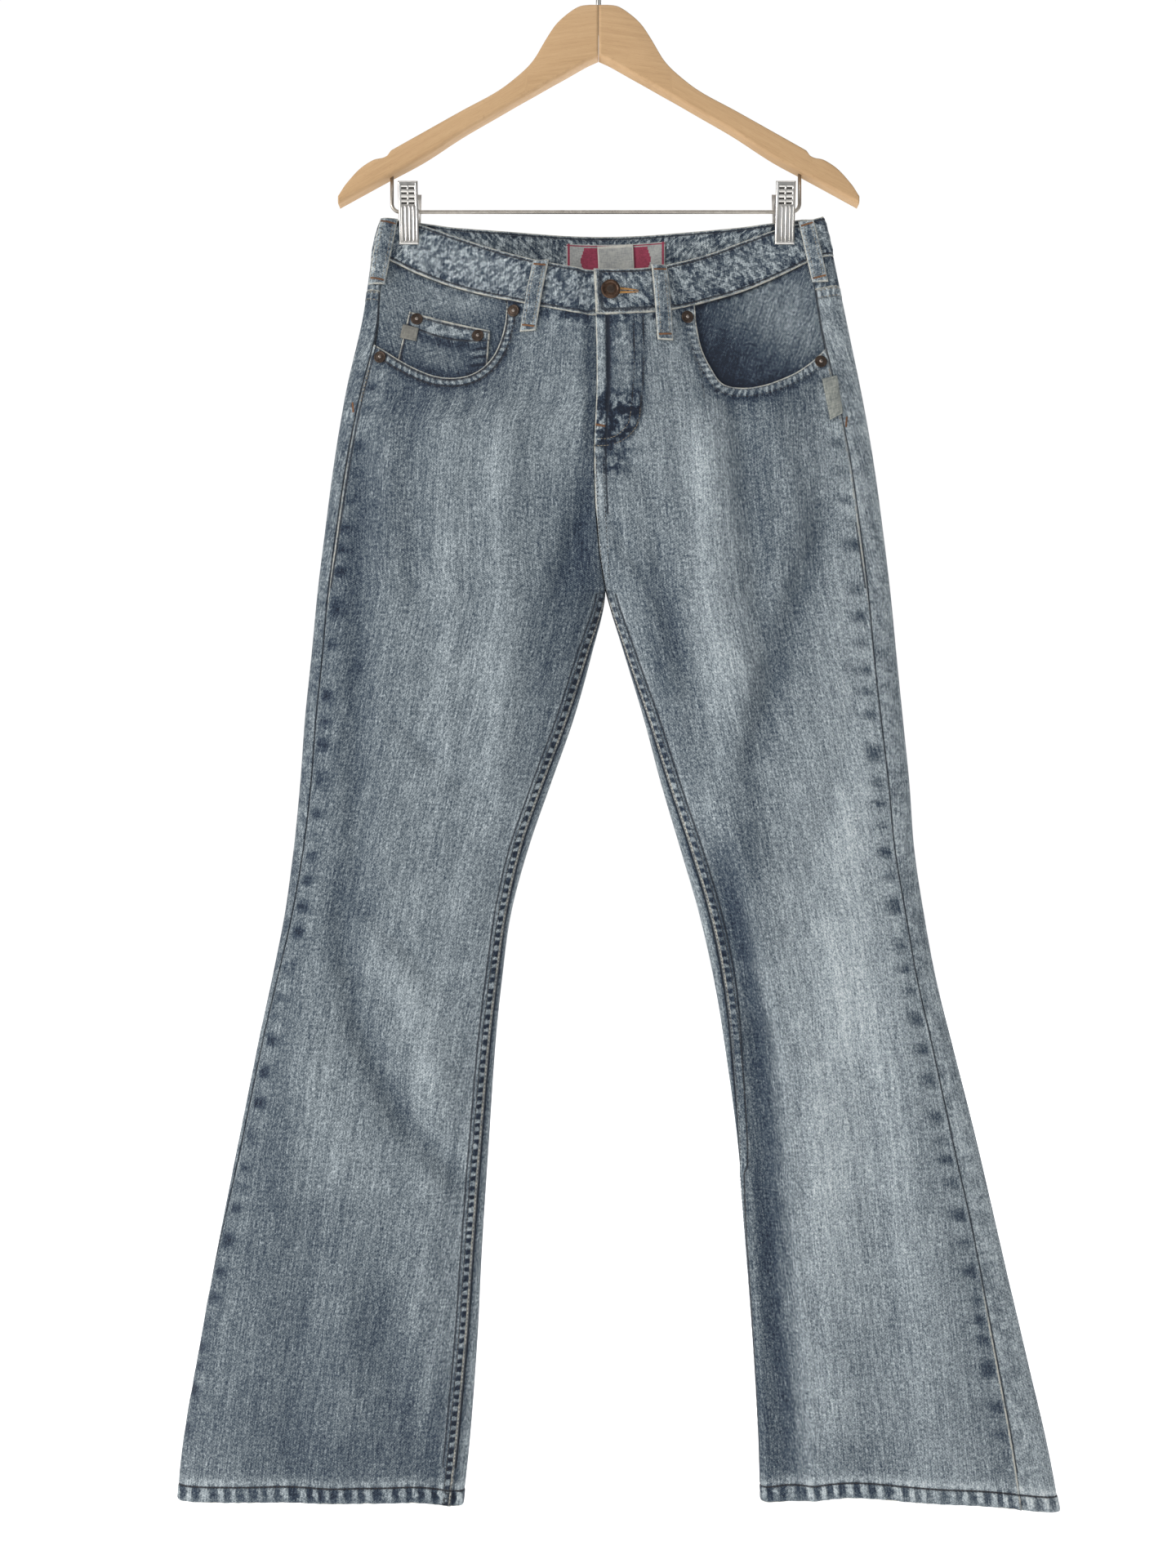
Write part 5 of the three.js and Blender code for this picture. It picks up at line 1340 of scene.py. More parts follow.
def facing(leg):
    columns, rows = 70, 46
    share = np.linspace(0, 1, columns)[None, :] * np.ones((rows, 1))
    part = np.linspace(0, 1, rows)[:, None] * np.ones((1, columns))
    drop = np.full(share.shape, 320.0)
    for _ in range(14):
        start = turn_at(leg, True, np.full(share.shape, SCOOPS[leg]["x"][0] * FACING_REACH), drop)
        turn = blend(start, seam_turn(leg, "out", drop) - 0.001, share)
        x = skin(leg, turn, drop)[..., 0]
        drop = blend(read(FRONT_WAIST, "x", "seam", x) + SEAM_GAP, FACING_BOTTOM[leg], part)
    sunk = FACING_DEPTH * (1 - 0.75 * ease(0.6, 1, share) * (1 - ease(0.2, 0.8, part)))
    look = plain_look(x.shape)
    from_top = (drop - read(FRONT_WAIST, "x", "seam", x))
    # Darker overall and towards its bottom, with painted shade just under the band
    look["tone"] += -0.13 - 0.12 * (1 - ease(0, 7, from_top)) - 0.08 * ease(0.45, 0.9, part)
    # Painted light and painted shade across the facing
    if leg == "left":
        lit = bump_at(x - 0.9 * (drop - 320), 152, 26)
        shaded = 0.22 * bump_at(x, 116, 28) * ease(325, 360, drop)
        look["tone"] += 0.15 * lit - 0.14 * bump_at(x, 92, 16) - shaded
    else:
        look["tone"] += 0.16 * bump_at(x, -112, 42) * (1 - ease(312, 330, drop)) + 0.05 * bump_at(x, -180, 14)
    look["tone"] -= 0.16 * scoop_shadow(leg, x, drop)
    lay_mottle(look, x, drop, 0.5 * (1 - ease(0, 12, from_top)))
    tilt = -0.35 if leg == "left" else 0.25
    weave = np.stack([x - tilt * drop, drop + tilt * x], axis=-1)
    lift = -sunk + 0.35 * np.sin(x / 17 + drop / 23) * ease(0.1, 0.4, part)
    outer = skin_at(leg, turn, drop, lift)
    inner = skin_at(leg, turn, drop, lift - FACING_WALL)
    return shell("denim_facing_" + leg, outer, inner, look, weave, DENIM, DENIM_INSIDE)


def patch_grid(leg, front, corners, rows, columns, bend):
    """Places of a patch that lies on a panel, from the four corners of its outline."""
    down = np.linspace(0, 1, rows)[:, None] * np.ones((1, columns))
    over = np.linspace(0, 1, columns)[None, :] * np.ones((rows, 1))
    corners = np.array(corners, float)
    top = blend(corners[0], corners[1], over[..., None])
    low = blend(corners[3], corners[2], over[..., None])
    flat = blend(top, low, down[..., None])
    x = flat[..., 0]
    drop = flat[..., 1] + bend(over, down)
    return x, drop, over, down, turn_at(leg, front, x, drop)


ON_FACING = -FACING_DEPTH + 0.6
COIN_CORNERS = [(-159.8, 321.7), (-91.5, 339.7), (-93.5, 360), (-168.5, 352)]
BACK_POCKETS = {
    "right": [(-166, 372), (-44, 356), (-50, 494), (-158, 500)],
    "left": [(56, 356), (178, 372), (170, 500), (62, 494)],
}


def sides_of(x, drop, over, down, corners):
    corners = np.array(corners, float)
    width = np.linalg.norm(corners[1] - corners[0])
    height = np.linalg.norm(corners[3] - corners[0])
    from_side = np.minimum(over, 1 - over) * width
    return from_side, down * height


def coin_pocket():
    def bend(over, down):
        return down * (19 * np.sin(np.pi * over) + 12)

    x, drop, over, down, turn = patch_grid("right", True, COIN_CORNERS, 50, 66, bend)
    from_side, from_top = sides_of(x, drop, over, down, COIN_CORNERS)
    edge = np.minimum(from_side, from_top)
    look = plain_look(x.shape)
    band = 1 - ease(9, 10.5, from_top)
    lift = ON_FACING + PATCH_WALL + rolled(edge, 0.5, 1.3) + 0.3 * band
    look["edge"] = edge - 0.1
    # Darker towards its bottom, with painted shade just under the band's edge
    look["tone"] += -0.08 - 0.06 * ease(0.45, 0.95, down) - 0.1 * bump_at(from_top, 11.5, 2)
    # Painted shade in the grooves of the stitch rows
    rows = np.minimum(np.abs(from_top - ROW_EDGE), np.abs(from_top - 8.4))
    look["groove"] = np.minimum(rows, np.abs(from_side - ROW_EDGE)) + 0.2
    look["tone"] += 0.13 * band
    lay_mottle(look, x, drop, 0.6 * band)
    right_side = (1 - ease(9, 18, (1 - over) * 70)) * ease(10, 14, from_top)
    dashes = np.clip(np.cos(2 * np.pi * (drop + 0.1 * x) / 7.2), 0, 1)
    look["tone"] -= 0.48 * dashes * right_side
    # A dark line along its left side, and painted shadow inside the pocket's opening
    look["tone"] -= 0.28 * bump_at(over * 70, 1.2, 1.6) + 0.22 * scoop_shadow("right", x, drop)
    look["tone"] -= 0.18 * bump_at(from_top, 10.5, 1.8)
    weave = np.stack([x - 0.26 * drop, drop + 0.26 * x], axis=-1)
    outer = skin_at("right", turn, drop, lift)
    inner = skin_at("right", turn, drop, np.full(x.shape, ON_FACING))
    fields = {"x": x, "drop": drop, "lift": lift, "from_side": from_side, "from_top": from_top}
    return shell("denim_coin_pocket", outer, inner, look, weave, DENIM, DENIM_INSIDE, **fields)


def back_pocket(leg):
    corners = BACK_POCKETS[leg]

    def bend(over, down):
        return 15 * down * (1 - np.abs(over - 0.5) * 2)

    x, drop, over, down, turn = patch_grid(leg, False, corners, 84, 80, bend)
    from_side, from_top = sides_of(x, drop, over, down, corners)
    from_low = (1 - down) * 138
    edge = np.minimum(np.minimum(from_side, from_top), from_low)
    look = plain_look(x.shape)
    band = 1 - ease(13, 14.5, from_top)
    swell = 0.8 * np.sin(np.pi * over) * down
    lift = SEAM_GAP + 0.1 + PATCH_WALL + rolled(edge, 0.6, 1.5) + 0.35 * band + swell
    look["edge"] = edge - 0.1
    look["tone"] += 0.03 + 0.05 * bump_at(over, 0.5, 0.25) * bump_at(down, 0.5, 0.3)
    phase = lay_rope(look, x + drop, edge, 0.8 * (1 - ease(7.5, 9.5, edge)) * ease(1, 2, edge), 6.5, 4.0)
    lift += 0.12 * np.sin(2 * np.pi * phase) * (1 - ease(7.5, 9.5, edge))
    lay_mottle(look, x, drop, 0.35 * (1 - ease(8, 16, edge)))
    weave = np.stack([x, drop], axis=-1)
    outer = skin_at(leg, turn, drop, lift)
    inner = skin_at(leg, turn, drop, np.full(x.shape, SEAM_GAP + 0.1))
    fields = {"x": x, "drop": drop, "lift": lift, "edge": edge, "over": over, "from_top": from_top}
    return shell("denim_back_pocket_" + leg, outer, inner, look, weave, DENIM, DENIM_INSIDE, **fields)


# Belt loops, from the band's top to just below the waist seam
LOOP_WIDTH = 13
LOOP_WALL = 2
LOOPS = table(
    "leg face x0 drop0 x1 drop1",
    [
        ("right", "front", -176.4, 243.6, -187, 299),
        ("right", "front", -47.8, 284.6, -59.1, 343),
        ("left", "front", 49.8, 288.6, 55.2, 351),
        ("left", "front", 175, 245, 187, 297),
        ("left", "back", 116, 247.2, 117, 299),
        ("right", "back", BACK_CENTRE - 7.5, 246.6, BACK_CENTRE - 7.5, 300),
        ("right", "back", -104, 247.2, -105, 299),
    ],
)
LOOP_LIFTS = table("part lift", [(0, 0.9), (0.12, 1.5), (0.4, 2.4), (0.66, 1.8), (0.8, 0.9), (1, 0.4)])


def loop_places(i, rows, columns):
    part = np.linspace(0, 1, rows)[:, None] * np.ones((1, columns))
    over = np.linspace(-0.5, 0.5, columns)[None, :] * np.ones((rows, 1))
    x = blend(LOOPS["x0"][i], LOOPS["x1"][i], part) + over * LOOP_WIDTH
    drop = blend(LOOPS["drop0"][i], LOOPS["drop1"][i], part)
    lift = read(LOOP_LIFTS, "part", "lift", part)
    turn = turn_at(LOOPS["leg"][i], LOOPS["face"][i] == "front", x, drop)
    return x, drop, lift, part, over, turn


def belt_loop(i):
    x, drop, lift, part, over, turn = loop_places(i, 56, 19)
    length = abs(LOOPS["drop1"][i] - LOOPS["drop0"][i])
    from_side = (0.5 - np.abs(over)) * LOOP_WIDTH
    from_end = np.minimum(part, 1 - part) * length
    edge = np.minimum(from_side, from_end)
    look = plain_look(x.shape)
    look["edge"] = edge + 0.3
    look["tone"] += 0.15 - 0.32 * bump_at(over, 0.04, 0.2) * (0.6 + 0.4 * wobble(drop / 6, i))
    lay_mottle(look, x, drop, np.full(x.shape, 0.3), 5.0)
    swell = 0.35 * (1 - (2 * over) ** 2) - 0.3 * bump_at(from_end, 4, 1.6)
    outer = skin_at(LOOPS["leg"][i], turn, drop, lift + LOOP_WALL + rolled(edge, 0.8, 1.6) + swell)
    inner = skin_at(LOOPS["leg"][i], turn, drop, lift)
    weave = np.stack([x, drop], axis=-1)
    fields = {"x": x, "drop": drop, "lift": lift + LOOP_WALL + swell, "across": over * LOOP_WIDTH}
    return shell(f"denim_belt_loop_{i + 1}", outer, inner, look, weave, DENIM, DENIM, **fields)


cloth = {}
for leg in ("right", "left"):
    cloth["front_" + leg] = front_panel(leg)
    cloth["back_" + leg] = back_panel(leg)
    cloth["yoke_" + leg] = yoke(leg)
    cloth["pocket_facing_" + leg] = facing(leg)
    cloth["back_pocket_" + leg] = back_pocket(leg)
cloth["waistband"] = waistband()
cloth["coin_pocket"] = coin_pocket()
for i in range(len(LOOPS["leg"])):
    cloth[f"belt_loop_{i + 1}"] = belt_loop(i)
for node, piece in cloth.items():
    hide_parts(node)


# Stitches: small rounded grains of thread that lie along a line on the cloth
GRAIN_RINGS = table("along size", [(-0.36, 0.75), (0, 1), (0.36, 0.75)])
GRAIN_SIDES = 5
SEWN = {}


def sew(panel, colour, starts, ends, normals, half_width=0.3):
    SEWN.setdefault((panel, colour), []).append((starts, ends, normals, np.full(len(starts), half_width)))


def build_seams():
    made = {}
    angles = 2 * np.pi * np.arange(GRAIN_SIDES) / GRAIN_SIDES
    for (panel, colour), rows in SEWN.items():
        starts, ends, normals, half = (np.concatenate([row[k] for row in rows]) for k in range(4))
        middle = (starts + ends) / 2
        span = ends - starts
        side = np.cross(normals, span)
        side /= np.linalg.norm(side, axis=1, keepdims=True)
        points = [starts - normals * 0.1]
        for along, size in zip(GRAIN_RINGS["along"], GRAIN_RINGS["size"]):
            for angle in angles:
                out = (math.sin(angle) * 0.6 * size + 0.35 * size - 0.1) * half
                over = math.cos(angle) * size * half
                points.append(middle + span * along + side * over[:, None] + normals * out[:, None])
        points.append(ends - normals * 0.1)
        count = len(points)
        positions = np.stack(points, axis=1).reshape(-1, 3)
        faces = []
        last = 1 + 2 * GRAIN_SIDES
        for k in range(GRAIN_SIDES):
            after = (k + 1) % GRAIN_SIDES
            faces.append((0, 1 + after, 1 + k))
            faces.append((count - 1, last + k, last + after))
            for ring in (1, 1 + GRAIN_SIDES):
                low, high = ring + k, ring + after
                faces.append((low, high, high + GRAIN_SIDES, low + GRAIN_SIDES))
        every = [tuple(v + i * count for v in face) for i in range(len(starts)) for face in faces]
        piece = mesh_object(f"thread_{colour}_{panel}", positions, every)
        piece.data.materials.append(THREADS[colour])
        made.setdefault(panel, []).append(piece)
    return made


def contour(panel, field, level, by_column, keep=None):
    """Where a measured distance first reaches a level, once for each column or each row of a grid."""
    grid = GRIDS[panel]
    values = grid[field] if by_column else grid[field].T
    found = []
    for line in range(values.shape[1]):
        column = values[:, line]
        crossing = np.nonzero((column[:-1] - level) * (column[1:] - level) <= 0)[0]
        if len(crossing) == 0:
            continue
        i = crossing[0]
        part = (level - column[i]) / (column[i + 1] - column[i] + 1e-9)
        a, b = ((i, line), (i + 1, line)) if by_column else ((line, i), (line, i + 1))
        x = blend(grid["x"][a], grid["x"][b], part)
        drop = blend(grid["drop"][a], grid["drop"][b], part)
        if keep is None or keep(x, drop):
            found.append((blend(grid["points"][a], grid["points"][b], part), grid["normals"][a]))
    return np.array([f[0] for f in found]), np.array([f[1] for f in found])


def sew_line(panel, colour, line, length=2.5, gap=0.7, half_width=0.3, seed=0.0):
    """A row of stitches along points with their outward directions."""
    points, normals = line
    along = np.concatenate([[0], np.cumsum(np.linalg.norm(np.diff(points, axis=0), axis=1))])
    pitch = length + gap
    count = int(along[-1] / pitch)
    first = (np.arange(count) + 0.1 + 0.05 * wobble(np.arange(count) * 1.3, seed)) * pitch
    last = first + length * (0.95 + 0.1 * wobble(np.arange(count) * 0.9, seed + 2))

    def at(place, values):
        return np.stack([np.interp(place, along, values[:, k]) for k in range(3)], axis=1)

    sew(panel, colour, at(first, points), at(last, points), at((first + last) / 2, normals), half_width)


def on_panel(panel, leg, front, x, drop, lift=0.0):
    """Points and outward directions on a piece's worked surface, at places given by x and drop."""
    grid = GRIDS[panel]
    x = np.asarray(x, float)
    drop = np.asarray(drop, float)
    flat_x = grid["x"].ravel()
    flat_drop = grid["drop"].ravel()
    near = np.array([np.argmin((flat_x - a) ** 2 + (flat_drop - b) ** 2) for a, b in zip(x, drop)])
    turn = turn_at(leg, front, x, drop)
    normals = skin_normal(leg, turn, drop)
    return skin(leg, turn, drop) + normals * (grid["lift"].ravel()[near] + lift)[:, None], normals


def sewn_path(panel, leg, places, colour, **settings):
    places = np.array(places, float)
    x, drop, _ = smooth_path(places[:, 0], places[:, 1], 90)
    sew_line(panel, colour, on_panel(panel, leg, True, x, drop), **settings)


def bar_tack(panel, leg, front, x, drop, length, width, tilt, colour):
    """A dense zigzag of thread: its length runs along the tilt, its width across it."""
    count = int(length / 0.55)
    u = (np.arange(count) / (count - 1) - 0.5) * length
    dx, dz = math.cos(math.radians(tilt)), math.sin(math.radians(tilt))
    ends = []
    for sign in (-0.5, 0.5):
        reach = sign * width * (1 + 0.12 * wobble(u * 2, x))
        ends.append(on_panel(panel, leg, front, x + u * dx - reach * dz, drop + u * dz + reach * dx, 0.25))
    sew(panel, colour, ends[0][0], ends[1][0], ends[0][1], 0.34)


for leg in ("right", "left"):
    panel = "denim_front_" + leg
    for k, level in enumerate((ROW_EDGE, ROW_INNER)):
        sew_line(panel, "dark", contour(panel, "from_scoop", level, True), seed=k)
        inside_leg = contour(panel, "from_in", level, False, lambda x, drop: drop > 572)
        sew_line(panel, "dark", inside_leg, seed=k + 3)
    hip_end = 404 if leg == "right" else 420
    hip = contour(panel, "from_out", ROW_EDGE, False, lambda x, drop: 372 < drop < hip_end)
    sew_line(panel, "tan", hip)
    hem = contour(panel, "from_hem", HEM_HEIGHT - 0.9, True)
    sew_line(panel, "dark", hem, 3.2, 0.5, 0.42)
    panel = "denim_back_" + leg
    hem = contour(panel, "from_hem", HEM_HEIGHT - 0.9, True)
    sew_line(panel, "dark", hem, 3.2, 0.5, 0.42)
    for level in (ROW_EDGE, ROW_INNER):
        sew_line(panel, "tan", contour(panel, "from_top", level, True))
    pocket = "denim_back_pocket_" + leg
    for level in (ROW_EDGE + 0.4, ROW_INNER):
        sides = contour(pocket, "edge", level, False)
        sew_line(pocket, "tan", sides)
    sew_line(pocket, "dark", contour(pocket, "from_top", 12.5, True))

for level in (ROW_EDGE, ROW_INNER):
    seat = contour("denim_back_left", "from_in", level, False, lambda x, drop: drop < 552)
    sew_line("denim_back_left", "tan", seat)
    crotch = contour("denim_front_left", "from_in", level, False, lambda x, drop: 446 < drop < 556)
    sew_line("denim_front_left", "dark", crotch)

BAND_LAST = 370
for field in ("from_top", "from_low"):
    points, normals = contour("denim_waistband", field, 2.4, True)
    sew_line("denim_waistband", "dark", (points[:BAND_LAST], normals[:BAND_LAST]), 2.7, 0.6, 0.32)
end_row = contour("denim_waistband", "along", 3.2, False)
sew_line("denim_waistband", "dark", end_row)

# The fly's curved double row, and the dark stitches down its worn strip
for k, places in enumerate((FLY_INNER, FLY_OUTER)):
    upper = [p for p in places if p[1] < 412]
    lower = [p for p in places if p[1] > 405]
    sewn_path("denim_front_left", "left", upper, "dark", seed=k)
    sewn_path("denim_front_left", "left", lower, "tan", half_width=0.22, gap=0.3)

coin = "denim_coin_pocket"
for level in (ROW_EDGE, 8.4):
    sew_line(coin, "dark", contour(coin, "from_top", level, True))
sew_line(coin, "dark", contour(coin, "from_side", ROW_EDGE, False))

for i in range(len(LOOPS["leg"])):
    panel = f"denim_belt_loop_{i + 1}"
    front = LOOPS["face"][i] == "front"
    for side in (-3.6, 3.6):
        sew_line(panel, "tan", contour(panel, "across", side, False), half_width=0.24, seed=i)
    lean = math.degrees(math.atan2(LOOPS["x0"][i] - LOOPS["x1"][i], LOOPS["drop1"][i] - LOOPS["drop0"][i]))
    for part in (0.07, 0.93):
        x = blend(LOOPS["x0"][i], LOOPS["x1"][i], part)
        drop = blend(LOOPS["drop0"][i], LOOPS["drop1"][i], part)
        bar_tack(panel, LOOPS["leg"][i], front, x, drop, 10, 1.8, lean, "rust")

bar_tack("denim_front_right", "right", True, -206.5, 404, 8, 2, 84, "rust")
bar_tack("denim_front_left", "left", True, 207.5, 417, 8.5, 2, 96, "rust")
bar_tack("denim_front_left", "left", True, 1.2, 424, 7.5, 2.2, 8, "rust")
for leg in ("right", "left"):
    for k, inward in ((0, 3), (1, -3)):
        x, drop = BACK_POCKETS[leg][k]
        bar_tack("denim_back_pocket_" + leg, leg, False, x + inward, drop + 3.5, 6, 1.8, 0, "rust")

# Buttonhole: thread wound round a slit that runs from under the button towards a point
BUTTON_PLACE = (9.6, 311.6)
HOLE_START = 12
HOLE_END = 33
hole_steps = np.arange(HOLE_START, HOLE_END, 0.62)
hole_half = 0.5 + 2.6 * np.sqrt(np.clip((HOLE_END - hole_steps) / (HOLE_END - HOLE_START), 0, 1))
GRIDS["denim_waistband"]["lift"] = np.full(GRIDS["denim_waistband"]["x"].shape, BAND_PROUD + 0.3)
for sign in (-1, 1):
    slit = BUTTON_PLACE[1] + sign * 0.35 + 0 * hole_steps
    near = on_panel("denim_waistband", "left", True, hole_steps, slit, 0.3)
    far = on_panel("denim_waistband", "left", True, hole_steps, BUTTON_PLACE[1] + sign * hole_half, 0.1)
    sew("denim_waistband", "gold", near[0], far[0], near[1], 0.36)
seams = build_seams()


# Metal, wood and label finishes
def metal(name, colour, dark, rough, fine=1400, amount=0.5, bumps=True):
    g = Graph(name)
    place = g.node("ShaderNodeTexCoord").outputs["Object"]
    spots = g.noise(g.vector(place, (fine, fine, fine)), 1.0, 3.0, 0.6)
    broad = g.noise(g.vector(place, (160, 160, 160)), 1.0, 2.0, 0.6)
    wear = g.window(g.total(g.scaled(spots, 0.5), g.scaled(broad, 0.5)), 0.36, 0.64)
    g.put(g.surface.inputs["Base Color"], g.mix(g.scaled(wear, amount), (*colour, 1), (*dark, 1)))
    g.put(g.surface.inputs["Roughness"], g.scaled(wear, 0.16, rough))
    if bumps:
        g.put(g.surface.inputs["Normal"], g.bump(spots, 0.00006, 0.5))
    g.surface.inputs["Metallic"].default_value = 1
    return g.material


STEEL = metal("polished_steel", (0.66, 0.64, 0.61), (0.52, 0.50, 0.47), 0.28, 700, 0.4, False)
WIRE_STEEL = metal("wire_steel", (0.50, 0.46, 0.41), (0.30, 0.26, 0.22), 0.32)
# Near-black steel for the grip slots and the hollows between ribs: painted shade
SLOT_PAINTED_SHADE = metal("slot_shade", (0.10, 0.095, 0.09), (0.05, 0.048, 0.045), 0.5)
DARK_COPPER = metal("dark_copper", (0.115, 0.085, 0.068), (0.03, 0.024, 0.022), 0.46, 2200, 0.9)
NUB_COPPER = metal("nub_copper", (0.34, 0.30, 0.27), (0.15, 0.125, 0.11), 0.3, 2200, 0.8)
BUTTON_COPPER = metal("button_copper", (0.13, 0.08, 0.055), (0.04, 0.027, 0.022), 0.4, 1500, 0.9)


def wood():
    g = Graph("beech_wood")
    place = g.attribute("grain", "Vector")
    streaks = g.noise(g.vector(place, (18, 420, 420)), 1.0, 3.0, 0.6, 0.15)
    fine = g.noise(g.vector(place, (150, 2100, 2100)), 1.0, 2.0, 0.6)
    flecks = g.noise(g.vector(place, (320, 1300, 1300)), 1.0, 1.0, 0.5)
    broad = g.noise(g.vector(place, (7, 40, 40)), 1.0, 2.0, 0.5)
    shade = g.total(g.scaled(streaks, 0.45), g.scaled(fine, 0.25), g.scaled(broad, 0.35), -0.02)
    stops = [(0.2, (0.37, 0.225, 0.11)), (0.5, (0.52, 0.335, 0.178)), (0.8, (0.62, 0.42, 0.24))]
    colour = g.shades(shade, stops)
    mark = g.window(flecks, 0.66, 0.76, 0, 0.35)
    g.put(g.surface.inputs["Base Color"], g.mix(mark, colour, (0.36, 0.21, 0.10, 1)))
    g.put(g.surface.inputs["Normal"], g.bump(g.total(fine, flecks), 0.00012, 0.4))
    g.surface.inputs["Roughness"].default_value = 0.5
    g.surface.inputs["Specular IOR Level"].default_value = 0.35
    return g.material


WOOD = wood()


def plain_cloth(name, light, shade, threads=1500):
    g = Graph(name)
    weave = g.node("ShaderNodeUVMap", uv_map="weave").outputs[0]
    warp = g.noise(g.vector(weave, (threads, threads * 0.3, 1)), 1.0, 2.0, 0.6)
    weft = g.noise(g.vector(weave, (threads * 0.2, threads, 1)), 1.0, 1.0, 0.5)
    soil = g.noise(g.vector(weave, (90, 90, 1)), 1.0, 3.0, 0.6)
    part = g.window(g.total(g.scaled(warp, 0.35), g.scaled(weft, 0.3), g.scaled(soil, 0.35)), 0.36, 0.64)
    g.put(g.surface.inputs["Base Color"], g.mix(part, (*shade, 1), (*light, 1)))
    g.put(g.surface.inputs["Normal"], g.bump(g.total(warp, weft), 0.00015, 0.6))
    g.surface.inputs["Roughness"].default_value = 0.85
    return g.material


LABEL_GREY = plain_cloth("label_grey", (0.44, 0.44, 0.42), (0.24, 0.25, 0.25))
LABEL_MAROON = plain_cloth("label_maroon", (0.34, 0.045, 0.09), (0.19, 0.025, 0.05))
LABEL_PALE = plain_cloth("label_pale", (0.62, 0.60, 0.54), (0.40, 0.39, 0.36))
LABEL_SIDE = plain_cloth("label_side_grey", (0.36, 0.37, 0.33), (0.15, 0.165, 0.16), 620)
LABEL_CARE = plain_cloth("label_care", (0.44, 0.44, 0.41), (0.26, 0.27, 0.27), 900)
TAG_LEATHER = plain_cloth("tag_grey", (0.235, 0.228, 0.20), (0.13, 0.128, 0.115), 700)


def merged(parts):
    """Positions and faces of several pieces as one."""
    positions = []
    faces = []
    for points, polygons in parts:
        start = len(positions)
        positions += [tuple(p) for p in points]
        faces += [tuple(v + start for v in face) for face in polygons]
    return positions, faces


def revolved(profile, place, axis, segments=36):
    """Points and faces of a turned form whose outline gives radius and height along an axis."""
    axis = Vector(axis).normalized()
    side = axis.orthogonal().normalized()
    other = axis.cross(side)
    points = []
    for radius, height in profile:
        for k in range(segments):
            angle = 2 * math.pi * k / segments
            out = side * (radius * math.cos(angle)) + other * (radius * math.sin(angle))
            points.append(Vector(place) + out + axis * height)
    faces = []
    for r in range(len(profile) - 1):
        for k in range(segments):
            after = (k + 1) % segments
            low, high = r * segments, (r + 1) * segments
            faces.append((low + k, low + after, high + after, high + k))
    top = (len(profile) - 1) * segments
    faces.append(tuple(range(segments - 1, -1, -1)))
    faces.append(tuple(range(top, top + segments)))
    return points, faces


RIVETS = table(
    "leg x drop lift",
    [
        ("right", -71.2, 324.4, 0.6),
        ("right", -183.4, 362.4, 0.6),
        ("left", 74, 330.2, 1.1),
        ("left", 186, 366.6, 0.6),
        ("right", -153.3, 328.6, 0.4),
        ("right", -101.5, 344, 0.4),
    ],
)
# Radius and height: a flat rim, a shallow ring inside it, and a nub in the middle
RIVET_OUTLINE = [
    (5.0, -0.4), (5.2, 0.15), (5.05, 0.5), (4.6, 0.68), (4.1, 0.66), (3.7, 0.5), (3.3, 0.55),
    (2.2, 0.8), (1.7, 0.72), (1.45, 1.0), (1.2, 1.45), (0.8, 1.72), (0.35, 1.82),
]
NUB_FROM = 9
BUTTON_OUTLINE = [
    (3.2, -0.3), (3.2, 1.3), (6.8, 1.35), (7.7, 1.55), (8.0, 2.15), (7.8, 2.8), (7.2, 3.2), (6.5, 3.28),
    (5.9, 3.0), (5.5, 2.6), (4.6, 2.5), (3.4, 2.62), (2.9, 2.85), (2.0, 3.02), (0.8, 3.1),
]
METAL_SIDES = 36


def turned_metal(name, node, leg, x, drop, lift, outline, dark, bright, bright_from):
    turn = turn_at(leg, True, x, drop)
    place = skin_at(leg, turn, np.asarray(drop, float), np.asarray(lift, float))
    normal = skin_normal(leg, turn, np.asarray(drop, float))
    points, faces = revolved(outline, place, normal, METAL_SIDES)
    piece = mesh_object(name, [tuple(p) for p in points], faces)
    mesh = piece.data
    mesh.materials.append(dark)
    mesh.materials.append(bright)
    for polygon in mesh.polygons:
        polygon.material_index = 1 if polygon.index >= bright_from * METAL_SIDES else 0
    mesh.polygons[len(faces) - 2].material_index = 0
    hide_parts(node)


for i in range(len(RIVETS["leg"])):
    place = (RIVETS["leg"][i], RIVETS["x"][i], RIVETS["drop"][i], RIVETS["lift"][i])
    names = (f"rivet_cap_{i + 1}", f"rivet_{i + 1}")
    turned_metal(*names, *place, RIVET_OUTLINE, DARK_COPPER, NUB_COPPER, NUB_FROM)
button = ("left", *BUTTON_PLACE, BAND_PROUD + 0.35)
turned_metal("button_cap", "waist_button", *button, BUTTON_OUTLINE, BUTTON_COPPER, DARK_COPPER, 11)


# Hanger arms
ARM = table(
    "x top low",
    [
        (0.15, 62, 105.6),
        (9, 62, 109.6),
        (17, 63.5, 114),
        (27.5, 70.4, 120),
        (36.5, 79, 125),
        (44.5, 91, 129.5),
        (55, 108.5, 135.5),
        (66, 120, 141.6),
        (85, 134.6, 152.6),
        (115, 151, 170),
        (148, 169.5, 191.4),
        (180, 187.5, 208.6),
        (200, 199, 219.5),
        (214, 214, 227.2),
        (220, 223.5, 230.4),
    ],
)
ARM_HALF_THICKNESS = 6
ARM_CORNER = 2.6
NOTCH_DEPTH = 2.6


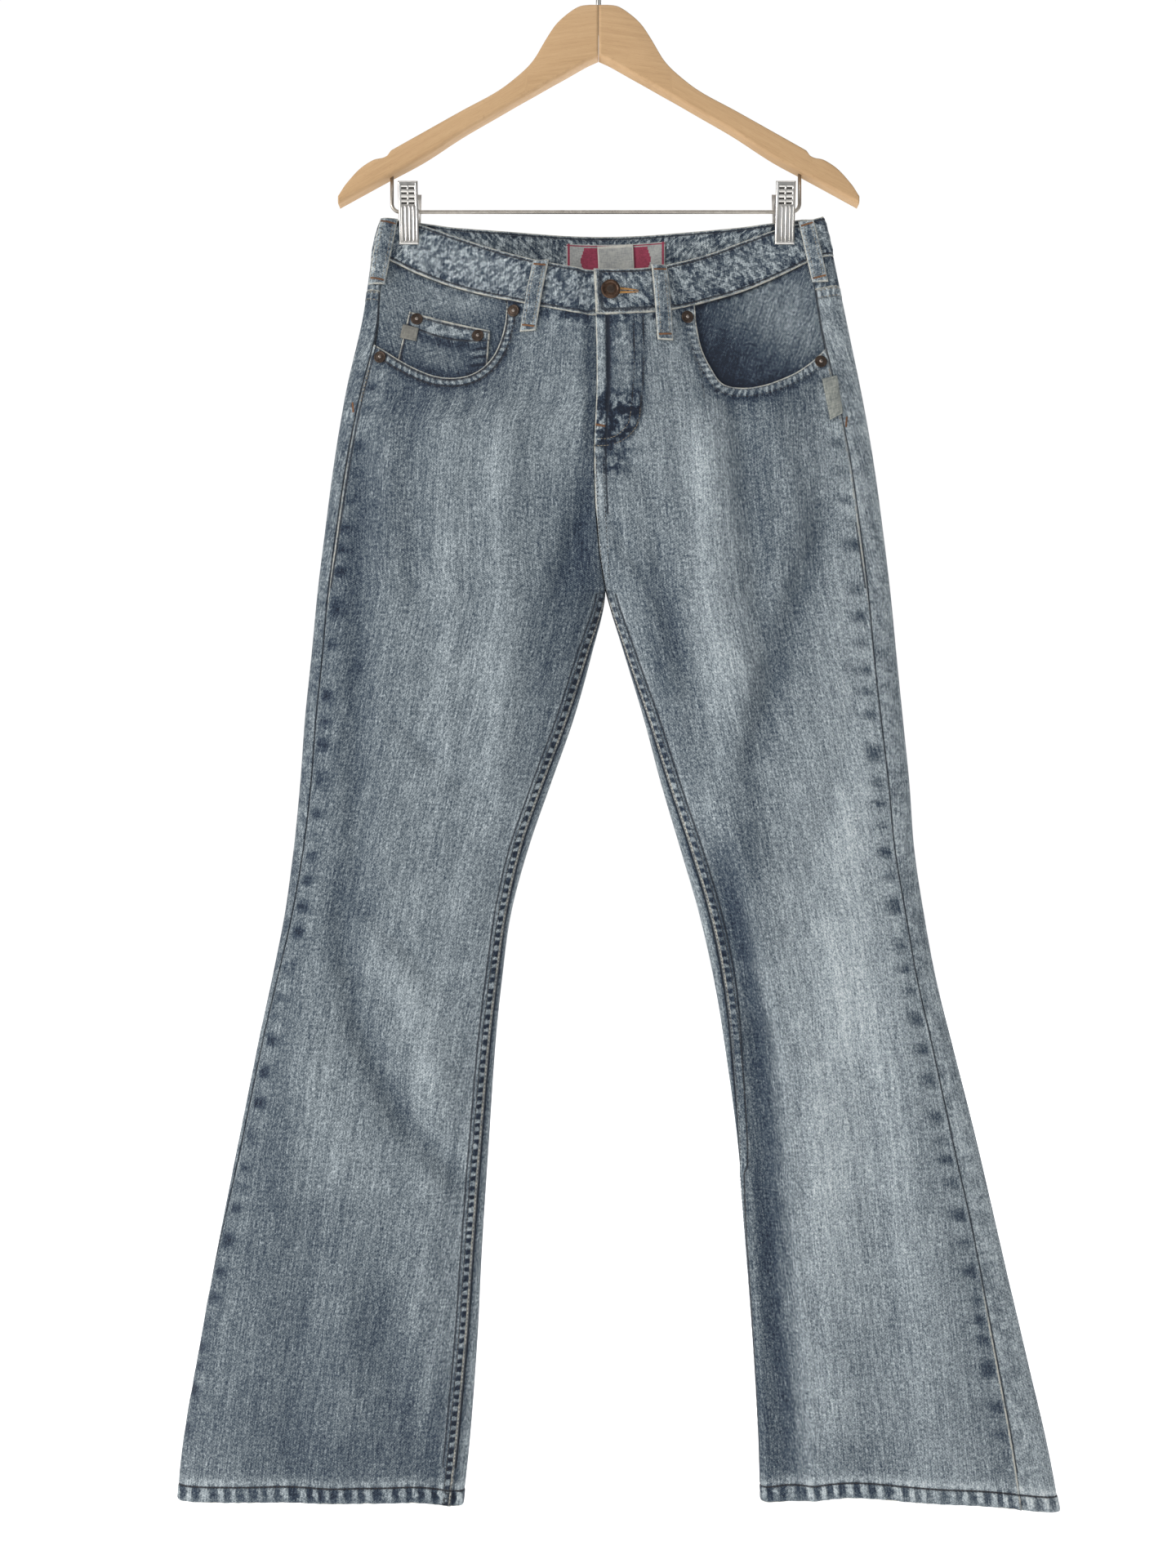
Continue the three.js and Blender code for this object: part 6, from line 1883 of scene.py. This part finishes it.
def hanger_arm(side):
    sign = -1 if side == "right" else 1
    steps = np.concatenate([np.linspace(0.15, 172, 70), np.linspace(173, 196, 30), np.linspace(198, 220, 20)])
    points = []
    grain = []
    for x in steps:
        notch = NOTCH_DEPTH * ease(175, 179, x) * (1 - ease(180, 191, x))
        top = float(read(ARM, "x", "top", x) + notch)
        low = float(read(ARM, "x", "low", x))
        corner = min(ARM_CORNER, 0.3 * (low - top))
        for quarter, (cy, cz) in enumerate(((1, 1), (-1, 1), (-1, -1), (1, -1))):
            for k in range(6):
                angle = math.pi / 2 * (quarter + k / 5)
                y = cy * (ARM_HALF_THICKNESS - corner) + corner * math.cos(angle)
                middle = top + corner if cz > 0 else low - corner
                points.append((sign * x, y, -middle + corner * math.sin(angle)))
                # The grain follows the arm's slope
                slope = math.radians(29) if x > 60 else math.radians(8)
                drop = middle - 200
                along = x * math.cos(slope) + drop * math.sin(slope) + (900 if side == "left" else 0)
                grain.append((along, drop * math.cos(slope) - x * math.sin(slope), y))
    ring = 24
    faces = []
    for r in range(len(steps) - 1):
        for k in range(ring):
            after = (k + 1) % ring
            quad = (r * ring + k, r * ring + after, (r + 1) * ring + after, (r + 1) * ring + k)
            faces.append(quad if side == "right" else quad[::-1])
    last = (len(steps) - 1) * ring
    ends = [tuple(range(ring)), tuple(range(last + ring - 1, last - 1, -1))]
    faces += [end[::-1] if side == "right" else end for end in ends]
    piece = mesh_object("wood_arm_" + side, points, faces)
    attribute = piece.data.attributes.new("grain", "FLOAT_VECTOR", "POINT")
    attribute.data.foreach_set("vector", (np.array(grain) * METRES).ravel().astype(np.float32))
    piece.data.materials.append(WOOD)
    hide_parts("hanger_arm_" + side)


for side in ("right", "left"):
    hanger_arm(side)


# Bent wires
WIRE_RADIUS = 1.5
WIRE_X = {"right": -175.3, "left": 170.5}
WIRE_DROP = 235.2
WIRE_BEND = 7
WIRE_TOP_DROP = 196
HOOK_WIRE = 2.2
HOOK_RADIUS = 20
HOOK_SHANK_END = 84


def tube(points, radius, sides=20):
    points = [Vector(p) for p in points]
    positions = []
    side = Vector((0, 1, 0))
    for i, point in enumerate(points):
        along = (points[min(i + 1, len(points) - 1)] - points[max(i - 1, 0)]).normalized()
        first = (side - along * side.dot(along)).normalized()
        second = first.cross(along)
        for k in range(sides):
            angle = 2 * math.pi * k / sides
            positions.append(point + (first * math.cos(angle) + second * math.sin(angle)) * radius)
    faces = []
    for r in range(len(points) - 1):
        for k in range(sides):
            after = (k + 1) % sides
            faces.append((r * sides + k, (r + 1) * sides + k, (r + 1) * sides + after, r * sides + after))
    last = (len(points) - 1) * sides
    faces.append(tuple(range(sides)))
    faces.append(tuple(range(last + sides - 1, last - 1, -1)))
    return positions, faces


def arc(x, drop, radius, start, end, count):
    angles = np.radians(np.linspace(start, end, count))
    return [(x + radius * math.cos(a), 0, -drop + radius * math.sin(a)) for a in angles]


def wire_piece(name, node, points, radius, material):
    positions, faces = tube(points, radius)
    piece = mesh_object(name, [tuple(p) for p in positions], faces)
    piece.data.materials.append(material)
    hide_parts(node)


crown = arc(0, HOOK_RADIUS, HOOK_RADIUS + HOOK_WIRE, 170, -52, 60)
neck_x, _, neck_z = crown[-1]
neck_rows = {
    "at": np.array([0.0, 1, 2, 3]),
    "x": np.array([neck_x, neck_x * 0.55, neck_x * 0.18, 0]),
    "z": np.array([neck_z, neck_z - 4.5, neck_z - 8.2, neck_z - 13]),
}
neck_at = np.linspace(0, 3, 16)[1:]
neck = [(float(read(neck_rows, "at", "x", a)), 0, float(read(neck_rows, "at", "z", a))) for a in neck_at]
wire_piece("steel_hook", "hanger_hook", crown + neck + [(0, 0, -HOOK_SHANK_END)], HOOK_WIRE, STEEL)

low_right = arc(WIRE_X["right"] + WIRE_BEND, WIRE_DROP - WIRE_BEND, WIRE_BEND, 180, 270, 12)
low_left = arc(WIRE_X["left"] - WIRE_BEND, WIRE_DROP - WIRE_BEND, WIRE_BEND, 270, 360, 12)
span = [(x, 0, -WIRE_DROP) for x in np.linspace(WIRE_X["right"] + 20, WIRE_X["left"] - 20, 24)]
rod_start, rod_end = ((WIRE_X[side], 0, -WIRE_TOP_DROP) for side in ("right", "left"))
rod = [rod_start, *low_right, *span, *low_left, rod_end]
wire_piece("steel_rod", "clip_wire", rod, WIRE_RADIUS, WIRE_STEEL)


# Clips: pressed steel jaws with ribs and two columns of grip slots
JAW_WIDTH = 16.6
JAW_WALL = 1.1
JAW_TIP_GAP = 4.4
CLIPS = {"right": -160.2, "left": 157}
JAW_SIDE = table(
    "drop y",
    [(214.8, 12), (220, 11.4), (236, 8.2), (250, 5.4), (258, JAW_TIP_GAP), (264.8, JAW_TIP_GAP)],
)
EAR_WALL = 0.9
EAR = [(8.9, -229), (10.4, -229), (7.4, -245), (5.4, -241.4), (-2.6, -238.6), (-2.6, -231.8)]
RIB_COUNT = 4
RIB_HALF_SPAN = 6.6
SLOT_ROWS = (220.6, 224.5, 228.4, 232.3)
SLOT_COLUMNS = (-3.1, 3.1)
RIB_START = 235
RIB_END = 262.4


def flat_box(value, low, high, soft):
    return ease(low - soft, low + soft, value) * (1 - ease(high - soft, high + soft, value))


def jaw(name, node, middle, front):
    face = -1 if front else 1
    across = np.concatenate([[-8.3, -8.15, -7.8, -7.3], np.linspace(-6.9, 6.9, 49), [7.3, 7.8, 8.15, 8.3]])
    tip = [263.9, 264.4, 264.7, 264.8]
    drops = np.concatenate([[214.8, 215.1, 215.7, 216.5], np.linspace(217.2, 263.2, 92), tip])
    u, drop = np.meshgrid(across, drops)
    base = read(JAW_SIDE, "drop", "y", drop)
    edge = np.minimum(JAW_WIDTH / 2 - np.abs(u), np.minimum(drop - 214.8, 264.8 - drop))
    rib_part = (u + RIB_HALF_SPAN) / (2 * RIB_HALF_SPAN) * RIB_COUNT
    round_rib = np.sqrt(np.clip(1 - (2 * (rib_part - np.floor(rib_part)) - 1) ** 2, 0, 1))
    in_ribs = flat_box(u, -RIB_HALF_SPAN, RIB_HALF_SPAN, 0.25)
    ribs = in_ribs * flat_box(drop, RIB_START, RIB_END, 0.7)
    slots = np.zeros(u.shape)
    for row in SLOT_ROWS:
        for column in SLOT_COLUMNS:
            here = flat_box(u, column - 2.5, column + 2.5, 0.3) * flat_box(drop, row - 1.05, row + 1.05, 0.3)
            slots = np.maximum(slots, here)
    rim = 0.3 * flat_box(edge, 0.9, 1.9, 0.35)
    height = -1.0 * np.clip(1 - edge / 1.1, 0, 1) ** 2 + rim
    height += ribs * (0.95 * round_rib - 0.75) - 0.95 * slots
    tilt = math.cos(math.radians(12))
    outer = np.stack([middle + u, face * (base + JAW_WALL + 0.35 + height * tilt), -drop], axis=-1)
    inner = np.stack([middle + u, face * base, -drop], axis=-1)
    rows, columns = u.shape
    flip = (np.cross(outer[1, 0] - outer[0, 0], outer[0, 1] - outer[0, 0])[1] * face) < 0
    points = np.concatenate([outer.reshape(-1, 3), inner.reshape(-1, 3)])
    plate = (points, closed_faces(rows, columns, flip))
    ear_x = JAW_WIDTH / 2 - EAR_WALL if front else JAW_WIDTH / 2 - 2 * EAR_WALL - 0.35
    parts = [plate]
    count = len(EAR)
    for sign in (-1, 1):
        points = [(middle + sign * (ear_x + offset), face * y, z) for offset in (0, EAR_WALL) for y, z in EAR]
        polygons = [tuple(range(count)), tuple(range(2 * count - 1, count - 1, -1))]
        for k in range(count):
            nxt = (k + 1) % count
            polygons.append((k, nxt, nxt + count, k + count)[::-1])
        parts.append((points, polygons))
    positions, every = merged(parts)
    piece = mesh_object(name, positions, every)
    mesh = piece.data
    mesh.materials.append(STEEL)
    mesh.materials.append(SLOT_PAINTED_SHADE)
    # Faces in the slots and between the ribs take the painted shade
    middle_slots = slots[:-1, :-1] + slots[1:, 1:]
    dark = np.zeros(len(mesh.polygons), dtype=np.int32)
    between = (ribs > 0.5) & (round_rib < 0.42)
    between_ribs = between[:-1, :-1] & between[1:, :-1] & (between[:-1, 1:] | between[1:, 1:])
    darkened = (middle_slots > 1.5) | between_ribs
    dark[: (rows - 1) * (columns - 1)] = darkened.ravel().astype(np.int32)
    mesh.polygons.foreach_set("material_index", dark)
    smooth = np.zeros(len(mesh.polygons), dtype=bool)
    smooth[: len(plate[1])] = True
    mesh.polygons.foreach_set("use_smooth", smooth)
    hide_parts(node)


def coil(name, node, middle):
    half = JAW_WIDTH / 2 - 2 * EAR_WALL - 0.9
    turns = 7
    steps = np.linspace(0, 1, turns * 20)
    radius = WIRE_RADIUS + 0.35 + 0.75
    points = []
    for s in steps:
        angle = 2 * math.pi * turns * s
        x = middle - half + 0.8 + s * (2 * half - 1.6)
        points.append((x, radius * math.cos(angle), -WIRE_DROP + radius * math.sin(angle)))
    # The coil is swept in the plane across the rod
    rings = []
    for s, point in zip(steps, points):
        angle = 2 * math.pi * turns * s
        out = Vector((0, math.cos(angle), math.sin(angle)))
        for k in range(8):
            turn = 2 * math.pi * k / 8
            rings.append(Vector(point) + (out * math.cos(turn) + Vector((1, 0, 0)) * math.sin(turn)) * 0.75)
    faces = []
    for r in range(len(steps) - 1):
        for k in range(8):
            after = (k + 1) % 8
            faces.append((r * 8 + k, r * 8 + after, (r + 1) * 8 + after, (r + 1) * 8 + k))
    last = (len(steps) - 1) * 8
    faces.append(tuple(range(7, -1, -1)))
    faces.append(tuple(range(last, last + 8)))
    piece = mesh_object(name, [tuple(p) for p in rings], faces)
    piece.data.materials.append(WIRE_STEEL)
    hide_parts(node)


for side, middle in CLIPS.items():
    jaw(f"steel_jaw_{side}_front", f"clip_{side}_front_jaw", middle, True)
    jaw(f"steel_jaw_{side}_back", f"clip_{side}_back_jaw", middle, False)
    coil(f"steel_spring_{side}", f"clip_{side}_spring", middle)


# Labels: bare, or with a plain border and a plain field
def label_shell(name, node, outer, inner, materials, pick):
    rows, columns = outer.shape[:2]
    look = plain_look((rows, columns))
    size = np.array([np.linalg.norm(outer[0, -1] - outer[0, 0]), np.linalg.norm(outer[-1, 0] - outer[0, 0])])
    down, over = np.meshgrid(np.linspace(0, 1, rows), np.linspace(0, 1, columns), indexing="ij")
    weave = np.stack([over * size[0], down * size[1]], axis=-1)
    piece = shell(name, outer, inner, look, weave, materials[0], materials[0])
    mesh = piece.data
    for material in materials[2:]:
        mesh.materials.append(material)
    kinds = np.zeros(len(mesh.polygons), dtype=np.int32)
    count = (rows - 1) * (columns - 1)
    chosen = pick((over[:-1, :-1] + over[1:, 1:]) / 2, (down[:-1, :-1] + down[1:, 1:]) / 2)
    kinds[:count] = chosen.ravel()
    kinds[count : 2 * count] = chosen.ravel()
    mesh.polygons.foreach_set("material_index", kinds)
    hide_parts(node)
    return piece


def plain_pick(over, down):
    return np.zeros(over.shape)


def front_patch(leg, corners, lift, wall, rows, columns, wave):
    x, drop, over, down, turn = patch_grid(leg, True, corners, rows, columns, lambda over, down: 0 * over)
    edge = np.minimum(np.minimum(over, 1 - over) * columns, np.minimum(down, 1 - down) * rows) / 2
    swell = wave(over, down) - 0.25 * np.clip(1 - edge, 0, 1) ** 2
    outer = skin_at(leg, turn, drop, lift + wall + swell)
    inner = skin_at(leg, turn, drop, lift + 0 * x)
    return outer, inner


TAG_CORNERS = [(-164.8, 333.5), (-151.5, 337), (-153.5, 348.5), (-167, 345.5)]
SIDE_CORNERS = [(186.6, 382), (199.4, 378.2), (204.2, 410), (193.2, 416.5)]
outer, inner = front_patch(
    "right", TAG_CORNERS, ON_FACING + PATCH_WALL + SEAM_GAP, 0.9, 22, 24, lambda o, d: 0.12 * np.sin(3 * o)
)
coin_tag = label_shell(
    "label_tag", "coin_tag", outer, inner, [TAG_LEATHER, TAG_LEATHER, LABEL_PALE], plain_pick
)
outer, inner = front_patch(
    "left", SIDE_CORNERS, SEAM_GAP, 1.0, 40, 16, lambda o, d: 0.25 * np.sin(9 * d) * np.sin(np.pi * d) ** 2
)
side_label = label_shell(
    "label_side", "side_label", outer, inner, [LABEL_SIDE, LABEL_SIDE], plain_pick
)

BAND_INSIDE = BAND_PROUD - BAND_WALL


def inner_patch(corners, lift, wall, rows, columns, wave):
    """A label on the inner side of the back waistband, in two halves that meet at the middle seam."""
    down, over = np.meshgrid(np.linspace(0, 1, rows), np.linspace(0, 1, columns), indexing="ij")
    corners = np.array(corners, float)
    top = blend(corners[0], corners[1], over[..., None])
    low = blend(corners[3], corners[2], over[..., None])
    flat = blend(top, low, down[..., None])
    x, drop = flat[..., 0], flat[..., 1]
    outer = np.zeros((*x.shape, 3))
    inner = np.zeros((*x.shape, 3))
    for leg in ("right", "left"):
        mine = (x < BACK_CENTRE) == (leg == "right")
        turn = turn_at(leg, False, x[mine], drop[mine])
        shift = wave(over[mine], down[mine])
        outer[mine] = skin_at(leg, turn, drop[mine], BAND_INSIDE - lift - shift)
        inner[mine] = skin_at(leg, turn, drop[mine], BAND_INSIDE - lift - wall - shift)
    return outer, inner


INNER_CORNERS = [(-28, 254), (58, 254), (58, 282), (-28, 282)]
CARE_CORNERS = [(-1, 256), (30.5, 254.8), (33, 306), (1.5, 308)]


def bars(over, down):
    border = (np.abs(down - 0.06) < 0.02) | (np.abs(over - 0.02) < 0.008) | (np.abs(over - 0.98) < 0.008)
    banner = (np.abs(over - 0.5) < 0.36 - 0.1 * np.abs(down - 0.5)) & (down > 0.12) & (down < 0.8)
    return np.where(border | banner, 2, 0)


outer, inner = inner_patch(INNER_CORNERS, SEAM_GAP, 0.8, 30, 92, lambda o, d: 0 * o)
inner_label = label_shell(
    "label_inner", "inner_label", outer, inner, [LABEL_GREY, LABEL_GREY, LABEL_MAROON], bars
)
outer, inner = inner_patch(
    CARE_CORNERS, 2 * SEAM_GAP + 0.9, 0.8, 50, 32, lambda o, d: 0.5 * d * d * (1 + np.sin(5 * o + 3 * d)) / 2
)
care_label = label_shell(
    "label_care", "care_label", outer, inner, [LABEL_CARE, LABEL_CARE, LABEL_PALE],
    lambda o, d: np.where((np.abs(o - 0.5) > 0.46) | (d < 0.05), 2, 0),
)

# What each sheet of cloth was cut to: width and length in metres, and its area where it isn't a rectangle
CUTS = {
    "front_right": (0.262, 1.015, 0.205),
    "front_left": (0.255, 1.015, 0.195),
    "back_right": (0.31, 1.0, 0.252),
    "back_left": (0.315, 1.0, 0.258),
    "yoke_right": (0.2, 0.075, 0.0092),
    "yoke_left": (0.2, 0.075, 0.0092),
    "waistband": (0.86, 0.04, 0.0325),
    "pocket_facing_right": (0.135, 0.12, 0.0115),
    "pocket_facing_left": (0.14, 0.125, 0.0125),
    "coin_pocket": (0.076, 0.042, 0.0027),
    "back_pocket_right": (0.124, 0.155, 0.0170),
    "back_pocket_left": (0.124, 0.155, 0.0170),
}
for node, (width, length, area) in CUTS.items():
    piece = cloth[node]
for i in range(len(LOOPS["leg"])):
    piece = cloth[f"belt_loop_{i + 1}"]
    length = math.hypot(LOOPS["x1"][i] - LOOPS["x0"][i], LOOPS["drop1"][i] - LOOPS["drop0"][i])


# Camera at the photograph's viewing angle
CAMERA_PLACE = (-0.009, -1.05, -0.7205)
CAMERA_LENS = 28.41
camera_data = bpy.data.cameras.new("camera")
camera_data.lens = CAMERA_LENS
camera_data.sensor_width = 36
camera_data.clip_start = 0.01
camera = bpy.data.objects.new("camera", camera_data)
camera.location = CAMERA_PLACE
camera.rotation_euler = (math.radians(90), 0, 0)
bpy.context.scene.collection.objects.link(camera)
bpy.context.scene.camera = camera


# Floor and soft studio light
FLOOR_DROP = 1480


def stage():
    corners = [(-6000, -6000), (6000, -6000), (6000, 6000), (-6000, 6000)]
    positions = np.array([(x, y, -FLOOR_DROP) for x, y in corners])
    mesh = bpy.data.meshes.new("studio_floor")
    mesh.from_pydata((positions * METRES).tolist(), [], [(0, 1, 2, 3)])
    made = bpy.data.objects.new("studio_floor", mesh)
    bpy.context.scene.collection.objects.link(made)
    g = Graph("studio_white")
    g.surface.inputs["Base Color"].default_value = (0.9, 0.9, 0.9, 1)
    g.surface.inputs["Roughness"].default_value = 1
    g.surface.inputs["Specular IOR Level"].default_value = 0
    g.surface.inputs["Emission Color"].default_value = (1, 1, 1, 1)
    g.surface.inputs["Emission Strength"].default_value = 0.8
    mesh.materials.append(g.material)


stage()


def area_light(name, place, aim, size, power, colour=(1, 1, 1)):
    data = bpy.data.lights.new(name, "AREA")
    data.shape = "DISK"
    data.size = size
    data.energy = power
    data.color = colour
    made = bpy.data.objects.new(name, data)
    made.location = place
    made.rotation_mode = "QUATERNION"
    made.rotation_quaternion = (Vector(aim) - Vector(place)).to_track_quat("-Z", "Y")
    bpy.context.scene.collection.objects.link(made)


MIDDLE = (0, 0, -0.75)
area_light("key", (-2.6, -1.5, 0.3), MIDDLE, 1.0, 60, (1.0, 0.985, 0.965))
area_light("fill", (2.2, -2.4, -0.2), MIDDLE, 2.2, 8.2, (0.87, 0.945, 1.0))
area_light("top", (0, -0.8, 1.6), MIDDLE, 1.6, 10)
area_light("back", (1.4, 2.9, 0.1), MIDDLE, 2.0, 34, (0.985, 0.99, 1.0))
world = bpy.data.worlds.new("soft_room")
world.use_nodes = True
nodes = world.node_tree.nodes
links = world.node_tree.links
room = nodes["Background"]
room.inputs[0].default_value = (0.97, 0.985, 1.0, 1)
room.inputs[1].default_value = 0.24
plain = nodes.new("ShaderNodeBackground")
plain.inputs[0].default_value = (1, 1, 1, 1)
plain.inputs[1].default_value = 1.02
seen = nodes.new("ShaderNodeLightPath")
either = nodes.new("ShaderNodeMixShader")
links.new(seen.outputs["Is Camera Ray"], either.inputs[0])
links.new(room.outputs[0], either.inputs[1])
links.new(plain.outputs[0], either.inputs[2])
links.new(either.outputs[0], nodes["World Output"].inputs[0])
bpy.context.scene.world = world
bpy.context.scene.view_settings.view_transform = "Standard"
